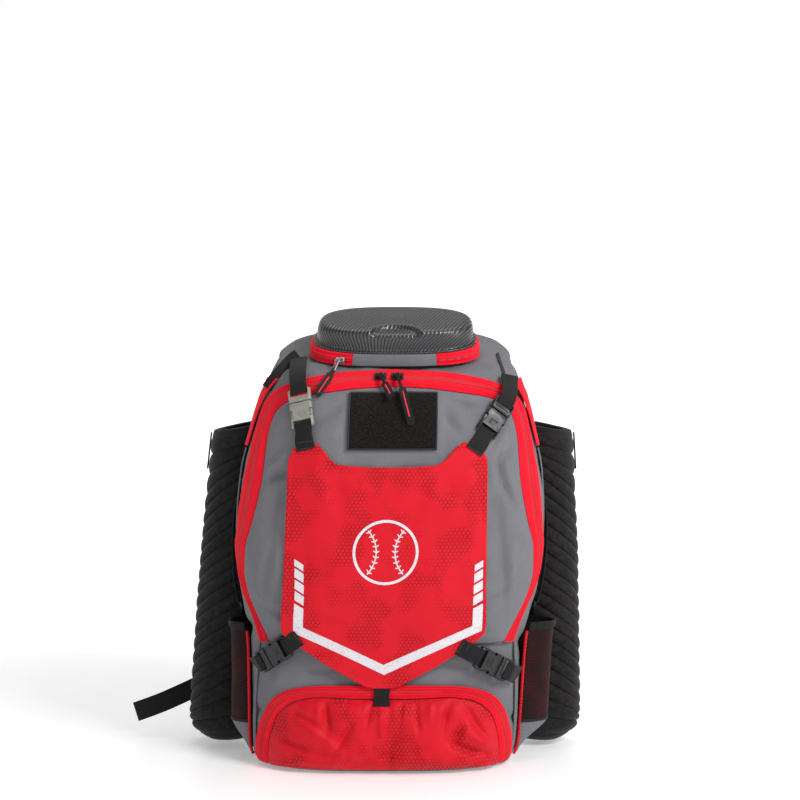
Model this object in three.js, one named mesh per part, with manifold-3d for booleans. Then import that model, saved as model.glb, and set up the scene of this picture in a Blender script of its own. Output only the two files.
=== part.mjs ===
// Baseball bat backpack: a hollow sewn body with a zipped front panel, a strapped
// five-sided cover sheet, a zipped shoe pocket, a moulded hard case on top, ribbed
// bat sleeves and mesh pockets at the sides, and a padded back with shoulder straps.
// Millimetres. +Z is up, the front faces -Y, and the bag stands on the plane z = 0.
import * as THREE from "three";
import Module from "manifold-3d";

const wasm = await Module();
wasm.setup();

// The body's driving sizes
const bodyHeight = 511.5;
const bodyHalfWidth = 188;
const bodyFront = 110;
const bodyBack = 108;
const bodyWall = 3;
const slouch = 0.028;
const frontSquare = 3;
const backSquare = 4.5;
const bodySpokes = 32;

// Fits between sewn pieces, and cloth thicknesses
const seat = 0.6;
const tapeSeat = 1.15;
const clothWall = 2;
const tapeWall = 1.2;
const webbingWall = 1.8;

// The front: the zipped panel, its cover sheet and the shoe pocket
const panelBulge = 15;
const pocketBulge = 12;
const coverLift = 17;
const coverTipLift = 5;
const coverWall = 1.6;
const coverShift = -4;
const coilHeight = 1.6;
const shoeTapeWidth = 16;
const patchWidth = 102;
const patchHeight = 64;
const patchWall = 2;
const patchSeat = 1.8;

// The hard case on the top
const caseHalfWidth = 103;
const caseHalfDepth = 62;
const caseTilt = 16;
const caseMiddle = 4;
const bandHeight = 14;
const bandWall = 3;
const lidHeight = 26;
const lidWall = 2.5;
const lidSetBack = 9;
const lidEdge = 1.8;
const lidCrown = 0.8;
const bandLean = 3;
const gripHalfWidth = 31;
const gripReach = 14;
const gripDepth = 4;
const lidFlange = 4;
const caseSquare = 2.7;
const hingeHalfWidth = 51;

// The bat sleeves
const sleeveHeight = 384;
const sleeveRadius = 44;
const sleeveFloor = 6;
const sleeveTopX = 180;
const sleeveBottomX = 199;
const sleeveDepth = 52;
const sleeveWall = 6;
const ribCount = 21;
const ribHeight = 3.6;
const ribSlope = 0.62;
const ribTurn = 1.9;
const ribFade = 0.2;
const rimRise = 14;
const sleeveSpokes = 12;
const sleeveSeat = 2.2;

// Webbing, buckles, zip pulls and rings
const webbingWidth = 20;
const buckleWidth = 27;
const socketLength = 31;
const plugLength = 16;
const buckleHeight = 8;
const buckleFit = 0.4;
const pullWidth = 8;
const pullWall = 1.6;
const sliderLength = 12;
const sliderWidth = 9;
const sliderHeight = 5;
const ringWire = 3.4;
const ringHalfWidth = 11;
const pipingRadius = 1.8;
const pipingGap = 0.15;
const pipingTuck = 0.5;

// The side pockets and side trims
const pocketReach = { left: 20, right: 32 };
const pocketFoot = 10;
const pocketBaseTop = 50;
const pocketMouth = 168;
const pocketSeat = 2.5;
const stripWidth = 20;
const stripHead = 338;
const stripFoot = 188;
const stripSlack = 9;
const stripSink = 0.7;
const patchClear = 28;
const patchRun = 20;

// The back
const padWall = 13;
const padHalfWidth = 104;
const padFoot = 44;
const padHead = 438;
const strapWidth = 58;
const strapWall = 12;
const strapReach = 32;
const handleHalfWidth = 46;
const handleReach = 26;
const handleWall = 5;
const handleWidth = 20;
const handleZ = 0.956 * bodyHeight;
const adjusterLength = 26;
const adjusterWall = 5;
const anchorHalf = 79;
const tailWidth = 25;

// Shares of the body's height, half width, front and back, one row for each level.
// A front below zero lies behind the middle: there the top slopes down to the front.
const bodyRows = [
  { rise: 0, half: 0.777, front: 0.882, back: 0.907, pinch: 0.08 },
  { rise: 0.006, half: 0.809, front: 0.936, back: 0.954, pinch: 0.09 },
  { rise: 0.02, half: 0.846, front: 0.973, back: 0.981, pinch: 0.1 },
  { rise: 0.05, half: 0.867, front: 0.991, back: 1, pinch: 0.11 },
  { rise: 0.147, half: 0.878, front: 1, back: 1, pinch: 0.14 },
  { rise: 0.283, half: 0.894, front: 1, back: 1, pinch: 0.2 },
  { rise: 0.469, half: 0.989, front: 1, back: 1, pinch: 0.28 },
  { rise: 0.567, half: 1, front: 0.991, back: 1, pinch: 0.28 },
  { rise: 0.684, half: 0.979, front: 0.973, back: 1, pinch: 0.28 },
  { rise: 0.782, half: 0.92, front: 0.936, back: 1, pinch: 0.26 },
  { rise: 0.85, half: 0.872, front: 0.864, back: 0.995, pinch: 0.2 },
  { rise: 0.895, half: 0.83, front: 0.745, back: 0.991, pinch: 0.12 },
  { rise: 0.919, half: 0.803, front: 0.618, back: 0.981, pinch: 0.07 },
  { rise: 0.938, half: 0.777, front: 0.345, back: 0.972, pinch: 0.03 },
  { rise: 0.958, half: 0.745, front: 0.036, back: 0.944, pinch: 0 },
  { rise: 0.977, half: 0.681, front: -0.273, back: 0.898, pinch: 0 },
  { rise: 0.989, half: 0.596, front: -0.455, back: 0.852, pinch: 0 },
  { rise: 0.997, half: 0.479, front: -0.564, back: 0.796, pinch: 0 },
  { rise: 1, half: 0.266, front: -0.636, back: 0.741, pinch: 0 },
];

// The zip arch from its foot to its crown: each edge's share of the body's half
// width and of its height.
const archRows = [
  { at: 0, outer: 0.798, outerRise: 0.297, inner: 0.729, innerRise: 0.299 },
  { at: 1, outer: 0.851, outerRise: 0.358, inner: 0.819, innerRise: 0.364 },
  { at: 2, outer: 0.915, outerRise: 0.407, inner: 0.875, innerRise: 0.412 },
  { at: 3, outer: 0.955, outerRise: 0.461, inner: 0.902, innerRise: 0.461 },
  { at: 4, outer: 0.971, outerRise: 0.512, inner: 0.899, innerRise: 0.512 },
  { at: 5, outer: 0.957, outerRise: 0.581, inner: 0.851, innerRise: 0.586 },
  { at: 6, outer: 0.926, outerRise: 0.665, inner: 0.803, innerRise: 0.674 },
  { at: 7, outer: 0.862, outerRise: 0.778, inner: 0.769, innerRise: 0.782 },
  { at: 8, outer: 0.803, outerRise: 0.847, inner: 0.718, innerRise: 0.833 },
  { at: 9, outer: 0.697, outerRise: 0.884, inner: 0.596, innerRise: 0.861 },
  { at: 10, outer: 0.5, outerRise: 0.907, inner: 0.41, innerRise: 0.873 },
  { at: 11, outer: 0.255, outerRise: 0.919, inner: 0.21, innerRise: 0.882 },
  { at: 12, outer: 0, outerRise: 0.922, inner: 0, innerRise: 0.886 },
];

// The cover sheet's right half, from the middle of its top edge to its tip, with
// an ear at each strap: shares of the body's half width and height.
const coverRows = [
  { half: 0, rise: 0.708 },
  { half: 0.16, rise: 0.709 },
  { half: 0.293, rise: 0.713 },
  { half: 0.34, rise: 0.722 },
  { half: 0.404, rise: 0.752 },
  { half: 0.447, rise: 0.762 },
  { half: 0.516, rise: 0.76 },
  { half: 0.556, rise: 0.747 },
  { half: 0.588, rise: 0.722 },
  { half: 0.592, rise: 0.684 },
  { half: 0.597, rise: 0.567 },
  { half: 0.602, rise: 0.43 },
  { half: 0.607, rise: 0.35 },
  { half: 0.602, rise: 0.33 },
  { half: 0.572, rise: 0.315 },
  { half: 0.34, rise: 0.254 },
  { half: 0.096, rise: 0.204 },
  { half: 0.06, rise: 0.202 },
];

// The shoe pocket's zip from the floor to the middle of its top.
const shoeRows = [
  { half: 0.798, rise: 0.011 },
  { half: 0.809, rise: 0.03 },
  { half: 0.803, rise: 0.065 },
  { half: 0.779, rise: 0.108 },
  { half: 0.718, rise: 0.158 },
  { half: 0.606, rise: 0.19 },
  { half: 0.43, rise: 0.203 },
  { half: 0.2, rise: 0.206 },
  { half: 0, rise: 0.207 },
];

// Soft folds of the front panel and the shoe pocket: centre, run and size as
// shares of the body's half width and height, and the depth as a share of the bulge.
const frontFolds = [
  { half: -0.6, rise: 0.42, turn: 70, run: 0.5, width: 0.13, depth: -0.35 },
  { half: 0.62, rise: 0.62, turn: 100, run: 0.55, width: 0.12, depth: -0.3 },
  { half: -0.52, rise: 0.8, turn: 20, run: 0.3, width: 0.1, depth: -0.35 },
  { half: 0.5, rise: 0.82, turn: 150, run: 0.3, width: 0.1, depth: -0.3 },
];
const shoeFolds = [
  { half: -0.35, rise: 0.11, turn: 80, run: 0.2, width: 0.09, depth: -0.4 },
  { half: 0.42, rise: 0.1, turn: 105, run: 0.2, width: 0.09, depth: -0.4 },
  { half: 0.05, rise: 0.08, turn: 60, run: 0.2, width: 0.1, depth: -0.25 },
];

// The hard lid's profile from its flange to its crown: how far it draws in, as a
// share of its outline, and its height as a share of lidHeight.
const lidRows = [
  { flange: 1, shrink: 0, height: 0 },
  { flange: 0, shrink: 0, height: 0.12 },
  { flange: 0, shrink: 0, height: 0.5 },
  { flange: 0, shrink: 0.022, height: 0.77 },
  { flange: 0, shrink: 0.065, height: 0.93 },
  { flange: 0, shrink: 0.16, height: 0.99 },
  { flange: 0, shrink: 0.5, height: 1 },
];

// A bat sleeve's half width from its floor to its rim, as shares of sleeveRadius.
const sleeveRows = [
  { rise: 0, girth: 0.45 },
  { rise: 0.02, girth: 0.72 },
  { rise: 0.06, girth: 0.9 },
  { rise: 0.12, girth: 0.98 },
  { rise: 0.3, girth: 1 },
  { rise: 0.65, girth: 1 },
  { rise: 0.85, girth: 0.95 },
  { rise: 1, girth: 0.9 },
];

const { abs, cos, hypot, max, min, PI, pow, sign, sin } = Math;
const vec = (x, y, z) => new THREE.Vector3(x, y, z);
const mix = (a, b, share) => a + (b - a) * share;
const clamp01 = (t) => min(1, max(0, t));
const smooth = (t) => {
  const s = clamp01(t);
  return s * s * (3 - 2 * s);
};
const radians = (degrees) => (degrees * PI) / 180;

/** A slope at each row that never overshoots the rows' values. */
function rowSlopes(rows, along, column) {
  const step = rows.slice(1).map((row, i) => row[along] - rows[i][along]);
  const rate = step.map((d, i) => (rows[i + 1][column] - rows[i][column]) / d);
  return rows.map((_, i) => {
    if (i === 0) return rate[0];
    if (i === rows.length - 1) return rate[i - 1];
    if (rate[i - 1] * rate[i] <= 0) return 0;
    const w1 = 2 * step[i] + step[i - 1];
    const w2 = step[i] + 2 * step[i - 1];
    return (w1 + w2) / (w1 / rate[i - 1] + w2 / rate[i]);
  });
}

/** A reader of a table: a smooth curve through one column of its rows. */
function readColumn(rows, along, column) {
  const slopes = rowSlopes(rows, along, column);
  return (at) => {
    const last = rows.length - 1;
    const t = min(rows[last][along], max(rows[0][along], at));
    let i = 0;
    while (i < last - 1 && t > rows[i + 1][along]) i += 1;
    const d = rows[i + 1][along] - rows[i][along];
    const s = (t - rows[i][along]) / d;
    const a = rows[i][column];
    const b = rows[i + 1][column];
    const h = s * s * (3 - 2 * s);
    return (
      a * (1 - h) + b * h + d * s * (1 - s) * ((1 - s) * slopes[i] - s * slopes[i + 1])
    );
  };
}

// The body's surface
const bodyColumn = Object.fromEntries(
  ["half", "front", "back", "pinch"].map((key) => [
    key,
    readColumn(bodyRows, "rise", key),
  ]),
);

/** The body's section at a height. */
function bodySection(z) {
  const rise = z / bodyHeight;
  const front = -bodyColumn.front(rise) * bodyFront;
  const back = bodyColumn.back(rise) * bodyBack;
  return {
    half: bodyColumn.half(rise) * bodyHalfWidth,
    middle: (front + back) / 2,
    deep: (back - front) / 2,
    pinch: bodyColumn.pinch(rise),
  };
}

/** How far the sides are drawn in towards the back, from 0 at the front. */
const pinchAt = (y) => smooth((y + 0.41 * bodyFront) / (0.41 * bodyFront + 0.56 * bodyBack));

/** The body's half width at a depth and height. */
function sideX(y, z) {
  const s = bodySection(z);
  const t = (y - s.middle) / s.deep;
  if (abs(t) >= 1) return 0;
  const n = t < 0 ? frontSquare : backSquare;
  return s.half * (1 - s.pinch * pinchAt(y)) * pow(1 - pow(abs(t), n), 1 / n);
}

/** The value between low and high where test turns true, by halving. */
function turningPoint(low, high, test) {
  let a = low;
  let b = high;
  for (let i = 0; i < 34; i += 1) {
    const m = (a + b) / 2;
    if (test(m)) b = m;
    else a = m;
  }
  return (a + b) / 2;
}

const widestY = -0.3 * bodyFront;
/** The depth of the body's front at (x, z). */
const frontY = (x, z) => {
  const s = bodySection(z);
  const widest = max(widestY, s.middle - 0.6 * s.deep);
  return turningPoint(s.middle - s.deep, widest, (y) => sideX(y, z) > abs(x));
};
/** The depth of the body's back at (x, z). */
const backY = (x, z) => {
  const s = bodySection(z);
  const far = s.middle + s.deep;
  return turningPoint(far, s.middle + 0.3 * s.deep, (y) => sideX(y, z) > abs(x));
};
/** The height of the body's sloping top at (x, y). */
const topZ = (x, y) =>
  turningPoint(bodyHeight, 0.8 * bodyHeight, (z) => sideX(y, z) > abs(x));

/** A measure that is 1 on the body's surface and grows outwards. */
function bodyMeasure(x, y, z) {
  const s = bodySection(z);
  const t = (y - s.middle) / s.deep;
  const n = t < 0 ? frontSquare : backSquare;
  const w = s.half * (1 - s.pinch * pinchAt(y));
  return pow(pow(abs(x) / w, n) + pow(abs(t), n), 1 / n);
}

/** The body's outward normal at a point of its surface. */
function bodyNormal(x, y, z) {
  const d = 0.5;
  const low = max(z - d, 0);
  const high = min(z + d, bodyHeight);
  return vec(
    (bodyMeasure(x + d, y, z) - bodyMeasure(x - d, y, z)) / (2 * d),
    (bodyMeasure(x, y + d, z) - bodyMeasure(x, y - d, z)) / (2 * d),
    (bodyMeasure(x, y, high) - bodyMeasure(x, y, low)) / (high - low),
  ).normalize();
}

/** A point raised off the body's surface along its normal. */
function raised(x, y, z, lift) {
  return vec(x, y, z).addScaledVector(bodyNormal(x, y, z), lift);
}
const onFront = (x, z, lift) => raised(x, frontY(x, z), z, lift);
const onBack = (x, z, lift) => raised(x, backY(x, z), z, lift);
const onSide = (side, y, z, lift) => {
  const p = raised(sideX(y, z), y, z, lift);
  return vec(side * p.x, p.y, p.z);
};

// Meshes: faces are made once and shared by the outer and the inner skin

/** Triangles of a grid of points, row by row, closed round across or along it. */
function gridFaces(columns, rows, wrapped = false, looped = false) {
  const faces = [];
  const across = wrapped ? columns : columns - 1;
  const along = looped ? rows : rows - 1;
  for (let j = 0; j < along; j += 1) {
    const up = ((j + 1) % rows) * columns;
    for (let i = 0; i < across; i += 1) {
      const next = (i + 1) % columns;
      const a = j * columns + i;
      const b = j * columns + next;
      faces.push([a, b, up + next], [a, up + next, up + i]);
    }
  }
  return faces;
}

/** Triangles that close a ring of points to one point. */
const fanFaces = (start, count, tip) =>
  Array.from({ length: count }, (_, i) => [start + i, start + ((i + 1) % count), tip]);

/** A solid's geometry from points and faces, facing out and leaned as the bag leans. */
function solid(points, faces) {
  const at = points.map((p) => vec(p.x + slouch * p.z, p.y, p.z));
  const volume = faces.reduce(
    (sum, [a, b, c]) => sum + at[a].dot(at[b].clone().cross(at[c])) / 6,
    0,
  );
  const geometry = new THREE.BufferGeometry();
  geometry.setAttribute(
    "position",
    new THREE.Float32BufferAttribute(at.flatMap((p) => [p.x, p.y, p.z]), 3),
  );
  geometry.setIndex(faces.flatMap(([a, b, c]) => (volume < 0 ? [a, c, b] : [a, b, c])));
  geometry.computeVertexNormals();
  return geometry;
}

/** A closed wall between two skins that share their faces, with a rim at each open edge. */
function thicken(faces, outer, inner) {
  const count = outer.length;
  const seen = new Set(faces.flatMap(([a, b, c]) => [`${a},${b}`, `${b},${c}`, `${c},${a}`]));
  const all = [...faces, ...faces.map(([a, b, c]) => [a + count, c + count, b + count])];
  seen.forEach((key) => {
    const [a, b] = key.split(",").map(Number);
    if (!seen.has(`${b},${a}`)) all.push([b, a, a + count], [b, a + count, b + count]);
  });
  return solid([...outer, ...inner], all);
}

/** A patch of cloth filled ring by ring from its outline to its middle. */
function radialPatch(outline, middle, shares, place, outerLift, innerLift) {
  const spokes = outline.length;
  const flat = shares.flatMap((share) =>
    outline.map(([x, z]) => [mix(middle[0], x, share), mix(middle[1], z, share), share]),
  );
  flat.push([middle[0], middle[1], 0]);
  const faces = [
    ...gridFaces(spokes, shares.length, true),
    ...fanFaces((shares.length - 1) * spokes, spokes, flat.length - 1),
  ];
  const skin = (lift) => flat.map(([x, z, share]) => place(x, z, lift(x, z, share)));
  return thicken(faces, skin(outerLift), skin(innerLift));
}

/** A smooth closed outline of a right half and its mirror image, as [x, z] points. */
function mirrored(half, shift = 0) {
  const left = half
    .filter(([x]) => x > 1e-6)
    .map(([x, z]) => [-x, z])
    .reverse();
  return [...half, ...left].map(([x, z]) => [x + shift, z]);
}

/** A flat ribbon through stations { x, z } on a surface, with its corners on it too. */
function ribbon(stations, width, place, lift, wall, columns = 3) {
  const across = Array.from({ length: columns }, (_, i) => (i / (columns - 1) - 0.5) * width);
  const flat = stations.flatMap((p, k) => {
    const before = stations[max(0, k - 1)];
    const after = stations[min(stations.length - 1, k + 1)];
    const run = hypot(after.x - before.x, after.z - before.z);
    const turn = [-(after.z - before.z) / run, (after.x - before.x) / run];
    return across.map((w) => [p.x + turn[0] * w, p.z + turn[1] * w]);
  });
  const faces = gridFaces(columns, stations.length);
  const skin = (extra) => flat.map(([x, z]) => place(x, z, lift(x, z) + extra));
  return thicken(faces, skin(wall), skin(0));
}

/** A strap or pad through a list of points, flat across a given axis. */
function strapAlong(points, widths, wall, widthAxis, edgeShare = 1) {
  const curve = new THREE.CatmullRomCurve3(points, false, "centripetal");
  const across = [-1, 0, 1];
  const rows = points.length;
  const skin = (lift) =>
    Array.from({ length: rows }, (_, k) => {
      const t = k / (rows - 1);
      const at = curve.getPoint(t);
      const along = curve.getTangent(t);
      const axis = widthAxis.clone().addScaledVector(along, -widthAxis.dot(along)).normalize();
      const out = along.clone().cross(axis);
      return across.map((w) => {
        const thick = abs(w) === 1 ? edgeShare : 1;
        const edge = at.clone().addScaledVector(axis, (w * widths(t)) / 2);
        return edge.addScaledVector(out, lift * thick);
      });
    }).flat();
  return thicken(gridFaces(across.length, rows), skin(wall / 2), skin(-wall / 2));
}

/** A round cord through points, or a closed ring of round wire. */
function cordAlong(points, radius, closed = false, sides = 5) {
  const curve = new THREE.CatmullRomCurve3(points, closed, "centripetal");
  const rows = points.length;
  const frames = curve.computeFrenetFrames(closed ? rows : rows - 1, closed);
  const skin = Array.from({ length: rows }, (_, k) => {
    const at = curve.getPoint(k / (closed ? rows : rows - 1));
    return Array.from({ length: sides }, (_, i) => {
      const a = (2 * PI * i) / sides;
      return at
        .clone()
        .addScaledVector(frames.normals[k], radius * cos(a))
        .addScaledVector(frames.binormals[k], radius * sin(a));
    });
  }).flat();
  const faces = gridFaces(sides, rows, true, closed);
  if (closed) return solid(skin, faces);
  const ends = [points[0], points[points.length - 1]];
  const caps = [
    ...fanFaces(0, sides, skin.length).map(([a, b, c]) => [b, a, c]),
    ...fanFaces((rows - 1) * sides, sides, skin.length + 1),
  ];
  return solid([...skin, ...ends], [...faces, ...caps]);
}

/** Leans a finished geometry as the bag leans. */
function lean(geometry) {
  const shear = new THREE.Matrix4().set(1, 0, slouch, 0, 0, 1, 0, 0, 0, 0, 1, 0, 0, 0, 0, 1);
  return geometry.applyMatrix4(shear);
}

/** Joined or cut boxes, in millimetres, each given by its low and high corner. */
function fromBoxes(added, cut = []) {
  const block = ([low, high]) => {
    const size = high.map((h, i) => h - low[i]);
    const box = new THREE.BoxGeometry(...size).translate(
      ...high.map((h, i) => (h + low[i]) / 2),
    );
    const points = box.getAttribute("position");
    const merged = new Map();
    const index = Array.from({ length: points.count }, (_, i) => {
      const key = [points.getX(i), points.getY(i), points.getZ(i)].map((v) => v.toFixed(4));
      const name = key.join(",");
      if (!merged.has(name)) merged.set(name, { at: merged.size, key: key.map(Number) });
      return merged.get(name).at;
    });
    return new wasm.Manifold(
      new wasm.Mesh({
        numProp: 3,
        vertProperties: new Float32Array([...merged.values()].flatMap((v) => v.key)),
        triVerts: new Uint32Array([...box.index.array].map((i) => index[i])),
      }),
    );
  };
  let made = block(added[0]);
  added.slice(1).forEach((b) => {
    made = made.add(block(b));
  });
  cut.forEach((b) => {
    made = made.subtract(block(b));
  });
  const mesh = made.getMesh();
  const geometry = new THREE.BufferGeometry();
  geometry.setAttribute("position", new THREE.Float32BufferAttribute(mesh.vertProperties, 3));
  geometry.setIndex([...mesh.triVerts]);
  geometry.computeVertexNormals();
  return geometry;
}

// Materials
const finish = (color, roughness, metalness = 0) =>
  new THREE.MeshStandardMaterial({ color, roughness, metalness });
const greyCloth = finish(0x5d5e62, 0.85);
const redCloth = finish(0xc8142a, 0.7);
const redTape = finish(0xd3182c, 0.75);
const blackWeb = finish(0x1b1a1a, 0.85);
const blackFoam = finish(0x1d1a19, 0.9);
const blackMesh = finish(0x201d1d, 0.9);
const blackPlastic = finish(0x1c1c1d, 0.45);
const greyPlastic = finish(0x6f7068, 0.5);
const carbonShell = finish(0x2b2d30, 0.35);
const darkMetal = finish(0x202225, 0.35, 0.9);
const silverMetal = finish(0xb9bcbf, 0.3, 0.9);
const hookPile = finish(0x171513, 1);

const bag = new THREE.Group();
const piece = (name, geometry, material) => {
  const mesh = new THREE.Mesh(geometry, material);
  mesh.name = name;
  bag.add(mesh);
  return mesh;
};
const sides = [
  { side: -1, name: "left" },
  { side: 1, name: "right" },
];

// The hollow body, open behind the back panel
const backHole = { half: 0.42 * bodyHalfWidth, low: 0.17 * bodyHeight, high: 0.82 * bodyHeight };

/** A point of the body's section at an angle, with the section drawn in by a wall. */
function bodyPoint(angle, z, inset) {
  const s = bodySection(min(bodyHeight, z + inset));
  const c = cos(angle);
  const d = sin(angle);
  const power = 2 / (d < 0 ? frontSquare : backSquare);
  const y = s.middle + (s.deep - inset) * sign(d) * pow(abs(d), power);
  const half = (s.half - inset) * (1 - s.pinch * pinchAt(y));
  return vec(half * sign(c) * pow(abs(c), power), y, z);
}

function mainShell() {
  const levels = bodyRows.map((row) => row.rise);
  const skin = (inset) => {
    const points = levels.flatMap((rise) => {
      const z = mix(inset, bodyHeight - 1.2 * inset, rise);
      return Array.from({ length: bodySpokes }, (_, i) =>
        bodyPoint((2 * PI * (i + 0.5)) / bodySpokes, z, inset),
      );
    });
    const ends = [points[0], points[points.length - 1]];
    const middles = [bodyRows[0], bodyRows[bodyRows.length - 1]].map(
      (row) => (row.back * bodyBack - row.front * bodyFront) / 2,
    );
    return [...points, vec(0, middles[0], ends[0].z), vec(0, middles[1], ends[1].z)];
  };
  const outer = skin(0);
  const count = levels.length * bodySpokes;
  const isOpen = (face) =>
    face.every((i) => {
      const p = outer[i];
      return p.y > 0 && abs(p.x) < backHole.half && p.z > backHole.low && p.z < backHole.high;
    });
  const faces = [
    ...gridFaces(bodySpokes, levels.length, true).filter((face) => !isOpen(face)),
    ...fanFaces(0, bodySpokes, count).map(([a, b, c]) => [b, a, c]),
    ...fanFaces(count - bodySpokes, bodySpokes, count + 1),
  ];
  return thicken(faces, outer, skin(bodyWall));
}
piece("main_shell", mainShell(), greyCloth);

// The zip arch and the bulged front panel inside it
const archColumn = Object.fromEntries(
  ["outer", "outerRise", "inner", "innerRise"].map((key) => [
    key,
    readColumn(archRows, "at", key),
  ]),
);
const archLast = archRows.length - 1;

/** A point of the zip arch's edge: at runs from one foot over the crown to the other. */
function archEdge(at, edge) {
  const folded = at <= archLast ? at : 2 * archLast - at;
  const side = at <= archLast ? 1 : -1;
  return [
    side * archColumn[edge](folded) * bodyHalfWidth,
    archColumn[`${edge}Rise`](folded) * bodyHeight,
  ];
}

function mainZipTape() {
  const across = [0, 0.5, 1];
  const stations = Array.from({ length: 2 * (2 * archLast) + 1 }, (_, k) => k / 2);
  const flat = stations.flatMap((at) => {
    const [x0, z0] = archEdge(at, "outer");
    const [x1, z1] = archEdge(at, "inner");
    return across.map((t) => [mix(x0, x1, t), mix(z0, z1, t), t === 0.5 ? coilHeight : 0]);
  });
  const skin = (lift, coil) => flat.map(([x, z, ridge]) => onFront(x, z, lift + coil * ridge));
  const faces = gridFaces(across.length, stations.length);
  return thicken(faces, skin(tapeSeat + tapeWall, 1), skin(tapeSeat, 0));
}
piece("main_zip_tape", mainZipTape(), redTape);

const panelMargin = 1.2;
const panelMiddle = [0, 0.58 * bodyHeight];
const panelOutline = (() => {
  const right = Array.from({ length: 2 * archLast + 1 }, (_, k) => archEdge(k / 2, "inner"));
  const foot = [0.35, 0.65, 0.87].map((t) => [t * right[0][0], right[0][1]]);
  const half = [[0, right[0][1]], ...foot, ...right];
  return mirrored(half).map(([x, z]) => {
    const reach = hypot(x - panelMiddle[0], z - panelMiddle[1]);
    const share = 1 - panelMargin / reach;
    return [mix(panelMiddle[0], x, share), mix(panelMiddle[1], z, share)];
  });
})();

/** The share of the way from a patch's middle to its outline at (x, z). */
function shareInside(outline, middle, x, z) {
  const dx = x - middle[0];
  const dz = z - middle[1];
  const hits = outline.map(([ax, az], i) => {
    const [bx, bz] = outline[(i + 1) % outline.length];
    const ex = bx - ax;
    const ez = bz - az;
    const det = dx * ez - dz * ex;
    if (abs(det) < 1e-9) return 0;
    const along = ((ax - middle[0]) * ez - (az - middle[1]) * ex) / det;
    const share = ((ax - middle[0]) * dz - (az - middle[1]) * dx) / det;
    return share >= 0 && share <= 1 && along > 0 ? 1 / along : 0;
  });
  return max(...hits);
}

/** The sum of the soft folds at (x, z), as a share of the bulge. */
function foldAt(folds, x, z) {
  return folds.reduce((sum, f) => {
    const dx = x - f.half * bodyHalfWidth;
    const dz = z - f.rise * bodyHeight;
    const a = radians(f.turn);
    const along = (dx * cos(a) + dz * sin(a)) / (0.5 * f.run * bodyHalfWidth);
    const across = (dz * cos(a) - dx * sin(a)) / (0.5 * f.width * bodyHalfWidth);
    return sum + f.depth * Math.exp(-(along * along) - across * across);
  }, 0);
}

/** How far the front panel stands off the body: 0 outside it. */
function panelLift(x, z, share = shareInside(panelOutline, panelMiddle, x, z)) {
  if (share >= 1) return share > 1.0001 ? 0 : tapeSeat + clothWall;
  const rise = 1 - pow(share, 5);
  return tapeSeat + clothWall + panelBulge * rise * (1 + foldAt(frontFolds, x, z));
}
piece(
  "front_panel",
  radialPatch(
    panelOutline,
    panelMiddle,
    [1, 0.86, 0.45],
    onFront,
    (x, z, share) => panelLift(x, z, share),
    (x, z, share) => panelLift(x, z, share) - clothWall,
  ),
  greyCloth,
);

// The shoe pocket with its zip
const shoeHalf = readColumn(
  shoeRows.map((row, at) => ({ ...row, at })),
  "at",
  "half",
);
const shoeRise = readColumn(
  shoeRows.map((row, at) => ({ ...row, at })),
  "at",
  "rise",
);
const shoeLast = shoeRows.length - 1;
const shoeMiddle = [0, 0.085 * bodyHeight];

/** A point of the shoe pocket's zip edge, drawn towards the pocket's middle. */
function shoeEdge(at, inset) {
  const folded = at <= shoeLast ? at : 2 * shoeLast - at;
  const side = at <= shoeLast ? 1 : -1;
  const x = side * shoeHalf(folded) * bodyHalfWidth;
  const z = shoeRise(folded) * bodyHeight;
  const wide = abs(x) / (bodyHalfWidth * 0.8);
  const heading = [-side * smooth(wide * 1.25), -smooth((z / bodyHeight - 0.06) / 0.12)];
  const size = max(0.2, hypot(heading[0], heading[1]));
  return [x + (inset * heading[0]) / size, z + (inset * heading[1]) / size];
}

function shoeZipTape() {
  const across = [0, 0.5, 1];
  const stations = Array.from({ length: 2 * (2 * shoeLast) + 1 }, (_, k) => k / 2);
  const flat = stations.flatMap((at) =>
    across.map((t) => [...shoeEdge(at, t * shoeTapeWidth), t === 0.5 ? coilHeight : 0]),
  );
  const skin = (lift, coil) => flat.map(([x, z, ridge]) => onFront(x, z, lift + coil * ridge));
  const faces = gridFaces(across.length, stations.length);
  return thicken(faces, skin(tapeSeat + tapeWall, 1), skin(tapeSeat, 0));
}
piece("shoe_zip_tape", shoeZipTape(), redTape);

const shoeOutline = (() => {
  const right = Array.from({ length: 2 * shoeLast + 1 }, (_, k) =>
    shoeEdge(k / 2, shoeTapeWidth + panelMargin),
  );
  const foot = [0.35, 0.65, 0.87].map((t) => [t * right[0][0], right[0][1]]);
  return mirrored([[0, right[0][1]], ...foot, ...right]);
})();

/** How far the shoe pocket's face stands off the body: 0 outside it. */
function shoeLift(x, z, share = shareInside(shoeOutline, shoeMiddle, x, z)) {
  if (share >= 1) return share > 1.0001 ? 0 : tapeSeat + clothWall;
  const rise = 1 - pow(share, 4);
  return tapeSeat + clothWall + pocketBulge * rise * (1 + foldAt(shoeFolds, x, z));
}
piece(
  "shoe_pocket",
  radialPatch(
    shoeOutline,
    shoeMiddle,
    [1, 0.84, 0.45],
    onFront,
    (x, z, share) => shoeLift(x, z, share),
    (x, z, share) => shoeLift(x, z, share) - clothWall,
  ),
  redCloth,
);

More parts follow.
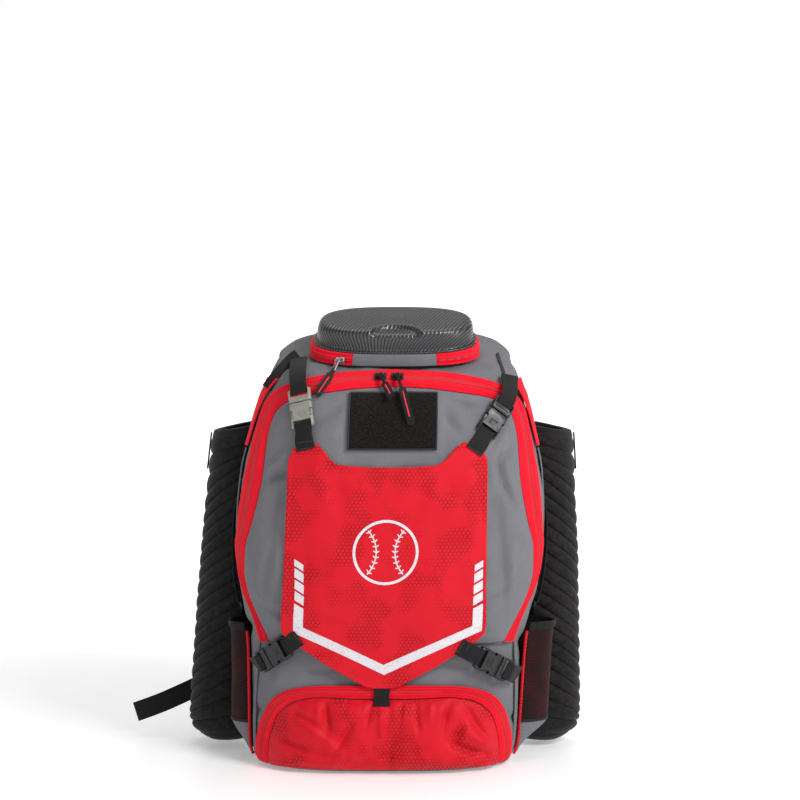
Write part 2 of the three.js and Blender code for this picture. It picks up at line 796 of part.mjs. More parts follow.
// The patch of hook pile on the front panel
const patchMiddle = [0, 0.808 * bodyHeight];
const patchOutline = (() => {
  const w = patchWidth / 2;
  const h = patchHeight / 2;
  const corners = [[-w, -h], [w, -h], [w, h], [-w, h]];
  return corners.flatMap(([x, z], i) => {
    const [nx, nz] = corners[(i + 1) % 4];
    return [0, 1 / 3, 2 / 3].map((t) => [
      patchMiddle[0] + mix(x, nx, t),
      patchMiddle[1] + mix(z, nz, t),
    ]);
  });
})();
piece(
  "patch_panel",
  radialPatch(
    patchOutline,
    patchMiddle,
    [1, 0.6],
    onFront,
    (x, z) => panelLift(x, z) + patchSeat + patchWall,
    (x, z) => panelLift(x, z) + patchSeat,
  ),
  hookPile,
);

// The five-sided cover sheet, taut between its four straps
const coverMiddle = [coverShift, 0.5 * bodyHeight];
const coverOutline = mirrored(
  coverRows.map((row) => [row.half * bodyHalfWidth, row.rise * bodyHeight]).reverse(),
  coverShift,
);
const coverTip = coverRows[coverRows.length - 1].rise * bodyHeight;

/** How far the cover sheet's inner face stands off the body. */
function coverLiftAt(x, z) {
  const taut = mix(coverTipLift, coverLift, smooth((z - coverTip) / (0.2 * bodyHeight)));
  return max(taut, panelLift(x, z) + 2 * seat);
}
piece(
  "cover_sheet",
  radialPatch(
    coverOutline,
    coverMiddle,
    [1, 0.68, 0.35],
    onFront,
    (x, z) => coverLiftAt(x, z) + coverWall,
    (x, z) => coverLiftAt(x, z),
  ),
  redCloth,
);

// The short loop that holds the cover sheet's tip over the shoe pocket's zip
const tabFoot = coverTip - 0.04 * bodyHeight;
piece(
  "tip_loop",
  ribbon(
    [0, 0.25, 0.5, 0.75, 1].map((t) => ({ x: coverShift, z: mix(coverTip - 1, tabFoot, t) })),
    webbingWidth,
    onFront,
    (x, z) => max(coverTipLift, shoeLift(x, z) + seat, seat * 2 + tapeWall + coilHeight),
    webbingWall,
  ),
  blackWeb,
);

// The four straps with side-release buckles that hold the cover sheet
const buckleBar = 3;
const buckleSlot = 6;
const buckleEdge = 0.5;
const webbingSeat = 0.55 * buckleHeight;

/** A buckle's socket and plug in their own frame: +X towards the cover sheet. */
function buckleHalves() {
  const w = buckleWidth / 2;
  const slot = webbingWidth / 2 + 1;
  const side = 3.2;
  const hollow = { half: w - side, low: 2, high: buckleHeight - 2 };
  const windowLow = 0.3 * socketLength;
  const windowHigh = 0.62 * socketLength;
  const above = buckleHeight + 1;
  const barTop = webbingSeat - buckleFit;
  const slotEnd = buckleBar + buckleSlot;
  const socket = fromBoxes(
    [[[0, -w, 0], [socketLength, w, buckleHeight]]],
    [
      [[-1, -hollow.half, hollow.low], [0.68 * socketLength, hollow.half, hollow.high]],
      [[windowLow, -w - 1, -1], [windowHigh, -hollow.half + 1, above]],
      [[windowLow, hollow.half - 1, -1], [windowHigh, w + 1, above]],
      [[socketLength - slotEnd, -slot, -1], [socketLength - buckleBar, slot, above]],
      [[socketLength - slotEnd, -slot, barTop], [socketLength + 1, slot, above]],
    ],
  );
  const back = -buckleFit - plugLength;
  const prong = { half: hollow.half - buckleFit, low: hollow.low + buckleFit };
  const prongs = [-1, 1].flatMap((s) => {
    const arm = [s * (prong.half - 4), s * prong.half].sort((a, b) => a - b);
    const button = [s * (prong.half - 4), s * (w - buckleEdge)].sort((a, b) => a - b);
    const high = hollow.high - buckleFit;
    return [
      [[-buckleFit - 1, arm[0], prong.low], [windowHigh, arm[1], high]],
      [[windowLow + buckleFit, button[0], prong.low], [windowHigh - buckleFit, button[1], high]],
    ];
  });
  const plug = fromBoxes(
    [[[back, -w, buckleEdge], [-buckleFit, w, buckleHeight - buckleEdge]], ...prongs],
    [
      [[back + buckleBar, -slot, -1], [back + slotEnd, slot, above]],
      [[back - 1, -slot, barTop], [back + slotEnd, slot, above]],
    ],
  );
  return { socket, plug };
}

// Each corner: where its strap starts, where the buckle's mouth lies and where the
// cover sheet takes the strap, as shares of the body's half width and height, and
// how high the buckle rides over the front.
const coverStraps = [
  {
    name: "upper_left", side: -1, finish: greyPlastic, ride: 7,
    start: [0.61, 0.94], mouth: [0.555, 0.845], end: [0.485, 0.745],
  },
  {
    name: "upper_right", side: 1, finish: blackPlastic, ride: 7,
    start: [0.72, 0.905], mouth: [0.625, 0.822], end: [0.505, 0.742],
  },
  {
    name: "lower_left", side: -1, finish: blackPlastic, ride: 8.2,
    start: [0.81, 0.237], mouth: [0.7, 0.268], end: [0.5, 0.32],
  },
  {
    name: "lower_right", side: 1, finish: blackPlastic, ride: 6,
    start: [0.82, 0.213], mouth: [0.676, 0.246], end: [0.437, 0.299],
  },
];

/** The height of everything sewn flat to the front at (x, z). */
const frontLift = (x, z) => max(panelLift(x, z), tapeSeat + tapeWall);

/** A webbing that leaves the front at `from` and runs level into a buckle's end. */
function runToBuckle(from, tipDistance, frame, startLift, free) {
  const stations = [0, 0.25, 0.5, 0.75, 1];
  const across = [-0.5, 0, 0.5];
  const along = vec(0, 0, 0).setFromMatrixColumn(frame, 0);
  const sideways = vec(0, 0, 0).setFromMatrixColumn(frame, 1);
  const up = vec(0, 0, 0).setFromMatrixColumn(frame, 2);
  const tip = vec(tipDistance, 0, webbingSeat).applyMatrix4(frame);
  const run = vec(tip.x - from.x, 0, tip.z - from.z);
  const turn = vec(-run.z, 0, run.x).normalize();
  const flip = sign(turn.dot(sideways));
  const reach = run.length() * sign(run.dot(along));
  const levelAt = max(0.4, 1 - (buckleBar + buckleSlot) / run.length());
  const skin = (extra) =>
    stations.flatMap((t) =>
      across.map((share) => {
        const w = share * webbingWidth;
        const x = from.x + run.x * t + turn.x * w;
        const z = from.z + run.z * t + turn.z * w;
        const level = tip
          .clone()
          .addScaledVector(along, -(1 - t) * reach)
          .addScaledVector(sideways, w * flip)
          .addScaledVector(up, extra);
        return onFront(x, z, startLift(x, z) + extra).lerp(level, smooth((t - free) / (levelAt - free)));
      }),
    );
  return thicken(gridFaces(across.length, stations.length), skin(webbingWall), skin(0));
}

coverStraps.forEach(({ name, side, finish: look, ride, start, mouth, end }) => {
  const [from, at, to] = [start, mouth, end].map(([half, rise]) => ({
    x: side * half * bodyHalfWidth + (rise > 0.3 && rise < 0.8 ? coverShift : 0),
    z: rise * bodyHeight,
  }));
  const heading = vec(to.x - at.x, 0, to.z - at.z).normalize();
  const middle = (socketLength - plugLength) / 2;
  const centre = { x: at.x + heading.x * middle, z: at.z + heading.z * middle };
  const low = onFront(at.x, at.z, frontLift(at.x, at.z) + ride);
  const high = onFront(to.x, to.z, coverLiftAt(to.x, to.z) + coverWall + ride / 2);
  const along = high.clone().sub(low).normalize();
  const facing = bodyNormal(centre.x, frontY(centre.x, centre.z), centre.z);
  const up = facing.addScaledVector(along, -facing.dot(along)).normalize();
  const corner = low.addScaledVector(up, -buckleHeight / 2);
  const frame = new THREE.Matrix4()
    .makeBasis(along, up.clone().cross(along), up)
    .setPosition(corner);
  Object.entries(buckleHalves()).forEach(([half, geometry]) =>
    piece(`buckle_${name}_${half}`, lean(geometry.applyMatrix4(frame)), look),
  );
  const slotMiddle = buckleBar + buckleSlot / 2;
  piece(
    `strap_${name}`,
    runToBuckle(from, -buckleFit - plugLength + slotMiddle, frame, (x, z) => frontLift(x, z) + buckleFit, 0),
    blackWeb,
  );
  const overCover = (x, z) => coverLiftAt(x, z) + coverWall + seat;
  piece(
    `strap_${name}_end`,
    runToBuckle(to, socketLength - slotMiddle, frame, overCover, 0.1),
    blackWeb,
  );
});

// The hard case: a zipped band on the body's top, its cloth hinge and its lid
const caseTurn = radians(caseTilt);
const caseDeep = vec(0, cos(caseTurn), sin(caseTurn));
const caseUp = vec(0, -sin(caseTurn), cos(caseTurn));
const caseFoot = vec(0, caseMiddle, topZ(0, caseMiddle));
const casePoint = ([x, deep], up) =>
  caseFoot.clone().add(vec(x, 0, 0)).addScaledVector(caseDeep, deep).addScaledVector(caseUp, up);

/** A point of the case's rounded outline at an angle, drawn in by an inset. */
function caseOutline(angle, inset, shrink = 0) {
  const power = 2 / caseSquare;
  const round = (t) => sign(t) * pow(abs(t), power) * (1 - shrink);
  return [(caseHalfWidth - inset) * round(cos(angle)), (caseHalfDepth - inset) * round(sin(angle))];
}

/** How far above the case's foot plane the body's top lies at a plan point. */
const bodyTopUp = (plan) =>
  turningPoint(-bodyFront / 2, bandHeight, (up) => {
    const p = casePoint(plan, up);
    return p.z > bodyHeight || bodyMeasure(p.x, p.y, p.z) > 1;
  });

/** A stretch of the band from one angle to another, with a zip coil or without. */
function caseBand(from, to, steps, ridge) {
  const heights = ridge ? [0, 0.5, 1] : [0, 1];
  const skin = (inset) =>
    Array.from({ length: steps + 1 }, (_, k) => {
      const angle = mix(from, to, k / steps);
      const low = bodyTopUp(caseOutline(angle, 0)) + tapeSeat;
      return heights.map((t) => {
        const out = inset - (t === 0.5 && inset === 0 ? coilHeight : 0);
        return casePoint(caseOutline(angle, out + bandLean * t), mix(low, bandHeight, t));
      });
    }).flat();
  return thicken(gridFaces(heights.length, steps + 1), skin(0), skin(bandWall));
}
const hingeAngle = Math.acos(pow(hingeHalfWidth / caseHalfWidth, caseSquare / 2));
const hingeGap = seat / caseHalfWidth;
piece("case_zip_band", caseBand(-hingeAngle, PI + hingeAngle, 28, true), redTape);
piece(
  "case_hinge",
  caseBand(PI + hingeAngle + hingeGap, 2 * PI - hingeAngle - hingeGap, 6, false),
  greyCloth,
);

function caseLid() {
  const spokes = 24;
  const base = bandHeight + 2 * buckleFit;
  const dent = ([x, deep], share) => {
    const front = (deep + caseHalfDepth - lidSetBack - gripReach) / gripReach;
    const r = hypot(x / gripHalfWidth, front);
    return share > 0.8 ? gripDepth * (1 - smooth(r)) : 0;
  };
  const skin = (wall) => {
    const points = lidRows.flatMap(({ shrink, flange, height }) =>
      Array.from({ length: spokes }, (_, i) => {
        const angle = (2 * PI * (i + 0.5)) / spokes;
        const inset = lidSetBack - flange * lidFlange + (flange ? 0 : wall);
        const plan = caseOutline(angle, inset, shrink);
        const drop = flange ? min(wall, lidEdge) : wall;
        const up = flange ? lidEdge : height * lidHeight;
        return casePoint(plan, base + max(0, up - drop - dent(plan, height)));
      }),
    );
    const crown = lidRows[lidRows.length - 1].height * lidHeight + lidCrown;
    return [...points, casePoint([0, 0], base + crown - wall)];
  };
  const count = lidRows.length * spokes;
  const faces = [
    ...gridFaces(spokes, lidRows.length, true),
    ...fanFaces(count - spokes, spokes, count),
  ];
  return thicken(faces, skin(0), skin(lidWall));
}
piece("case_lid", caseLid(), carbonShell);

// The ribbed bat sleeves, open at the top
const sleeveColumn = readColumn(sleeveRows, "rise", "girth");
const sleeveAxis = (z) => mix(sleeveBottomX, sleeveTopX, z / (sleeveFloor + sleeveHeight));

/** A point of a sleeve's wall: an angle from its outer side, and a share of its height. */
function sleevePoint(side, angle, t, inset, rib) {
  const inward = (1 - cos(angle)) / 2;
  const fade = smooth(t / ribFade) * smooth((1 - t) / ribFade);
  const slant = ribSlope * sleeveRadius * (min(abs(angle), ribTurn) - ribTurn / 2);
  const z = sleeveFloor + t * (sleeveHeight + rimRise * inward) + slant * fade;
  const girth = sleeveColumn(t);
  const ribbed = rib * ribHeight * smooth((cos(angle) + 0.75) * 2);
  const radius = sleeveRadius * girth - inset + ribbed;
  const axis = sleeveAxis(z);
  const y = sleeveDepth + radius * sin(angle);
  const level = min(z, bodyHeight);
  const bodySide = (depth) => sideX(depth, level) + sleeveSeat + inset;
  const reach = cos(angle) > 0 ? radius : (axis - bodySide(sleeveDepth)) * girth;
  const x = max(axis + reach * cos(angle), bodySide(y));
  return vec(side * x, y, z);
}

function batSleeve(side) {
  const ribs = Array.from({ length: 2 * ribCount + 1 }, (_, k) => ({
    t: mix(0.03, 0.985, k / (2 * ribCount)),
    rib: k % 2,
  }));
  const outer = [{ t: 0, rib: 0 }, ...ribs, { t: 1, rib: 0 }];
  const inner = [1, 0.8, 0.5, 0.2, 0.06, 0.02].map((t) => ({ t, rib: 0 }));
  const ring = (inset) => ({ t, rib }) =>
    Array.from({ length: sleeveSpokes }, (_, i) => {
      const angle = (2 * PI * (i + 0.5)) / sleeveSpokes - PI;
      const p = sleevePoint(side, angle, t, inset, rib);
      if (inset) p.z = max(p.z, sleeveFloor + sleeveWall);
      return p;
    });
  const points = [...outer.flatMap(ring(0)), ...inner.flatMap(ring(sleeveWall))];
  const rows = outer.length + inner.length;
  const middle = (z) => vec(side * sleeveAxis(z), sleeveDepth, z);
  points.push(middle(sleeveFloor), middle(sleeveFloor + sleeveWall));
  const faces = [
    ...gridFaces(sleeveSpokes, rows, true),
    ...fanFaces(0, sleeveSpokes, rows * sleeveSpokes).map(([a, b, c]) => [b, a, c]),
    ...fanFaces((rows - 1) * sleeveSpokes, sleeveSpokes, rows * sleeveSpokes + 1),
  ];
  return solid(points, faces);
}

// The side pockets, trims and rings
const pocketFront = -0.42 * bodyFront;
const pocketBack = 0.055 * bodyBack;
const stripDepth = -0.12 * bodyFront;

// A side ring's outline from its straight bar round its bow: how far it lies across
// and how far it drops, as shares of its half width.
const ringRows = [
  [-1.1, 0], [-0.6, 0], [0, 0], [0.6, 0], [1.1, 0],
  [1.2, 0.5], [0.8, 1.15], [0, 1.45], [-0.8, 1.15], [-1.2, 0.5],
];

/** A stretch of a side pocket's cloth between two heights. */
function pocketWall(side, reach, low, high, rows) {
  const columns = 7;
  const grid = Array.from({ length: rows * columns }, (_, i) => ({
    u: (i % columns) / (columns - 1),
    z: mix(low, high, Math.floor(i / columns) / (rows - 1)),
  }));
  const skin = (extra) =>
    grid.map(({ u, z }) => {
      const y = mix(pocketFront, pocketBack, u);
      const full = pow(sin(PI * u), 0.6) * smooth((z - pocketFoot) / (pocketBaseTop - pocketFoot));
      return vec(side * (sideX(y, z) + pocketSeat + reach * full + extra), y, z);
    });
  return thicken(gridFaces(columns, rows), skin(clothWall), skin(0));
}

/** A flat trim on the body's side, between two depths and through several heights. */
function sideTrim(side, front, back, heights) {
  const columns = [0, 0.5, 1].map((t) => mix(front, back, t));
  const skin = (extra) =>
    heights.flatMap((z) => columns.map((y) => onSide(side, y, z, tapeSeat + extra)));
  return thicken(gridFaces(columns.length, heights.length), skin(tapeWall), skin(0));
}

sides.forEach(({ side, name }) => {
  const reach = pocketReach[name];
  piece(`bat_sleeve_${name}`, batSleeve(side), blackFoam);
  piece(`side_pocket_${name}`, pocketWall(side, reach, pocketBaseTop + seat, pocketMouth, 4), blackMesh);
  piece(`pocket_base_${name}`, pocketWall(side, reach, pocketFoot, pocketBaseTop, 4), greyCloth);

  const pipingY = pocketFront - pipingRadius - pipingGap + pipingTuck;
  const pipingZ = [0.02, 0.06, 0.12, 0.18, 0.25, 0.31].map((rise) => rise * bodyHeight);
  piece(
    `side_piping_${name}`,
    cordAlong(pipingZ.map((z) => onSide(side, pipingY, z, seat + pipingRadius + pipingGap)), pipingRadius),
    redCloth,
  );

  const gusset = { front: -0.46 * bodyFront, back: -0.12 * bodyFront };
  const gussetZ = [0.745, 0.8, 0.85, 0.88, 0.9].map((rise) => rise * bodyHeight);
  piece(`side_gusset_${name}`, sideTrim(side, gusset.front, gusset.back, gussetZ), redTape);

  const ringZ = stripFoot + ringWire / 2;
  const turn = ringWire / 2 + tapeSeat + webbingWall / 2;
  const barLift = seat + webbingWall + turn;
  const onStrip = (z, lift) => {
    const x = sideX(stripDepth - stripWidth / 2, z);
    return vec(side * (x + lift), stripDepth, z);
  };
  const wrap = [0, 60, 120, 180].map((a) =>
    onStrip(ringZ - turn * sin(radians(a)), barLift + turn * cos(radians(a))),
  );
  const loose = [
    [stripHead, seat + webbingWall / 2 - stripSink],
    [mix(stripFoot, stripHead, 0.75), stripSlack * 0.7],
    [mix(stripFoot, stripHead, 0.4), stripSlack],
    [mix(stripFoot, stripHead, 0.12), barLift + turn * 1.1],
  ].map(([z, lift]) => onStrip(z, lift));
  const tuck = onStrip(ringZ + 2 * turn, barLift - turn * 0.9);
  piece(
    `loop_strip_${name}`,
    strapAlong([...loose, ...wrap, tuck], () => stripWidth, webbingWall, vec(0, 1, 0)),
    blackWeb,
  );
  const ringPoints = ringRows.map(([across, drop]) => {
    const p = onStrip(ringZ - drop * ringHalfWidth, barLift);
    p.y += across * ringHalfWidth;
    return p;
  });
  piece(`side_ring_${name}`, cordAlong(ringPoints, ringWire / 2, true), darkMetal);

  const pullZ = sleeveFloor + sleeveHeight;
  const facet = cos(PI / sleeveSpokes);
  const pullX = (z) =>
    sleeveAxis(z) + (sleeveRadius * sleeveColumn(z / pullZ) + ribHeight) * facet + seat;
  const pullRows = [0.995, 0.96, 0.92, 0.88].map((t) => t * pullZ);
  piece(
    `sleeve_pull_${name}`,
    strapAlong(
      pullRows.map((z) => vec(side * (pullX(z) + pullWall / 2), sleeveDepth, z)),
      () => pullWidth,
      pullWall,
      vec(0, 1, 0),
    ),
    blackWeb,
  );
});

// Zip sliders and their pulls
const frontTop = tapeSeat + tapeWall + coilHeight;

/** A zip slider: a plate with a raised bridge, in its own frame with +Z outwards. */
function sliderBody() {
  const [l, w] = [sliderLength / 2, sliderWidth / 2];
  const plate = 0.4 * sliderHeight;
  return fromBoxes([
    [[-l, -w, 0], [l, w, plate]],
    [[-l, -1.2, plate - 0.2], [-l + 2, 1.2, sliderHeight]],
    [[l - 2, -1.2, plate - 0.2], [l, 1.2, sliderHeight]],
    [[-l, -1.2, sliderHeight - 1.2], [l, 1.2, sliderHeight]],
  ]);
}

// Where each slider of the main zip lies and where its pull ends, as shares of the
// body's half width and height.
const mainPulls = [
  { name: "left", slider: [-0.085, 0.904], end: [-0.12, 0.845] },
  { name: "right", slider: [0.02, 0.904], end: [0.115, 0.8] },
];
mainPulls.forEach(({ name, slider, end }) => {
  const [x, z] = [slider[0] * bodyHalfWidth, slider[1] * bodyHeight];
  const up = bodyNormal(x, frontY(x, z), z);
  const along = vec(1, 0, 0).addScaledVector(up, -up.x).normalize();
  const frame = new THREE.Matrix4()
    .makeBasis(along, up.clone().cross(along), up)
    .setPosition(onFront(x, z, frontTop + buckleFit));
  piece(`zip_slider_${name}`, lean(sliderBody().applyMatrix4(frame)), darkMetal);
  const stations = [0, 0.25, 0.5, 0.75, 1].map((t) => ({
    x: mix(x, end[0] * bodyHalfWidth, t),
    z: mix(z, end[1] * bodyHeight, t),
  }));
  const patchTop = panelBulge + clothWall + 3 * seat + patchWall + pullWall;
  const sliderTop = frontTop + sliderHeight + 2 * buckleFit;
  const lift = (_, at) => mix(patchTop, sliderTop, smooth((at - z + patchClear) / patchRun));
  piece(`zip_pull_${name}`, ribbon(stations, pullWidth, onFront, lift, pullWall, 2), blackWeb);
});

const caseSliderAngle = PI + hingeAngle - 0.14;
const caseSliderPlan = caseOutline(caseSliderAngle, bandLean / 2);
const caseSliderSpot = casePoint(caseSliderPlan, 0.5 * bandHeight);
const caseOut = casePoint(caseOutline(caseSliderAngle, bandLean / 2 - 1), 0.5 * bandHeight);
const caseFacing = caseOut.sub(caseSliderSpot).normalize();
const caseSideways = caseUp.clone().cross(caseFacing).normalize();
const caseSliderFrame = new THREE.Matrix4()
  .makeBasis(caseSideways, caseFacing.clone().cross(caseSideways), caseFacing)
  .setPosition(caseSliderSpot.clone().addScaledVector(caseFacing, coilHeight + 3 * seat));
piece("case_slider", lean(sliderBody().applyMatrix4(caseSliderFrame)), silverMetal);
const casePullTop = caseSliderSpot
  .clone()
  .addScaledVector(caseFacing, coilHeight + 3 * seat + sliderHeight + pullWall);
const casePullFoot = onFront(-0.46 * bodyHalfWidth, 0.865 * bodyHeight, frontTop + 3 * pullWall);
const casePullMiddle = casePullTop.clone().lerp(casePullFoot, 0.5).add(vec(0, -6, 0));
piece(
  "case_pull",
  strapAlong([casePullTop, casePullMiddle, casePullFoot], () => pullWidth, pullWall, vec(0.8, 0, -0.6)),
  blackWeb,
);

// The padded back, its handle and its shoulder straps
function backPad() {
  const columns = [-1, -0.93, -0.72, -0.42, -0.12, 0.12, 0.42, 0.72, 0.93, 1];
  const rows = [0, 0.04, 0.3, 0.34, 0.38, 0.62, 0.66, 0.7, 0.96, 1];
  const full = (u, v) => {
    const edge = abs(u) === 1 || v === 0 || v === 1;
    const channel = abs(u) === 0.12 || abs(v - 0.5) === 0.16;
    return edge ? 0.4 : channel ? 0.55 : 1;
  };
  const skin = (wall) =>
    rows.flatMap((v) =>
      columns.map((u) => {
        const half = padHalfWidth * (1 - 0.12 * pow(abs(2 * v - 1), 4));
        return onBack(u * half, mix(padFoot, padHead, v), tapeSeat + wall * full(u, v));
      }),
    );
  return thicken(gridFaces(columns.length, rows.length), skin(padWall), skin(0));
}
piece("back_pad", backPad(), blackMesh);

const handleRows = [-1.35, -1.1, -0.85, -0.45, 0, 0.45, 0.85, 1.1, 1.35];
piece(
  "grab_handle",
  strapAlong(
    handleRows.map((share) => {
      const x = share * handleHalfWidth;
      const out = handleReach * smooth((1.15 - abs(share)) / 0.9);
      const rear = backY(x, handleZ - handleWidth / 2);
      return vec(x, rear + seat + 0.35 * handleWall + out, handleZ);
    }),
    () => handleWidth,
    handleWall,
    vec(0, 0, 1),
    0.7,
  ),
  blackWeb,
);

// A shoulder strap's route: place across, height up the body and reach behind it,
// as shares of the body's half width, its height and the strap's reach.
const strapRows = [
  { half: 0.27, rise: 0.872, reach: 0 },
  { half: 0.275, rise: 0.905, reach: 0.22 },
  { half: 0.285, rise: 0.915, reach: 0.6 },
  { half: 0.305, rise: 0.88, reach: 0.93 },
  { half: 0.34, rise: 0.78, reach: 1 },
  { half: 0.4, rise: 0.62, reach: 0.92 },
  { half: 0.46, rise: 0.47, reach: 0.72 },
  { half: 0.5, rise: 0.34, reach: 0.55 },
  { half: 0.52, rise: 0.26, reach: 0.5 },
];
const strapRoot = strapWall / 2;
const strapPoint = (side, { half, rise, reach }) => {
  const z = rise * bodyHeight;
  return vec(side * half * bodyHalfWidth, bodyBack + strapRoot + reach * strapReach, z);
};

// The webbing tails below the adjusters: places across, back and up, as shares of
// the body's half width, its back and its height.
const tailRows = {
  left: [
    [0.72, 1.245, 0.19],
    [1.0, 1.17, 0.15],
    [1.25, 1.05, 0.115],
    [1.5, 0.9, 0.078],
    [1.68, 0.82, 0.056],
  ],
  right: [
    [0.6, 1.235, 0.17],
    [0.64, 1.2, 0.11],
    [0.66, 1.16, 0.05],
  ],
};

sides.forEach(({ side, name }) => {
  const route = strapRows.map((row, i) => {
    const p = strapPoint(side, row);
    if (i === 0) p.y = backY(p.x, p.z) + strapRoot;
    return p;
  });
  const widths = (t) => strapWidth * (1 - 0.3 * smooth((t - 0.75) / 0.25) - 0.12 * (1 - t));
  piece(
    `shoulder_strap_${name}`,
    strapAlong(route, widths, strapWall, vec(1, 0, 0), 0.6),
    blackMesh,
  );

  const end = route[route.length - 1];
  const along = end.clone().sub(route[route.length - 2]).normalize();
  const sideways = vec(1, 0, 0).addScaledVector(along, -along.x).normalize();
  const out = along.clone().cross(sideways).normalize();
  const frame = new THREE.Matrix4()
    .makeBasis(along, sideways, out)
    .setPosition(end.clone().addScaledVector(along, buckleFit));
  const w = buckleWidth / 2 + 1;
  const slot = webbingWidth / 2 + 1;
  const thick = adjusterWall / 2;
  const adjuster = fromBoxes(
    [[[0, -w, -thick], [adjusterLength, w, thick]]],
    [0.2, 0.6].map((share) => [
      [share * adjusterLength, -slot, -adjusterWall],
      [(share + 0.22) * adjusterLength, slot, adjusterWall],
    ]),
  );
  piece(`adjuster_${name}`, lean(adjuster.applyMatrix4(frame)), blackPlastic);

  const facing = sign(out.y);
  const gap = thick + buckleFit + webbingWall / 2;
  const onAdjuster = (share, level) =>
    vec(share * adjusterLength, 0, facing * level * gap).applyMatrix4(frame);
  const padBack = bodyBack + tapeSeat + padWall;
  const anchor = (z, y) => vec(side * anchorHalf, y, z);
  const seatBack = backY(anchorHalf, 0.5 * padFoot) + tapeSeat + webbingWall;
  piece(
    `lower_webbing_${name}`,
    strapAlong(
      [
        onAdjuster(0.7, -1),
        onAdjuster(1.1, -1),
        anchor(1.15 * padFoot, padBack + 2 * webbingWall),
        anchor(0.8 * padFoot, padBack - 0.3 * padWall),
        anchor(0.5 * padFoot, seatBack + webbingWall),
        anchor(0.25 * padFoot, seatBack),
      ],
      () => webbingWidth,
      webbingWall,
      vec(side, 0, 0),
    ),
    blackWeb,
  );
  const tail = tailRows[name].map(([across, back, z]) =>
    vec(side * across * bodyHalfWidth, back * bodyBack, z * bodyHeight),
  );
  piece(
    `strap_tail_${name}`,
    strapAlong([onAdjuster(0.5, 1.25), ...tail], () => tailWidth, webbingWall, vec(side * 0.35, 0, 1)),
    blackWeb,
  );
});

export default bag;
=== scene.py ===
"""A baseball bat backpack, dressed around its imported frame.

The cloth, foam and webbing pieces are worked out on the same body surface as the
CAD solids, from the same sizes, at a finer step and with their folds, seams and ribs.
Sizes are in millimetres until a mesh is made, in metres. +Z is up, the front faces -Y.
"""

import logging
import math
from dataclasses import dataclass, field
from enum import Enum
from typing import Callable, Iterable, Sequence

import bpy
import numpy as np
from mathutils import Matrix, Vector

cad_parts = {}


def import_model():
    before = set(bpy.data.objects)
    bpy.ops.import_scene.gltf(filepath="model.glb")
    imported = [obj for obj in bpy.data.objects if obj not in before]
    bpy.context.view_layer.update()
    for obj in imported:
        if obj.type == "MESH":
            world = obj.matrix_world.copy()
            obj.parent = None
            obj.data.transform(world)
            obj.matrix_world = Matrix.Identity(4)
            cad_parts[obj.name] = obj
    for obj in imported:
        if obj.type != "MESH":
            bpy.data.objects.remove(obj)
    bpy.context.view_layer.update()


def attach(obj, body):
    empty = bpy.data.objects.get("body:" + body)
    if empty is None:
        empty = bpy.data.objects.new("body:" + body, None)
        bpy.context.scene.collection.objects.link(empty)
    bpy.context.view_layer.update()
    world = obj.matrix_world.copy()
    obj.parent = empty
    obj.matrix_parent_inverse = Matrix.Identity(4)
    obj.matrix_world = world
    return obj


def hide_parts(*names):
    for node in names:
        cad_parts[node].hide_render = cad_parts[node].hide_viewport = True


LOG = logging.getLogger("bat_backpack")
METRES_PER_MM = 0.001
UV_PER_MM = 0.01
BODY = "root"

Array = np.ndarray
Lift = Callable[[Array, Array], Array]


# Numbers and curves


def smooth(share: Array | float) -> Array:
    """A soft step from 0 to 1."""
    s = np.clip(share, 0.0, 1.0)
    return s * s * (3 - 2 * s)


def mix(low: Array | float, high: Array | float, share: Array | float) -> Array:
    """The value at a share of the way from low to high."""
    return low + (high - low) * share


def unit(rows: Array) -> Array:
    """Each row scaled to length one."""
    size = np.linalg.norm(rows, axis=-1, keepdims=True)
    return rows / np.maximum(size, 1e-9)


def bump_at(x: Array, middle: float, half: float) -> Array:
    """A round hump, 1 at its middle and 0 beyond half its width."""
    return smooth(1 - np.abs(x - middle) / half)


class Reader:
    """A smooth curve through one column of a table that never passes its values."""

    def __init__(self, at: Sequence[float], values: Sequence[float]) -> None:
        """Works out the slope at each row.

        Args:
            at: the places of the rows, rising.
            values: the column's value at each row.
        """
        self.at = np.asarray(at, float)
        self.values = np.asarray(values, float)
        self.step = np.diff(self.at)
        rate = np.diff(self.values) / self.step
        slopes = np.zeros(len(self.at))
        slopes[0], slopes[-1] = rate[0], rate[-1]
        before, after = rate[:-1], rate[1:]
        same = before * after > 0
        w1 = 2 * self.step[1:] + self.step[:-1]
        w2 = self.step[1:] + 2 * self.step[:-1]
        r0 = np.where(same, before, 1.0)
        r1 = np.where(same, after, 1.0)
        slopes[1:-1] = np.where(same, (w1 + w2) / (w1 / r0 + w2 / r1), 0.0)
        self.slopes = slopes

    def __call__(self, at: Array | float) -> Array:
        """The column's value at each place.

        Args:
            at: places, held inside the table's own range.

        Returns:
            The values there.
        """
        t = np.clip(at, self.at[0], self.at[-1])
        i = np.clip(np.searchsorted(self.at, t, side="left") - 1, 0, len(self.at) - 2)
        d = self.step[i]
        s = (t - self.at[i]) / d
        h = s * s * (3 - 2 * s)
        bend = (1 - s) * self.slopes[i] - s * self.slopes[i + 1]
        return self.values[i] * (1 - h) + self.values[i + 1] * h + d * s * (1 - s) * bend


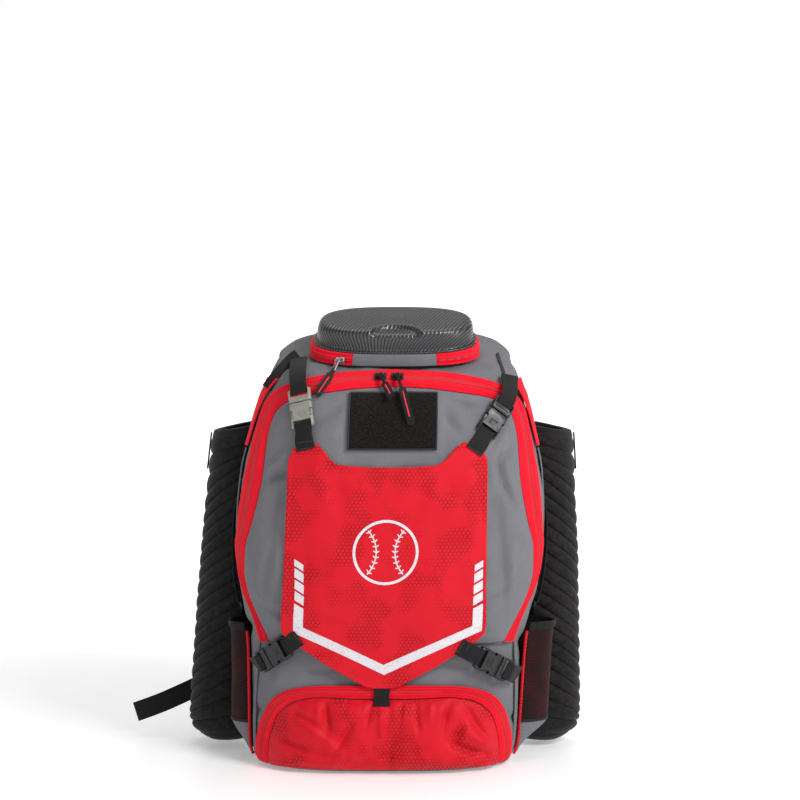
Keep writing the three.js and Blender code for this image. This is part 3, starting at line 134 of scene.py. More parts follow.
class SoftNoise:
    """Smooth seeded noise from -1 to 1 over a lattice of points."""

    cells = 32

    def __init__(self, seed: int) -> None:
        """Fills the lattice from a seed."""
        self.table = np.random.default_rng(seed).random((self.cells,) * 3) * 2 - 1

    def __call__(self, points: Array, size: Sequence[float] | float) -> Array:
        """The noise at each point.

        Args:
            points: rows of x, y, z in millimetres.
            size: the noise's grain, one number or one for each axis.

        Returns:
            One value for each row.
        """
        q = np.asarray(points, float) / np.asarray(size, float)
        low = np.floor(q).astype(int)
        s = smooth(q - low)
        total = np.zeros(len(q))
        for corner in np.ndindex(2, 2, 2):
            at = (low + corner) % self.cells
            share = np.prod(np.where(corner, s, 1 - s), axis=1)
            total += share * self.table[at[:, 0], at[:, 1], at[:, 2]]
        return total


def spline(points: Array, count: int) -> Array:
    """Evenly spaced points on a smooth curve through the given ones.

    Args:
        points: rows that the curve passes.
        count: how many points to return.

    Returns:
        The points, evenly spaced along the curve.
    """
    p = np.asarray(points, float)
    if len(p) == 2:
        return mix(p[0], p[1], np.linspace(0, 1, count)[:, None])
    ends = np.vstack([2 * p[0] - p[1], p, 2 * p[-1] - p[-2]])
    knots = np.concatenate([[0], np.cumsum(np.linalg.norm(np.diff(ends, axis=0), axis=1) ** 0.5)])
    steps = []
    for i in range(1, len(ends) - 2):
        t0, t1, t2, t3 = knots[i - 1 : i + 3]
        t = np.linspace(t1, t2, 24, endpoint=i == len(ends) - 3)[:, None]
        a1 = (t1 - t) / (t1 - t0) * ends[i - 1] + (t - t0) / (t1 - t0) * ends[i]
        a2 = (t2 - t) / (t2 - t1) * ends[i] + (t - t1) / (t2 - t1) * ends[i + 1]
        a3 = (t3 - t) / (t3 - t2) * ends[i + 1] + (t - t2) / (t3 - t2) * ends[i + 2]
        b1 = (t2 - t) / (t2 - t0) * a1 + (t - t0) / (t2 - t0) * a2
        b2 = (t3 - t) / (t3 - t1) * a2 + (t - t1) / (t3 - t1) * a3
        steps.append((t2 - t) / (t2 - t1) * b1 + (t - t1) / (t2 - t1) * b2)
    return evenly(np.vstack(steps), count)


def evenly(path: Array, count: int, closed: bool = False) -> Array:
    """A path's points moved to equal steps along it.

    Args:
        path: rows of the path's points.
        count: how many points to return.
        closed: whether the path joins its own start.

    Returns:
        The evenly spaced points, without the start's repeat on a closed path.
    """
    p = np.vstack([path, path[:1]]) if closed else np.asarray(path)
    far = np.concatenate([[0], np.cumsum(np.linalg.norm(np.diff(p, axis=0), axis=1))])
    at = np.linspace(0, far[-1], count + 1)[:-1] if closed else np.linspace(0, far[-1], count)
    return np.stack([np.interp(at, far, p[:, k]) for k in range(p.shape[1])], axis=1)


# The bag's body surface


@dataclass
class BodyForm:
    """The sewn body's outer surface, from its sizes and its table of levels."""

    height: float = 511.5
    half_width: float = 188.0
    front: float = 110.0
    back: float = 108.0
    lean: float = 0.028
    front_square: float = 3.0
    back_square: float = 4.5
    rises: tuple[float, ...] = (
        0, 0.006, 0.02, 0.05, 0.147, 0.283, 0.469, 0.567, 0.684, 0.782,
        0.85, 0.895, 0.919, 0.938, 0.958, 0.977, 0.989, 0.997, 1,
    )
    halves: tuple[float, ...] = (
        0.777, 0.809, 0.846, 0.867, 0.878, 0.894, 0.989, 1, 0.979, 0.92,
        0.872, 0.83, 0.803, 0.777, 0.745, 0.681, 0.596, 0.479, 0.266,
    )
    fronts: tuple[float, ...] = (
        0.882, 0.936, 0.973, 0.991, 1, 1, 1, 0.991, 0.973, 0.936,
        0.864, 0.745, 0.618, 0.345, 0.036, -0.273, -0.455, -0.564, -0.636,
    )
    backs: tuple[float, ...] = (
        0.907, 0.954, 0.981, 1, 1, 1, 1, 1, 1, 1,
        0.995, 0.991, 0.981, 0.972, 0.944, 0.898, 0.852, 0.796, 0.741,
    )
    pinches: tuple[float, ...] = (
        0.08, 0.09, 0.1, 0.11, 0.14, 0.2, 0.28, 0.28, 0.28, 0.26,
        0.2, 0.12, 0.07, 0.03, 0, 0, 0, 0, 0,
    )

    def __post_init__(self) -> None:
        """Makes a reader of each column."""
        self.half_at = Reader(self.rises, self.halves)
        self.front_at = Reader(self.rises, self.fronts)
        self.back_at = Reader(self.rises, self.backs)
        self.pinch_share = Reader(self.rises, self.pinches)

    def section(self, z: Array) -> tuple[Array, Array, Array, Array]:
        """The body's section at each height.

        Args:
            z: heights.

        Returns:
            Half width, middle depth, half depth and the pinch of the back.
        """
        rise = np.asarray(z, float) / self.height
        front = -self.front_at(rise) * self.front
        back = self.back_at(rise) * self.back
        half = self.half_at(rise) * self.half_width
        return half, (front + back) / 2, (back - front) / 2, self.pinch_share(rise)

    def pinched(self, y: Array) -> Array:
        """How far the sides are drawn in towards the back, from 0 at the front."""
        return smooth((y + 0.41 * self.front) / (0.41 * self.front + 0.56 * self.back))

    def _side(self, y: Array, section: tuple[Array, Array, Array, Array]) -> Array:
        """The half width at each depth of a given section."""
        half, middle, deep, pinch = section
        t = (y - middle) / deep
        n = np.where(t < 0, self.front_square, self.back_square)
        inside = np.clip(1 - np.clip(np.abs(t), 0, 1) ** n, 0, 1) ** (1 / n)
        return half * (1 - pinch * self.pinched(y)) * inside

    def side_x(self, y: Array, z: Array) -> Array:
        """The body's half width at each depth and height."""
        return self._side(np.asarray(y, float), self.section(z))

    def _turning(self, low: Array, high: Array, test: Callable[[Array], Array]) -> Array:
        """Where a test turns true between two values, by halving."""
        a, b = np.array(low, float), np.array(high, float)
        for _ in range(34):
            middle = (a + b) / 2
            true = test(middle)
            b = np.where(true, middle, b)
            a = np.where(true, a, middle)
        return (a + b) / 2

    def front_y(self, x: Array, z: Array) -> Array:
        """The depth of the body's front at each x and height."""
        section = self.section(z)
        _, middle, deep, _ = section
        widest = np.maximum(-0.3 * self.front, middle - 0.6 * deep)
        far = np.abs(np.asarray(x, float))
        low = middle - deep + 0 * far
        return self._turning(low, widest + 0 * far, lambda y: self._side(y, section) > far)

    def back_y(self, x: Array, z: Array) -> Array:
        """The depth of the body's back at each x and height."""
        section = self.section(z)
        _, middle, deep, _ = section
        far = np.abs(np.asarray(x, float))
        low = middle + deep + 0 * far
        high = middle + 0.3 * deep + 0 * far
        return self._turning(low, high, lambda y: self._side(y, section) > far)

    def top_z(self, x: float, y: float) -> float:
        """The height of the body's sloping top at one place."""
        low, high = np.array([self.height]), np.array([0.8 * self.height])
        return float(self._turning(low, high, lambda z: self.side_x(y, z) > abs(x))[0])

    def measure(self, p: Array) -> Array:
        """A measure that is 1 on the body's surface and grows outwards."""
        half, middle, deep, pinch = self.section(p[:, 2])
        t = (p[:, 1] - middle) / deep
        n = np.where(t < 0, self.front_square, self.back_square)
        w = half * (1 - pinch * self.pinched(p[:, 1]))
        return ((np.abs(p[:, 0]) / w) ** n + np.abs(t) ** n) ** (1 / n)

    def normal(self, p: Array) -> Array:
        """The body's outward direction at points of its surface."""
        d = 0.5
        slopes = []
        for axis in range(3):
            low, high = p.copy(), p.copy()
            low[:, axis] -= d
            high[:, axis] += d
            if axis == 2:
                low[:, 2] = np.maximum(low[:, 2], 0)
                high[:, 2] = np.minimum(high[:, 2], self.height)
            run = np.maximum(high[:, axis] - low[:, axis], 1e-6)
            slopes.append((self.measure(high) - self.measure(low)) / run)
        return unit(np.stack(slopes, axis=1))

    def raised(self, p: Array, lift: Array | float) -> Array:
        """Points raised off the body's surface along its outward direction."""
        return p + self.normal(p) * (np.zeros(len(p)) + lift)[:, None]

    def on_front(self, x: Array, z: Array, lift: Array | float) -> Array:
        """Points over the body's front at each x and height."""
        return self.raised(np.stack([x, self.front_y(x, z), z], axis=1), lift)

    def on_back(self, x: Array, z: Array, lift: Array | float) -> Array:
        """Points over the body's back at each x and height."""
        return self.raised(np.stack([x, self.back_y(x, z), z], axis=1), lift)

    def on_side(self, side: int, y: Array, z: Array, lift: Array | float) -> Array:
        """Points over the body's side at each depth and height."""
        p = self.raised(np.stack([self.side_x(y, z), y, z], axis=1), lift)
        p[:, 0] *= side
        return p


FORM = BodyForm()


@dataclass(frozen=True)
class Fold:
    """A soft fold of cloth, placed in shares of the body's half width and height."""

    half: float
    rise: float
    turn: float
    run: float
    width: float
    depth: float
    bend: float = 0.0

    def at(self, x: Array, z: Array) -> Array:
        """The fold's own depth at each place, as a share or in millimetres."""
        dx = x - self.half * FORM.half_width
        dz = z - self.rise * FORM.height
        a = math.radians(self.turn)
        along = (dx * math.cos(a) + dz * math.sin(a)) / (0.5 * self.run * FORM.half_width)
        over = (dz * math.cos(a) - dx * math.sin(a)) / (0.5 * self.width * FORM.half_width)
        over = over + self.bend * along * along
        return self.depth * np.exp(-along * along - over * over)


def folded(folds: Iterable[Fold], x: Array, z: Array) -> Array:
    """The sum of several folds at each place."""
    return sum((f.at(x, z) for f in folds), np.zeros(np.shape(x)))


class Outline:
    """A closed outline on the front that is seen whole from its middle."""

    def __init__(self, points: Array, middle: Sequence[float]) -> None:
        """Keeps the outline by direction.

        Args:
            points: rows of x and z round the outline.
            middle: the x and z that it is seen from.
        """
        self.points = np.asarray(points, float)
        self.middle = np.asarray(middle, float)
        off = evenly(self.points, 1600, closed=True) - self.middle
        angle = np.arctan2(off[:, 1], off[:, 0])
        order = np.argsort(angle)
        self.angle = angle[order]
        self.radius = np.linalg.norm(off, axis=1)[order]

    def share(self, x: Array, z: Array) -> Array:
        """The share of the way from the middle to the outline at each place."""
        dx, dz = x - self.middle[0], z - self.middle[1]
        rim = np.interp(np.arctan2(dz, dx), self.angle, self.radius, period=2 * math.pi)
        return np.hypot(dx, dz) / rim

    def edge_gap(self, x: Array, z: Array) -> Array:
        """The distance from each place to the outline."""
        a = evenly(self.points, 420, closed=True)
        step = np.roll(a, -1, axis=0) - a
        best = np.full(np.shape(x), 1e9)
        for (ax, az), (ex, ez) in zip(a, step):
            t = np.clip(((x - ax) * ex + (z - az) * ez) / (ex * ex + ez * ez + 1e-12), 0, 1)
            best = np.minimum(best, np.hypot(x - ax - t * ex, z - az - t * ez))
        return best


# Meshes


@dataclass
class Skin:
    """Points with the faces between them, and each point's place on the flat cloth."""

    points: Array
    quads: Array
    tris: Array = field(default_factory=lambda: np.zeros((0, 3), int))
    flat: Array | None = None

    def volume(self) -> float:
        """The space inside, below zero when the faces point inwards."""
        p = self.points
        tris = np.vstack([self.quads[:, [0, 1, 2]], self.quads[:, [0, 2, 3]], self.tris])
        a, b, c = p[tris[:, 0]], p[tris[:, 1]], p[tris[:, 2]]
        return float(np.einsum("ij,ij->i", a, np.cross(b, c)).sum() / 6)

    def facing_out(self) -> "Skin":
        """The same skin with its faces outwards."""
        if self.volume() >= 0:
            return self
        return Skin(self.points, self.quads[:, ::-1], self.tris[:, ::-1], self.flat)

    def walled(self, inner: Array) -> "Skin":
        """A closed wall between this skin and an inner one that shares its faces.

        Args:
            inner: the inner skin's points, in the same order.

        Returns:
            The wall, with a rim at every open edge.
        """
        n = len(self.points)
        edges = [self.quads[:, [i, (i + 1) % 4]] for i in range(4)]
        edges += [self.tris[:, [i, (i + 1) % 3]] for i in range(3)]
        run = np.vstack(edges)
        open_edge = ~np.isin(run[:, 1] * n + run[:, 0], run[:, 0] * n + run[:, 1])
        a, b = run[open_edge].T
        rim = np.stack([b, a, a + n, b + n], axis=1)
        quads = np.vstack([self.quads, self.quads[:, ::-1] + n, rim])
        tris = np.vstack([self.tris, self.tris[:, ::-1] + n])
        flat = None if self.flat is None else np.vstack([self.flat, self.flat])
        return Skin(np.vstack([self.points, inner]), quads, tris, flat).facing_out()


def grid_quads(rows: int, columns: int, wrapped: bool = False, looped: bool = False) -> Array:
    """Faces of a grid of points held row by row.

    Args:
        rows: rows of points.
        columns: points in each row.
        wrapped: whether each row joins its own start.
        looped: whether the last row joins the first.

    Returns:
        The faces' point numbers, four for each.
    """
    i = np.arange(columns if wrapped else columns - 1)
    j = np.arange(rows if looped else rows - 1)
    jj, ii = (v.ravel() for v in np.meshgrid(j, i, indexing="ij"))
    right, up = (ii + 1) % columns, ((jj + 1) % rows) * columns
    here = jj * columns
    return np.stack([here + ii, here + right, up + right, up + ii], axis=1)


def fan(start: int, count: int, tip: int, turned: bool = False) -> Array:
    """Faces that close a ring of points to one point."""
    i = np.arange(count)
    ring = [start + i, start + (i + 1) % count]
    return np.stack([*(ring[::-1] if turned else ring), np.full(count, tip)], axis=1)


class Workshop:
    """Makes each finished piece: a mesh at the origin that rides on the bag."""

    def __init__(self) -> None:
        """Starts with nothing made."""
        self.made: list[bpy.types.Object] = []

    def piece(
        self,
        name: str,
        skin: Skin,
        look: bpy.types.Material,
        nodes: Sequence[str] = (),
        crease: float = 48.0,
    ) -> bpy.types.Object:
        """Makes a piece from a skin in millimetres and leans it as the bag leans.

        Args:
            name: the piece's name.
            skin: its points and faces.
            look: its material.
            nodes: the frame's nodes that it stands for.
            crease: edges sharper than this many degrees stay sharp.

        Returns:
            The finished object.
        """
        out = skin.facing_out()
        at = out.points.copy()
        at[:, 0] += FORM.lean * at[:, 2]
        mesh = bpy.data.meshes.new(name)
        faces = [*map(tuple, out.quads.tolist()), *map(tuple, out.tris.tolist())]
        mesh.from_pydata((at * METRES_PER_MM).tolist(), [], faces)
        if out.flat is not None:
            layer = mesh.uv_layers.new(name="UVMap")
            corner = np.zeros(len(mesh.loops), int)
            mesh.loops.foreach_get("vertex_index", corner)
            layer.data.foreach_set("uv", (out.flat[corner] * UV_PER_MM).astype(np.float32).ravel())
        mesh.validate()
        made = bpy.data.objects.new(name, mesh)
        bpy.context.scene.collection.objects.link(made)
        self.rounded(made, crease)
        return self.finish(made, look, nodes)

    @staticmethod
    def rounded(made: bpy.types.Object, crease: float) -> None:
        """Shades a mesh smooth but for its sharper edges."""
        bpy.ops.object.select_all(action="DESELECT")
        made.select_set(True)
        bpy.context.view_layer.objects.active = made
        bpy.ops.object.shade_smooth_by_angle(angle=math.radians(crease))

    def finish(
        self,
        made: bpy.types.Object,
        look: bpy.types.Material,
        nodes: Sequence[str] = (),
    ) -> bpy.types.Object:
        """Dresses a made object and seats it on the bag.

        Args:
            made: the object, with its place in its mesh.
            look: its material.
            nodes: the frame's nodes that it stands for.

        Returns:
            The same object.
        """
        made.data.materials.clear()
        made.data.materials.append(look)
        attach(made, BODY)
        if nodes:
            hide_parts(*nodes)
        self.made.append(made)
        LOG.info("%s: %d faces", made.name, len(made.data.polygons))
        return made


# Finishes

Colour = tuple[float, float, float]


def linear(red: int, green: int, blue: int) -> Colour:
    """A screen colour as the light that it stands for."""
    return tuple((v / 255) ** 2.2 for v in (red, green, blue))


class Weave(Enum):
    """How a surface is woven, knitted or moulded."""

    TWILL = "twill"
    HEX_RIPSTOP = "hex_ripstop"
    TAPE = "tape"
    WEBBING = "webbing"
    NET = "net"
    SPACER = "spacer"
    PILE = "pile"
    FOAM = "foam"
    MOULDED = "moulded"
    CARBON = "carbon"
    METAL = "metal"
    PRINT = "print"


class Tree:
    """One material's nodes, added a step at a time."""

    def __init__(self, name: str) -> None:
        """Starts an empty material."""
        self.material = bpy.data.materials.new(name)
        self.material.use_nodes = True
        self.nodes = self.material.node_tree.nodes
        self.links = self.material.node_tree.links
        self.nodes.clear()

    def put(self, node: bpy.types.Node, socket: str | int, value: object) -> None:
        """Links a socket to a value, or sets the value on it."""
        if isinstance(value, bpy.types.NodeSocket):
            self.links.new(value, node.inputs[socket])
        elif value is not None:
            node.inputs[socket].default_value = value

    def math(self, operation: str, *values: object) -> bpy.types.NodeSocket:
        """A number worked out from others."""
        node = self.nodes.new("ShaderNodeMath")
        node.operation = operation
        for i, value in enumerate(values):
            self.put(node, i, value)
        return node.outputs[0]

    def vector(self, operation: str, *values: object) -> bpy.types.NodeSocket:
        """A vector, or a dot product or length, worked out from others."""
        node = self.nodes.new("ShaderNodeVectorMath")
        node.operation = operation
        for i, value in enumerate(values):
            self.put(node, "Scale" if operation == "SCALE" and i == 1 else i, value)
        return node.outputs["Value" if operation in ("DOT_PRODUCT", "LENGTH") else "Vector"]

    def flat_mm(self) -> bpy.types.NodeSocket:
        """The place on the flat cloth in millimetres."""
        node = self.nodes.new("ShaderNodeUVMap")
        node.uv_map = "UVMap"
        return self.vector("SCALE", node.outputs["UV"], 1 / UV_PER_MM)

    def solid_mm(self) -> bpy.types.NodeSocket:
        """The place on the bag in millimetres."""
        node = self.nodes.new("ShaderNodeTexCoord")
        return self.vector("SCALE", node.outputs["Object"], 1 / METRES_PER_MM)

    def parts(self, vector: bpy.types.NodeSocket) -> list[bpy.types.NodeSocket]:
        """A vector's x, y and z."""
        node = self.nodes.new("ShaderNodeSeparateXYZ")
        self.put(node, 0, vector)
        return list(node.outputs)

    def joined(self, *values: object) -> bpy.types.NodeSocket:
        """A vector from its x, y and z."""
        node = self.nodes.new("ShaderNodeCombineXYZ")
        for i, value in enumerate(values):
            self.put(node, i, value)
        return node.outputs[0]

    def noise(self, at: bpy.types.NodeSocket, grain: float, detail: float = 3.0) -> bpy.types.NodeSocket:
        """Soft noise of a grain in millimetres, from 0 to 1."""
        node = self.nodes.new("ShaderNodeTexNoise")
        self.put(node, "Vector", at)
        self.put(node, "Scale", 1 / grain)
        self.put(node, "Detail", detail)
        return node.outputs["Fac"]

    def stretch(
        self, value: object, low: float, high: float, to_low: float = 0.0, to_high: float = 1.0
    ) -> bpy.types.NodeSocket:
        """A number moved from one range to another and held inside it."""
        node = self.nodes.new("ShaderNodeMapRange")
        for socket, v in enumerate((value, low, high, to_low, to_high)):
            self.put(node, socket, v)
        return node.outputs[0]

    def blend(self, share: object, low: object, high: object) -> bpy.types.NodeSocket:
        """A colour between two others."""
        node = self.nodes.new("ShaderNodeMix")
        node.data_type = "RGBA"
        self.put(node, "Factor", share)
        for socket, value in ((6, low), (7, high)):
            self.put(node, socket, (*value, 1.0) if isinstance(value, tuple) else value)
        return node.outputs[2]

    def bump(self, height: object, depth_mm: float, strength: float = 1.0) -> bpy.types.NodeSocket:
        """A surface direction from a height between 0 and 1."""
        node = self.nodes.new("ShaderNodeBump")
        self.put(node, "Height", height)
        self.put(node, "Distance", depth_mm * METRES_PER_MM)
        self.put(node, "Strength", strength)
        return node.outputs[0]

    def wave(self, value: object, pitch: float) -> bpy.types.NodeSocket:
        """A sine of a length in millimetres, from 0 to 1."""
        turned = self.math("SINE", self.math("MULTIPLY", value, 2 * math.pi / pitch))
        return self.math("MULTIPLY_ADD", turned, 0.5, 0.5)

    def cells(self, u: object, v: object, pitch: float) -> tuple[bpy.types.NodeSocket, bpy.types.NodeSocket]:
        """A six-sided lattice.

        Args:
            u: the place across in millimetres.
            v: the place along in millimetres.
            pitch: the width of a cell.

        Returns:
            The distance from a cell's middle, 0.5 at its edge, and the round distance.
        """
        step = (1.0, math.sqrt(3.0), 1.0)
        half = tuple(s / 2 for s in step)
        at = self.vector("SCALE", self.joined(u, v, 0.0), 1 / pitch)
        at = self.vector("ADD", at, (500.0, 500.0 * step[1], 0.0))
        first = self.vector("SUBTRACT", self.vector("MODULO", at, step), half)
        moved = self.vector("SUBTRACT", at, half)
        second = self.vector("SUBTRACT", self.vector("MODULO", moved, step), half)
        flat = (1.0, 1.0, 0.0)
        first, second = (self.vector("MULTIPLY", p, flat) for p in (first, second))
        nearer = self.math(
            "LESS_THAN",
            self.vector("LENGTH", first),
            self.vector("LENGTH", second),
        )
        node = self.nodes.new("ShaderNodeMix")
        node.data_type = "VECTOR"
        self.put(node, "Factor", nearer)
        self.put(node, 4, second)
        self.put(node, 5, first)
        cell = self.vector("ABSOLUTE", node.outputs[1])
        slanted = self.vector("DOT_PRODUCT", cell, (0.5, math.sqrt(3.0) / 2, 0.0))
        edge = self.math("MAXIMUM", self.parts(cell)[0], slanted)
        return edge, self.vector("LENGTH", cell)

    def shaded(
        self, colour: object, roughness: object, normal: object, settings: dict[str, object]
    ) -> bpy.types.Material:
        """Ends the material in one shader.

        Args:
            colour: the surface colour's socket.
            roughness: its roughness, a number or a socket.
            normal: the surface direction's socket, or none.
            settings: other values, set on the shader itself.

        Returns:
            The finished material.
        """
        shader = self.nodes.new("ShaderNodeBsdfPrincipled")
        self.put(shader, "Base Color", colour)
        self.put(shader, "Roughness", roughness)
        self.put(shader, "Normal", normal)
        for socket, value in settings.items():
            self.put(shader, socket, value)
        end = self.nodes.new("ShaderNodeOutputMaterial")
        self.links.new(shader.outputs[0], end.inputs[0])
        return self.material


@dataclass(frozen=True)
class Finish:
    """One finish: its colours, its weave and how it takes the light."""

    name: str
    weave: Weave
    colour: Colour
    second: Colour
    pitch: float
    roughness: float
    depth: float = 0.12
    sheen: float = 0.0
    coat: float = 0.0
    metallic: float = 0.0
    mottle: float = 0.12

    def made(self) -> bpy.types.Material:
        """Builds the material.

        Returns:
            A material whose colour, roughness and bump come from its nodes.
        """
        tree = Tree(self.name)
        pattern = {
            Weave.TWILL: self._twill,
            Weave.HEX_RIPSTOP: self._ripstop,
            Weave.TAPE: self._tape,
            Weave.WEBBING: self._webbing,
            Weave.NET: self._net,
            Weave.SPACER: self._spacer,
            Weave.PILE: self._pile,
            Weave.FOAM: self._foam,
            Weave.MOULDED: self._moulded,
            Weave.CARBON: self._carbon,
            Weave.METAL: self._metal,
            Weave.PRINT: self._print,
        }[self.weave]
        share, height, gloss = pattern(tree)
        place = tree.solid_mm()
        worn = tree.noise(place, 34.0, 5.0)
        base = tree.blend(share, self.colour, self.second)
        dull = tree.blend(0.65, base, tuple(0.5 * c for c in self.colour))
        mottled = tree.stretch(worn, 0.35, 0.75, 0.0, self.mottle)
        colour = tree.blend(mottled, base, dull)
        rough = tree.math("ADD", tree.stretch(worn, 0.3, 0.7, -0.05, 0.05), gloss)
        settings = {"Metallic": self.metallic}
        if self.sheen:
            settings |= {"Sheen Weight": self.sheen, "Sheen Roughness": 0.4, "Specular IOR Level": 0.24}
        if self.coat:
            settings |= {"Coat Weight": self.coat, "Coat Roughness": 0.08}
        return tree.shaded(colour, rough, tree.bump(height, self.depth), settings)

    def _twill(self, tree: Tree) -> tuple[object, object, object]:
        """Fine slanted wales with uneven threads."""
        u, v, _ = tree.parts(tree.flat_mm())
        wale = tree.wave(tree.math("ADD", u, v), self.pitch)
        weft = tree.wave(tree.math("SUBTRACT", u, v), self.pitch * 0.5)
        thread = tree.noise(tree.joined(tree.math("MULTIPLY", u, 0.25), v, 0.0), 0.8, 2.0)
        height = tree.math("MULTIPLY_ADD", weft, 0.3, tree.math("MULTIPLY", wale, 0.7))
        share = tree.math("MULTIPLY", tree.math("ADD", wale, thread), 0.5)
        return share, height, self.roughness

    def _ripstop(self, tree: Tree) -> tuple[object, object, object]:
        """Six-sided cells, plainer in some places than in others."""
        u, v, _ = tree.parts(tree.flat_mm())
        edge, _ = tree.cells(u, v, self.pitch)
        line = tree.stretch(edge, 0.375, 0.45)
        patch = tree.stretch(tree.noise(tree.solid_mm(), 42.0, 2.0), 0.47, 0.58, 0.05, 1.0)
        plain = tree.math("MULTIPLY", tree.wave(u, 0.8), tree.wave(v, 0.8))
        share = tree.math("MULTIPLY", line, patch)
        height = tree.math("MULTIPLY_ADD", plain, 0.25, tree.math("SUBTRACT", 1.0, share))
        gloss = tree.math("MULTIPLY_ADD", share, 0.12, self.roughness)
        return share, height, gloss

    def _tape(self, tree: Tree) -> tuple[object, object, object]:
        """A fine herringbone along a narrow tape."""
        u, v, _ = tree.parts(tree.flat_mm())
        zig = tree.math("PINGPONG", u, self.pitch * 1.6)
        rib = tree.wave(tree.math("ADD", v, zig), self.pitch)
        share = tree.math("MULTIPLY", rib, tree.noise(tree.flat_mm(), 3.0, 2.0))
        return share, rib, self.roughness

    def _webbing(self, tree: Tree) -> tuple[object, object, object]:
        """Cross ribs over lengthwise cords."""
        u, v, _ = tree.parts(tree.flat_mm())
        rib = tree.wave(tree.math("MULTIPLY_ADD", tree.wave(u, self.pitch * 1.9), 0.5, v), self.pitch)
        cord = tree.wave(u, self.pitch * 1.9)
        height = tree.math("MULTIPLY_ADD", cord, 0.4, tree.math("MULTIPLY", rib, 0.6))
        share = tree.math("MULTIPLY", height, tree.noise(tree.flat_mm(), 1.4, 2.0))
        return share, height, self.roughness

    def _net(self, tree: Tree) -> tuple[object, object, object]:
        """A knitted net whose holes show what lies under it."""
        u, v, _ = tree.parts(tree.flat_mm())
        _, hole = tree.cells(u, v, self.pitch)
        open_hole = tree.stretch(hole, 0.34, 0.24)
        lit = tree.stretch(tree.noise(tree.solid_mm(), 30.0, 2.0), 0.38, 0.62, 0.35, 1.0)
        return tree.math("MULTIPLY", open_hole, lit), tree.stretch(hole, 0.2, 0.42), self.roughness

    def _spacer(self, tree: Tree) -> tuple[object, object, object]:
        """Thick air mesh with oval dimples, painted near black inside them as painted shade."""
        u, v, _ = tree.parts(tree.flat_mm())
        _, hole = tree.cells(u, tree.math("MULTIPLY", v, 0.75), self.pitch)
        dimple = tree.stretch(hole, 0.36, 0.2)
        knit = tree.wave(v, 0.9)
        height = tree.math("SUBTRACT", tree.math("MULTIPLY_ADD", knit, 0.15, 1.0), dimple)
        # The dimple mask is also the colour share: the dimples take the darker colour, painted shade for the
        # depth of the holes.
        return dimple, height, self.roughness

    def _pile(self, tree: Tree) -> tuple[object, object, object]:
        """Short tangled loops."""
        place = tree.flat_mm()
        fine, coarse = tree.noise(place, 0.5, 4.0), tree.noise(place, 2.4, 3.0)
        height = tree.math("MULTIPLY_ADD", coarse, 0.5, fine)
        share = tree.stretch(tree.math("MULTIPLY", fine, coarse), 0.2, 0.42)
        return share, height, self.roughness

    def _foam(self, tree: Tree) -> tuple[object, object, object]:
        """Moulded foam under a fine knitted face."""
        u, v, _ = tree.parts(tree.flat_mm())
        knit = tree.math("MULTIPLY", tree.wave(u, self.pitch), tree.wave(v, self.pitch))
        rub = tree.noise(tree.solid_mm(), 6.0, 4.0)
        height = tree.math("MULTIPLY_ADD", rub, 0.6, knit)
        return tree.stretch(rub, 0.4, 0.75), height, self.roughness

    def _moulded(self, tree: Tree) -> tuple[object, object, object]:
        """Moulded plastic with a fine grain and a few rub marks."""
        place = tree.solid_mm()
        grain = tree.noise(place, 0.35, 2.0)
        rub = tree.stretch(tree.noise(place, 5.0, 6.0), 0.5, 0.72)
        gloss = tree.math("MULTIPLY_ADD", rub, 0.12, self.roughness)
        return tree.math("MULTIPLY", rub, 0.5), grain, gloss

    def _carbon(self, tree: Tree) -> tuple[object, object, object]:
        """Slanted ribs of flat tows, each crossed by finer ones, with a painted highlight: the rib crowns are
        painted lighter.
        """
        u, v, _ = tree.parts(tree.flat_mm())
        rib = tree.wave(tree.math("MULTIPLY_ADD", v, -0.37, u), self.pitch)
        cross = tree.wave(tree.math("MULTIPLY_ADD", u, 0.37, v), self.pitch * 0.5)
        crown = tree.stretch(rib, 0.35, 0.8)
        # The rib crowns take the lighter second colour: a painted highlight on the black tows.
        share = tree.math("MULTIPLY", crown, tree.math("MULTIPLY_ADD", cross, 0.3, 0.7))
        height = tree.math("MULTIPLY_ADD", cross, 0.15, rib)
        return share, height, tree.math("MULTIPLY_ADD", crown, -0.25, self.roughness)

    def _metal(self, tree: Tree) -> tuple[object, object, object]:
        """Plated metal with faint rub marks."""
        rub = tree.noise(tree.solid_mm(), 1.2, 5.0)
        return tree.stretch(rub, 0.45, 0.7), rub, self.roughness

    def _print(self, tree: Tree) -> tuple[object, object, object]:
        """A thin printed film with the cloth's cells showing through it."""
        u, v, _ = tree.parts(tree.flat_mm())
        edge, _ = tree.cells(u, v, self.pitch)
        line = tree.stretch(edge, 0.4, 0.46)
        rub = tree.stretch(tree.noise(tree.solid_mm(), 3.0, 5.0), 0.5, 0.8)
        return tree.math("MULTIPLY_ADD", line, 0.35, rub), line, self.roughness


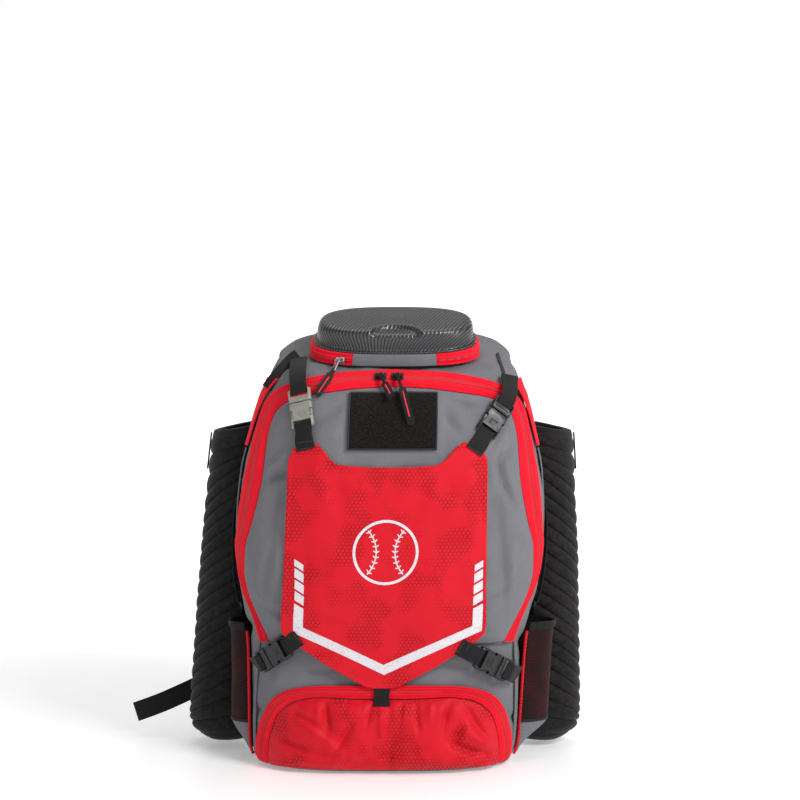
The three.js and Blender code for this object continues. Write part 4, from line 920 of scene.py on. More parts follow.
@dataclass(frozen=True)
class Looks:
    """Every finish that the bag wears."""

    grey: Finish = Finish(
        "grey_twill", Weave.TWILL, linear(86, 86, 90), linear(122, 122, 127), 1.7, 0.74,
        depth=0.18, sheen=0.06,
    )
    red: Finish = Finish(
        "red_ripstop", Weave.HEX_RIPSTOP, linear(197, 2, 32), linear(136, 0, 16), 4.6, 0.6,
        depth=0.2, sheen=0.05, mottle=0.2,
    )
    tape: Finish = Finish(
        "red_zip_tape", Weave.TAPE, linear(214, 4, 34), linear(238, 18, 48), 0.9, 0.78,
        depth=0.1, sheen=0.05,
    )
    coil: Finish = Finish(
        "red_zip_coil", Weave.MOULDED, linear(186, 2, 28), linear(222, 20, 46), 1.0, 0.66,
        depth=0.05,
    )
    webbing: Finish = Finish(
        "black_webbing", Weave.WEBBING, linear(14, 13, 13), linear(42, 40, 40), 1.3, 0.72,
        depth=0.22, sheen=0.06,
    )
    cord: Finish = Finish(
        "black_pull_cord", Weave.WEBBING, linear(13, 12, 12), linear(34, 33, 33), 0.8, 0.6,
        depth=0.12, sheen=0.05,
    )
    foam: Finish = Finish(
        "black_foam", Weave.FOAM, linear(17, 15, 14), linear(36, 33, 32), 1.1, 0.8,
        depth=0.12, sheen=0.1,
    )
    net: Finish = Finish(
        "black_net", Weave.NET, linear(13, 10, 11), linear(84, 6, 16), 2.0, 0.85,
        depth=0.25, sheen=0.05,
    )
    # The air mesh's near-black second colour, laid in the dimples, is painted shade.
    spacer: Finish = Finish(
        "black_air_mesh", Weave.SPACER, linear(38, 37, 38), linear(10, 10, 10), 3.4, 0.85,
        depth=0.5, sheen=0.1,
    )
    pile: Finish = Finish(
        "hook_pile", Weave.PILE, linear(11, 9, 8), linear(40, 36, 33), 1.0, 0.95,
        depth=0.8, sheen=0.05,
    )
    black: Finish = Finish(
        "black_plastic", Weave.MOULDED, linear(16, 16, 17), linear(44, 44, 44), 1.0, 0.36,
        depth=0.03,
    )
    grey_plastic: Finish = Finish(
        "grey_plastic", Weave.MOULDED, linear(124, 124, 114), linear(150, 150, 142), 1.0, 0.46,
        depth=0.03,
    )
    # The carbon's lighter second colour, laid on the rib crowns, is a painted highlight.
    carbon: Finish = Finish(
        "carbon_shell", Weave.CARBON, linear(3, 3, 4), linear(66, 67, 70), 4.6, 0.44,
        depth=0.4, coat=0.15, mottle=0.05,
    )
    dark_metal: Finish = Finish(
        "dark_metal", Weave.METAL, linear(34, 34, 36), linear(70, 70, 72), 1.0, 0.28,
        depth=0.02, metallic=0.9,
    )
    silver: Finish = Finish(
        "silver_metal", Weave.METAL, linear(190, 192, 194), linear(150, 152, 155), 1.0, 0.26,
        depth=0.02, metallic=0.95,
    )
    print: Finish = Finish(
        "white_print", Weave.PRINT, linear(206, 204, 209), linear(180, 176, 182), 4.8, 0.55,
        depth=0.04, mottle=0.05,
    )
    thread: Finish = Finish(
        "dark_thread", Weave.TAPE, linear(40, 40, 43), linear(70, 70, 74), 0.7, 0.8,
        depth=0.05,
    )
    red_thread: Finish = Finish(
        "red_thread", Weave.TAPE, linear(214, 30, 48), linear(240, 70, 80), 0.7, 0.7,
        depth=0.05,
    )
    lining: Finish = Finish(
        "dark_lining", Weave.TWILL, linear(28, 27, 28), linear(46, 45, 46), 1.4, 0.85,
        depth=0.08, sheen=0.1,
    )

    def made(self) -> dict[str, bpy.types.Material]:
        """Builds every material, by its field's name."""
        return {name: getattr(self, name).made() for name in self.__dataclass_fields__}


# The front: zips, panel, cover sheet and shoe pocket


@dataclass(frozen=True)
class Fits:
    """Seats between sewn pieces, and cloth thicknesses."""

    seat: float = 0.6
    tape_seat: float = 1.15
    cloth: float = 2.0
    tape: float = 1.2
    webbing: float = 1.8
    coil: float = 1.6


FIT = Fits()


Placer = Callable[[Array, Array, Array], tuple[Array, Array]]


def surface_patch(outline: Outline, spokes: int, shares: Array, place: Placer) -> Skin:
    """A walled patch of cloth, filled ring by ring from its outline to its middle.

    Args:
        outline: its rim.
        spokes: points round each ring.
        shares: each ring's share of the way out, from 1 inwards.
        place: gives the outer and inner points for x, z and share.

    Returns:
        The closed wall.
    """
    rim = evenly(outline.points, spokes, closed=True)
    rings = outline.middle + (rim - outline.middle) * shares[:, None, None]
    flat = np.vstack([rings.reshape(-1, 2), outline.middle])
    share = np.append(np.repeat(shares, spokes), 0.0)
    outer, inner = place(flat[:, 0], flat[:, 1], share)
    tip = len(flat) - 1
    skin = Skin(
        outer,
        grid_quads(len(shares), spokes, wrapped=True),
        fan((len(shares) - 1) * spokes, spokes, tip),
        flat,
    )
    return skin.walled(inner)


def grid_skin(flat: Array, outer: Array, inner: Array) -> Skin:
    """A walled grid of cloth.

    Args:
        flat: the grid's places on the flat cloth, rows by columns by two.
        outer: its outer points, row by row.
        inner: its inner points, row by row.

    Returns:
        The closed wall.
    """
    rows, columns = flat.shape[:2]
    return Skin(outer, grid_quads(rows, columns), flat=flat.reshape(-1, 2)).walled(inner)


# A zip tape's section: shares of its width on both sides of the coil's channel, the channel's
# steps counted in half coils from its middle, and the lift in millimetres at each of these.
TAPE_OUTER = (0, 0.02, 0.06, 0.11, 0.13, 0.15, 0.2)
CHANNEL_STEPS = (-1.7, -1.2, -1, -0.5, 0.5, 1, 1.2, 1.7)
TAPE_INNER = (0.8, 0.85, 0.87, 0.89, 0.94, 0.98, 1)
TAPE_LIFTS = (
    *(-0.8, -0.25, 0.1, 0.05, -0.45, 0.05, 0.15),
    *(0.45, 1.1, 0.75, -0.2, -0.2, 0.75, 1.1, 0.45),
    *(0.15, 0.05, -0.45, 0.05, 0.15, -0.2, -0.8),
)

# A coil's section: shares of its half width, and how full the teeth are from its middle out.
COIL_ACROSS = np.array([-1, -0.72, -0.38, -0.1, 0.1, 0.38, 0.72, 1])
COIL_CROWN = ((0, 0.1, 0.38, 0.72, 1), (0.1, 0.35, 0.75, 0.7, 0))


def coil_relief(teeth: Array) -> Array:
    """How high a coil stands, from 0 to 1, across each of its stations.

    Args:
        teeth: each station's place along the coil, counted in teeth.

    Returns:
        One row for each station, with one share for each place across.
    """
    phase = teeth[:, None] + np.where(COIL_ACROSS < 0, 0.0, 0.5)[None]
    crown = np.interp(np.abs(COIL_ACROSS), *COIL_CROWN)
    return crown[None] * (0.45 + 0.55 * np.cos(2 * math.pi * phase) ** 2)


@dataclass
class ZipRun:
    """A zip tape between two edges on the front, with its coil."""

    outer: Array
    inner: Array
    coil_at: float
    coil_half: float = 3.0
    tooth: float = 1.7

    def __post_init__(self) -> None:
        """Measures the run along its middle."""
        middle = (self.outer + self.inner) / 2
        steps = np.linalg.norm(np.diff(middle, axis=0), axis=1)
        self.far = np.concatenate([[0], np.cumsum(steps)])
        self.width = float(np.linalg.norm(self.outer - self.inner, axis=1).mean())

    def _stations(self, step: float) -> tuple[Array, Array, Array]:
        """Outer and inner edge points and distances at a step."""
        at = np.linspace(0, self.far[-1], int(self.far[-1] / step) + 2)
        edges = [
            np.stack([np.interp(at, self.far, edge[:, k]) for k in (0, 1)], axis=1)
            for edge in (self.outer, self.inner)
        ]
        return edges[0], edges[1], at

    def tape(self, noise: SoftNoise) -> Skin:
        """The woven tape with rolled edges, stitch lines and a channel for the coil."""
        outer, inner, at = self._stations(2.2)
        channel = self.coil_at + np.array(CHANNEL_STEPS) * (self.coil_half / self.width)
        known = np.concatenate([TAPE_OUTER, channel, TAPE_INNER])
        t = np.insert(known, len(known) // 2, self.coil_at)
        lift = np.interp(t, known, TAPE_LIFTS)
        flat = outer[:, None] * (1 - t)[None, :, None] + inner[:, None] * t[None, :, None]
        x, z = flat.reshape(-1, 2).T
        waves = noise(np.stack([x, z, 0 * x], axis=1), (14, 14, 14))
        edge = np.tile(np.abs(t - 0.5) * 2, len(at))
        high = FIT.tape_seat + FIT.tape + np.tile(lift, len(at)) + 0.55 * waves * edge
        cloth = np.stack(np.broadcast_arrays(t[None] * self.width, at[:, None]), axis=2)
        low = FORM.on_front(x, z, np.minimum(high - 0.5, FIT.tape_seat + 0.3))
        return grid_skin(cloth, FORM.on_front(x, z, high), low)

    def teeth(self) -> Skin:
        """The coil: two rows of slanted teeth that meet in the middle."""
        outer, inner, at = self._stations(self.tooth / 4)
        t = self.coil_at + COIL_ACROSS * (self.coil_half / self.width) * 0.62
        flat = outer[:, None] * (1 - t)[None, :, None] + inner[:, None] * t[None, :, None]
        x, z = flat.reshape(-1, 2).T
        high = FIT.tape_seat + FIT.tape + (0.1 + 1.35 * coil_relief(at / self.tooth)).ravel()
        cloth = np.stack(np.broadcast_arrays(COIL_ACROSS[None] * 2, at[:, None]), axis=2)
        low = FORM.on_front(x, z, FIT.tape_seat + 0.4)
        return grid_skin(cloth, FORM.on_front(x, z, high), low)


@dataclass
class FrontPanel:
    """The zipped arch, the bulged panel inside it and its patch of hook pile."""

    bulge: float = 15.0
    margin: float = 1.2
    patch_width: float = 102.0
    patch_height: float = 64.0
    patch_wall: float = 2.0
    patch_seat: float = 1.8
    patch_rise: float = 0.808
    outer: tuple[float, ...] = (
        0.798, 0.851, 0.915, 0.955, 0.971, 0.957, 0.926, 0.862, 0.803, 0.697, 0.5, 0.255, 0,
    )
    outer_rise: tuple[float, ...] = (
        0.297, 0.358, 0.407, 0.461, 0.512, 0.581, 0.665, 0.778, 0.847, 0.884, 0.907, 0.919, 0.922,
    )
    inner: tuple[float, ...] = (
        0.729, 0.819, 0.875, 0.902, 0.899, 0.851, 0.803, 0.769, 0.718, 0.596, 0.41, 0.21, 0,
    )
    inner_rise: tuple[float, ...] = (
        0.299, 0.364, 0.412, 0.461, 0.512, 0.586, 0.674, 0.782, 0.833, 0.861, 0.873, 0.882, 0.886,
    )
    large_folds: tuple[Fold, ...] = (
        Fold(-0.6, 0.42, 70, 0.5, 0.13, -0.35),
        Fold(0.62, 0.62, 100, 0.55, 0.12, -0.3),
        Fold(-0.52, 0.8, 20, 0.3, 0.1, -0.35),
        Fold(0.5, 0.82, 150, 0.3, 0.1, -0.3),
    )
    small_folds: tuple[Fold, ...] = (
        Fold(-0.71, 0.715, 28, 0.3, 0.05, 2.6, 0.5),
        Fold(-0.7, 0.685, 24, 0.26, 0.045, -3.0, 0.5),
        Fold(-0.76, 0.79, 60, 0.16, 0.05, -2.4, 0.3),
        Fold(-0.66, 0.62, 72, 0.3, 0.07, -1.8, -0.3),
        Fold(-0.6, 0.355, -38, 0.34, 0.06, -4.2, 0.4),
        Fold(-0.68, 0.375, -44, 0.3, 0.07, 2.6, 0.3),
        Fold(-0.73, 0.47, 84, 0.4, 0.06, -1.8, 0.2),
        Fold(0.66, 0.7, 98, 0.2, 0.045, -2.6, 0.3),
        Fold(0.6, 0.665, 80, 0.16, 0.045, 2.0, -0.3),
        Fold(0.71, 0.64, 118, 0.22, 0.05, -2.2, 0.4),
        Fold(0.7, 0.73, 35, 0.18, 0.05, -2.0, 0.3),
        Fold(0.68, 0.5, 95, 0.5, 0.05, -1.8, 0.2),
        Fold(0.74, 0.46, 88, 0.42, 0.045, 1.7, 0.2),
        Fold(0.62, 0.4, 30, 0.3, 0.06, -2.0, 0.4),
        Fold(0.44, 0.845, 165, 0.2, 0.045, -2.2, 0.3),
        Fold(0.36, 0.8, 130, 0.24, 0.06, -1.6, 0.3),
        Fold(-0.36, 0.83, 30, 0.24, 0.06, -1.6, 0.3),
        Fold(-0.12, 0.84, 8, 0.3, 0.05, -1.2, 0.2),
        Fold(0.64, 0.78, 60, 0.2, 0.045, -2.2, 0.3),
    )

    def __post_init__(self) -> None:
        """Works out the arch's edges and the panel's outline."""
        at = np.arange(13)
        columns = (self.outer, self.outer_rise, self.inner, self.inner_rise)
        self.readers = [Reader(at, column) for column in columns]
        full = np.linspace(0, 24, 385)
        self.outer_edge, self.inner_edge = self._edge(full, 0), self._edge(full, 2)
        right = self._edge(np.linspace(0, 12, 97), 2)
        foot = np.stack([np.linspace(0, 0.97, 12) * right[0, 0], np.full(12, right[0, 1])], axis=1)
        half = np.vstack([foot, right])
        left = half[half[:, 0] > 1e-6][::-1] * [-1, 1]
        ring = np.vstack([half, left])
        middle = np.array([0, 0.58 * FORM.height])
        reach = np.linalg.norm(ring - middle, axis=1, keepdims=True)
        self.outline = Outline(middle + (ring - middle) * (1 - self.margin / reach), middle)

    def _edge(self, at: Array, column: int) -> Array:
        """Points of one of the arch's edges, from the right foot over the crown."""
        folded_at = np.where(at <= 12, at, 24 - at)
        side = np.where(at <= 12, 1, -1)
        x = side * self.readers[column](folded_at) * FORM.half_width
        return np.stack([x, self.readers[column + 1](folded_at) * FORM.height], axis=1)

    def lift(self, x: Array, z: Array, share: Array | None = None) -> Array:
        """How far the panel stands off the body: 0 outside it.

        Args:
            x: places across.
            z: heights.
            share: the share of the way to the outline, if it is known.

        Returns:
            The lift in millimetres.
        """
        s = self.outline.share(x, z) if share is None else share
        foot = FIT.tape_seat + FIT.cloth
        rise = np.clip(1 - np.clip(s, 0, 1) ** 5, 0, 1)
        inside = foot + self.bulge * rise * (1 + folded(self.large_folds, x, z))
        return np.where(s > 1.0001, 0.0, np.where(s >= 1, foot, inside))

    def over_front(self, x: Array, z: Array) -> Array:
        """The height of everything sewn flat to the front."""
        return np.maximum(self.lift(x, z), FIT.tape_seat + FIT.tape)

    def build(self, shop: Workshop, looks: dict[str, bpy.types.Material]) -> None:
        """Makes the arch's zip, the panel, the patch and the patch's binding.

        Args:
            shop: makes the pieces.
            looks: the materials.
        """
        run = ZipRun(self.outer_edge, self.inner_edge, 0.45)
        shop.piece("main_zip_tape_cloth", run.tape(SoftNoise(3)), looks["tape"], ["main_zip_tape"])
        shop.piece("main_zip_coil", run.teeth(), looks["coil"], ())
        shop.piece("front_panel_cloth", self._panel(), looks["grey"], ["front_panel"])
        shop.piece("hook_pile_patch", self._patch(), looks["pile"], ["patch_panel"])
        shop.piece("patch_binding", self._binding(), looks["thread"], ())

    def _panel(self) -> Skin:
        """The grey panel with its puckers along the zip."""
        noise = SoftNoise(11)
        shares = np.concatenate([np.linspace(1, 0.9, 14), np.linspace(0.895, 0.1, 46)])

        def place(x: Array, z: Array, share: Array) -> tuple[Array, Array]:
            """The panel's outer and inner points."""
            p = np.stack([x, z, 0 * x], axis=1)
            inward = smooth((1 - share) / 0.1)
            pucker = noise(p, (9, 9, 9)) * bump_at(share, 0.95, 0.06)
            crumple = noise(p + 40, (30, 42, 20)) * 3.4 + noise(p + 90, (12, 17, 20)) * 1.2
            creases = 2.4 * folded(self.small_folds, x, z)
            extra = inward * (creases + crumple) + 0.8 * pucker
            covered = smooth((124 - np.abs(x)) / 8) * smooth((396 - z) / 8)
            extra = mix(extra, np.minimum(extra, 0.9), covered)
            under = smooth((self.patch_gap(x, z) - 2) / 10)
            lift = self.lift(x, z, share)
            high = np.maximum(lift + extra * under, FIT.tape_seat + 1)
            return FORM.on_front(x, z, high), FORM.on_front(x, z, high - FIT.cloth * 0.9)

        return surface_patch(self.outline, 300, shares, place)

    def patch_gap(self, x: Array, z: Array) -> Array:
        """The distance from each place to the patch, 0 inside it."""
        dx = np.maximum(np.abs(x) - self.patch_width / 2, 0)
        dz = np.maximum(np.abs(z - self.patch_rise * FORM.height) - self.patch_height / 2, 0)
        return np.hypot(dx, dz)

    def _patch(self) -> Skin:
        """The patch of loops, slightly uneven all over."""
        noise = SoftNoise(5)
        w, h = self.patch_width / 2 - 1.3, self.patch_height / 2 - 1.3
        u, v = np.linspace(-w, w, 96), np.linspace(-h, h, 62)
        flat = np.stack(np.meshgrid(u, v), axis=2)
        x, z = flat.reshape(-1, 2).T
        z = z + self.patch_rise * FORM.height
        base = self.lift(x, z) + self.patch_seat
        loops = noise(np.stack([x, z, 0 * x], axis=1), 1.5) * 0.35
        edge = smooth(np.minimum(w - np.abs(flat[..., 0]), h - np.abs(flat[..., 1])) / 2).ravel()
        high = base + self.patch_wall * (0.45 + 0.5 * edge) + loops * edge
        return grid_skin(flat, FORM.on_front(x, z, high), FORM.on_front(x, z, base))

    def _binding(self) -> Skin:
        """The narrow folded edge sewn round the patch."""
        w, h = self.patch_width / 2, self.patch_height / 2
        corner = np.array([[-w, -h], [w, -h], [w, h], [-w, h]])
        ring = evenly(corner, 320, closed=True)
        inset = np.array([0, 0.15, 0.4, 0.6, 0.8, 1, 1.25])
        depth = np.array([0.1, 0.8, 1.25, 1.0, 1.3, 1.15, 0.4]) * self.patch_wall
        scale = np.array([w, h])
        flat = ring[:, None] * (1 - inset[None, :, None] * 1.7 / scale)
        x, z = flat.reshape(-1, 2).T
        z = z + self.patch_rise * FORM.height
        base = self.lift(x, z) + self.patch_seat
        top = FORM.on_front(x, z, base + np.tile(depth, len(ring)))
        low = FORM.on_front(x, z, base - 0.4)
        quads = grid_quads(len(ring), len(inset), looped=True)
        return Skin(top, quads, flat=flat.reshape(-1, 2)).walled(low)


@dataclass
class ShoePocket:
    """The zipped shoe pocket at the foot of the front."""

    bulge: float = 12.0
    tape_width: float = 16.0
    margin: float = 1.2
    halves: tuple[float, ...] = (0.798, 0.809, 0.803, 0.779, 0.718, 0.606, 0.43, 0.2, 0)
    rises: tuple[float, ...] = (0.011, 0.03, 0.065, 0.108, 0.158, 0.19, 0.203, 0.206, 0.207)
    large_folds: tuple[Fold, ...] = (
        Fold(-0.35, 0.11, 80, 0.2, 0.09, -0.4),
        Fold(0.42, 0.1, 105, 0.2, 0.09, -0.4),
        Fold(0.05, 0.08, 60, 0.2, 0.1, -0.25),
    )
    small_folds: tuple[Fold, ...] = (
        Fold(-0.5, 0.13, -30, 0.3, 0.05, -3.4, 0.4),
        Fold(-0.42, 0.105, -38, 0.36, 0.05, 2.4, 0.4),
        Fold(-0.36, 0.14, 100, 0.2, 0.045, -2.6, 0.2),
        Fold(-0.56, 0.07, -20, 0.26, 0.05, -2.4, 0.4),
        Fold(-0.25, 0.09, 60, 0.24, 0.05, -2.2, 0.3),
        Fold(-0.1, 0.14, 76, 0.16, 0.04, -2.0, 0.2),
        Fold(-0.02, 0.12, 96, 0.2, 0.045, 1.8, 0.2),
        Fold(0.1, 0.15, 84, 0.16, 0.035, -2.0, 0.2),
        Fold(0.2, 0.13, 98, 0.18, 0.04, -2.0, 0.2),
        Fold(0.28, 0.15, 90, 0.14, 0.035, 1.7, 0.2),
        Fold(0.37, 0.13, 80, 0.2, 0.04, -2.4, 0.2),
        Fold(0.46, 0.1, 70, 0.24, 0.045, -2.8, 0.3),
        Fold(0.55, 0.12, 120, 0.2, 0.05, -3.0, 0.4),
        Fold(0.6, 0.075, 150, 0.2, 0.05, 3.0, 0.3),
        Fold(0.52, 0.055, 160, 0.26, 0.05, -3.2, 0.4),
        Fold(0.05, 0.05, 10, 0.5, 0.06, -1.8, 0.3),
        Fold(-0.3, 0.045, -12, 0.4, 0.06, -1.8, 0.3),
    )

    def __post_init__(self) -> None:
        """Works out the zip's edges and the pocket's outline."""
        at = np.arange(9)
        self.half_at, self.rise_at = Reader(at, self.halves), Reader(at, self.rises)
        full = np.linspace(0, 16, 257)
        self.outer_edge = self._edge(full, 0.0)
        self.inner_edge = self._edge(full, self.tape_width)
        right = self._edge(np.linspace(0, 8, 65), self.tape_width + self.margin)
        foot = np.stack([np.linspace(0, 0.97, 12) * right[0, 0], np.full(12, right[0, 1])], axis=1)
        half = np.vstack([foot, right])
        left = half[half[:, 0] > 1e-6][::-1] * [-1, 1]
        self.outline = Outline(np.vstack([half, left]), (0, 0.085 * FORM.height))

    def _edge(self, at: Array, inset: float) -> Array:
        """Points of the zip's edge, drawn towards the pocket's middle."""
        folded_at = np.where(at <= 8, at, 16 - at)
        side = np.where(at <= 8, 1, -1)
        x = side * self.half_at(folded_at) * FORM.half_width
        z = self.rise_at(folded_at) * FORM.height
        wide = np.abs(x) / (FORM.half_width * 0.8)
        heading = np.stack([-side * smooth(wide * 1.25), -smooth((z / FORM.height - 0.06) / 0.12)], axis=1)
        size = np.maximum(0.2, np.linalg.norm(heading, axis=1, keepdims=True))
        return np.stack([x, z], axis=1) + inset * heading / size

    def lift(self, x: Array, z: Array, share: Array | None = None) -> Array:
        """How far the pocket's face stands off the body: 0 outside it."""
        s = self.outline.share(x, z) if share is None else share
        foot = FIT.tape_seat + FIT.cloth
        rise = np.clip(1 - np.clip(s, 0, 1) ** 4, 0, 1)
        inside = foot + self.bulge * rise * (1 + folded(self.large_folds, x, z))
        return np.where(s > 1.0001, 0.0, np.where(s >= 1, foot, inside))

    def build(self, shop: Workshop, looks: dict[str, bpy.types.Material]) -> None:
        """Makes the pocket's zip and its crinkled face."""
        run = ZipRun(self.outer_edge, self.inner_edge, 0.46)
        shop.piece("shoe_zip_tape_cloth", run.tape(SoftNoise(4)), looks["tape"], ["shoe_zip_tape"])
        shop.piece("shoe_zip_coil", run.teeth(), looks["coil"], ())
        shop.piece("shoe_pocket_cloth", self._face(), looks["red"], ["shoe_pocket"])

    def _face(self) -> Skin:
        """The crinkled red face."""
        noise = SoftNoise(21)
        shares = np.concatenate([np.linspace(1, 0.88, 12), np.linspace(0.87, 0.06, 50)])

        def place(x: Array, z: Array, share: Array) -> tuple[Array, Array]:
            """The face's outer and inner points."""
            p = np.stack([x, z, 0 * x], axis=1)
            inward = smooth((1 - share) / 0.14)
            gathers = noise(p, (5.5, 26, 9)) * smooth((z - 40) / 40) * (1 - 0.6 * inward)
            crumple = noise(p + 30, (19, 26, 9)) * 2.8 + noise(p + 70, (7, 13, 9)) * 1.2
            rumpled = inward * (2.1 * folded(self.small_folds, x, z) + crumple)
            extra = rumpled + 1.9 * gathers * (share < 0.999)
            lift = self.lift(x, z, share)
            high = np.maximum(lift + np.where(extra > 0, extra * 0.7, extra), FIT.tape_seat + 1)
            return FORM.on_front(x, z, high), FORM.on_front(x, z, high - FIT.cloth * 0.9)

        return surface_patch(self.outline, 360, shares, place)


@dataclass
class CoverSheet:
    """The five-sided sheet held taut over the front by four straps."""

    lift_high: float = 17.0
    lift_tip: float = 5.0
    wall: float = 1.6
    shift: float = -4.0
    hem: float = 4.2
    halves: tuple[float, ...] = (
        0, 0.16, 0.293, 0.34, 0.404, 0.447, 0.516, 0.556, 0.588,
        0.592, 0.597, 0.602, 0.607, 0.602, 0.572, 0.34, 0.096, 0.06,
    )
    rises: tuple[float, ...] = (
        0.708, 0.709, 0.713, 0.722, 0.752, 0.762, 0.76, 0.747, 0.722,
        0.684, 0.567, 0.43, 0.35, 0.33, 0.315, 0.254, 0.204, 0.202,
    )
    folds: tuple[Fold, ...] = (
        Fold(-0.3, 0.62, 96, 0.5, 0.09, -3.2, 0.2),
        Fold(-0.4, 0.66, 110, 0.3, 0.1, 1.6, 0.2),
        Fold(-0.46, 0.7, 62, 0.16, 0.07, 1.8, 0.2),
        Fold(0.36, 0.66, 128, 0.3, 0.09, -2.2, 0.2),
        Fold(0.5, 0.69, 40, 0.22, 0.1, 1.5, 0.2),
        Fold(0.24, 0.61, 75, 0.4, 0.09, 1.4, 0.2),
        Fold(0.05, 0.67, 172, 0.5, 0.07, -1.6, 0.4),
        Fold(-0.15, 0.38, -28, 0.4, 0.09, 1.8, 0.3),
        Fold(-0.34, 0.35, -30, 0.34, 0.07, -1.4, 0.3),
        Fold(0.12, 0.31, 20, 0.4, 0.08, -1.4, 0.2),
        Fold(0.38, 0.37, 26, 0.34, 0.09, 1.4, 0.2),
        Fold(0.42, 0.5, 92, 0.4, 0.1, -1.3, 0.2),
        Fold(-0.46, 0.5, 88, 0.4, 0.1, 1.3, 0.2),
    )

    def __post_init__(self) -> None:
        """Works out the sheet's outline and tip."""
        half = np.stack([self.halves, self.rises], axis=1)[::-1] * [FORM.half_width, FORM.height]
        left = half[half[:, 0] > 1e-6][::-1] * [-1, 1]
        ring = np.vstack([half, left]) + [self.shift, 0]
        self.outline = Outline(ring, (self.shift, 0.5 * FORM.height))
        self.tip = self.rises[-1] * FORM.height

    def lift(self, panel: FrontPanel, x: Array, z: Array) -> Array:
        """How far the sheet's inner face stands off the body."""
        taut = mix(self.lift_tip, self.lift_high, smooth((z - self.tip) / (0.2 * FORM.height)))
        return np.maximum(taut, panel.lift(x, z) + 2 * FIT.seat)

    def drape(self, x: Array, z: Array) -> Array:
        """The sheet's own folds, fading at its rim."""
        p = np.stack([x, z, 0 * x], axis=1)
        soft = SoftNoise(31)(p, (48, 60, 20)) * 1.8 + SoftNoise(32)(p, (16, 22, 20)) * 0.6
        inside = smooth((1 - self.outline.share(x, z)) / 0.1)
        return (folded(self.folds, x, z) + soft) * (0.35 + 0.65 * inside)

    def face(self, panel: FrontPanel, x: Array, z: Array) -> Array:
        """The height of the sheet's outer face over the body."""
        drape = self.drape(x, z)
        return self.lift(panel, x, z) + self.wall + np.where(drape > 0, drape, 0.45 * drape) + 0.9

    def build(self, shop: Workshop, looks: dict[str, bpy.types.Material], panel: FrontPanel) -> None:
        """Makes the sheet, its printed border and its printed ball.

        Args:
            shop: makes the pieces.
            looks: the materials.
            panel: the panel that it lies over.
        """
        shares = np.concatenate([np.linspace(1, 0.9, 18), np.linspace(0.885, 0.03, 58)])

        def place(x: Array, z: Array, share: Array) -> tuple[Array, Array]:
            """The sheet's outer and inner points."""
            gap = self.outline.edge_gap(x, z)
            hem = 0.45 * smooth((self.hem + 0.8 - gap) / 0.8) - 0.55 * bump_at(gap, self.hem, 0.9)
            roll = -0.5 * smooth(1 - gap / 0.8)
            high = self.face(panel, x, z)
            return FORM.on_front(x, z, high + hem + roll), FORM.on_front(x, z, high - self.wall)

        sheet = shop.piece("cover_sheet_cloth", surface_patch(self.outline, 420, shares, place),
                           looks["red"], ["cover_sheet"])
        stripe = shop.piece("cover_border_print", self._printed(panel, self._border()), looks["print"])
        ball = shop.piece("cover_ball_print", self._printed(panel, self._ball()), looks["print"])

    def _printed(self, panel: FrontPanel, strips: list[tuple[Array, Array]]) -> Skin:
        """A thin film over the sheet, from strips given by their two edges."""
        points, lows, quads, flats = [], [], [], []
        count = 0
        for one, other in strips:
            across = np.linspace(0, 1, 4)
            flat = one[:, None] * (1 - across)[None, :, None] + other[:, None] * across[None, :, None]
            x, z = flat.reshape(-1, 2).T
            high = self.face(panel, x, z)
            points.append(FORM.on_front(x, z, high + 0.22))
            lows.append(FORM.on_front(x, z, high - 0.1))
            quads.append(grid_quads(len(one), len(across)) + count)
            flats.append(flat.reshape(-1, 2))
            count += len(x)
        return Skin(np.vstack(points), np.vstack(quads), flat=np.vstack(flats)).walled(np.vstack(lows))

    def _border(self) -> list[tuple[Array, Array]]:
        """The chevron along the foot of the sheet and the dashes above its legs."""
        outer = np.array([[-104, 205], [-104.5, 170], [-2, 119.5], [106, 172], [106, 205]], float)
        inner = np.array([[-94, 199], [-94, 176.5], [-3, 131.5], [95.5, 178], [95.5, 199]], float)
        strips = []
        for i in range(4):
            count = max(4, int(np.linalg.norm(outer[i + 1] - outer[i]) / 2.2))
            t = np.linspace(0, 1, count)[:, None]
            strips.append((mix(outer[i], outer[i + 1], t), mix(inner[i], inner[i + 1], t)))
        first, pitch, slant = 209, 13.2, 6.5
        t = np.linspace(0, 1, 6)[:, None]
        for side, wide, slim, leaning in ((-1, -104.0, -94.0, 0.9), (1, 106.0, 95.5, 0.4)):
            for k, tall in enumerate((10.4, 10.4, 10.4, 7.5)):
                low, lean = first + pitch * k, side * 0.6 * k * leaning
                far = mix(np.array([wide + lean, low]), np.array([wide + lean, low + tall]), t)
                near = mix(np.array([slim + lean, low - slant]),
                           np.array([slim + lean, low - slant + tall]), t)
                strips.append((far, near))
        return strips

    def _ball(self) -> list[tuple[Array, Array]]:
        """A plain ball: a ring with two curved seams and their stitches."""
        middle, radius, line = np.array([-4.0, 265.0]), 36.0, 2.1
        stitches, half_stitch, hook = 9, 3.4, 1.6

        def arc(centre: Array, size: float, low: float, high: float, wide: float) -> tuple[Array, Array]:
            """A curved stroke between two angles in degrees."""
            a = np.radians(np.linspace(low, high, max(8, int(size * math.radians(high - low) / 1.6))))
            way = np.stack([np.cos(a), np.sin(a)], axis=1)
            return centre + way * (size + wide / 2), centre + way * (size - wide / 2)

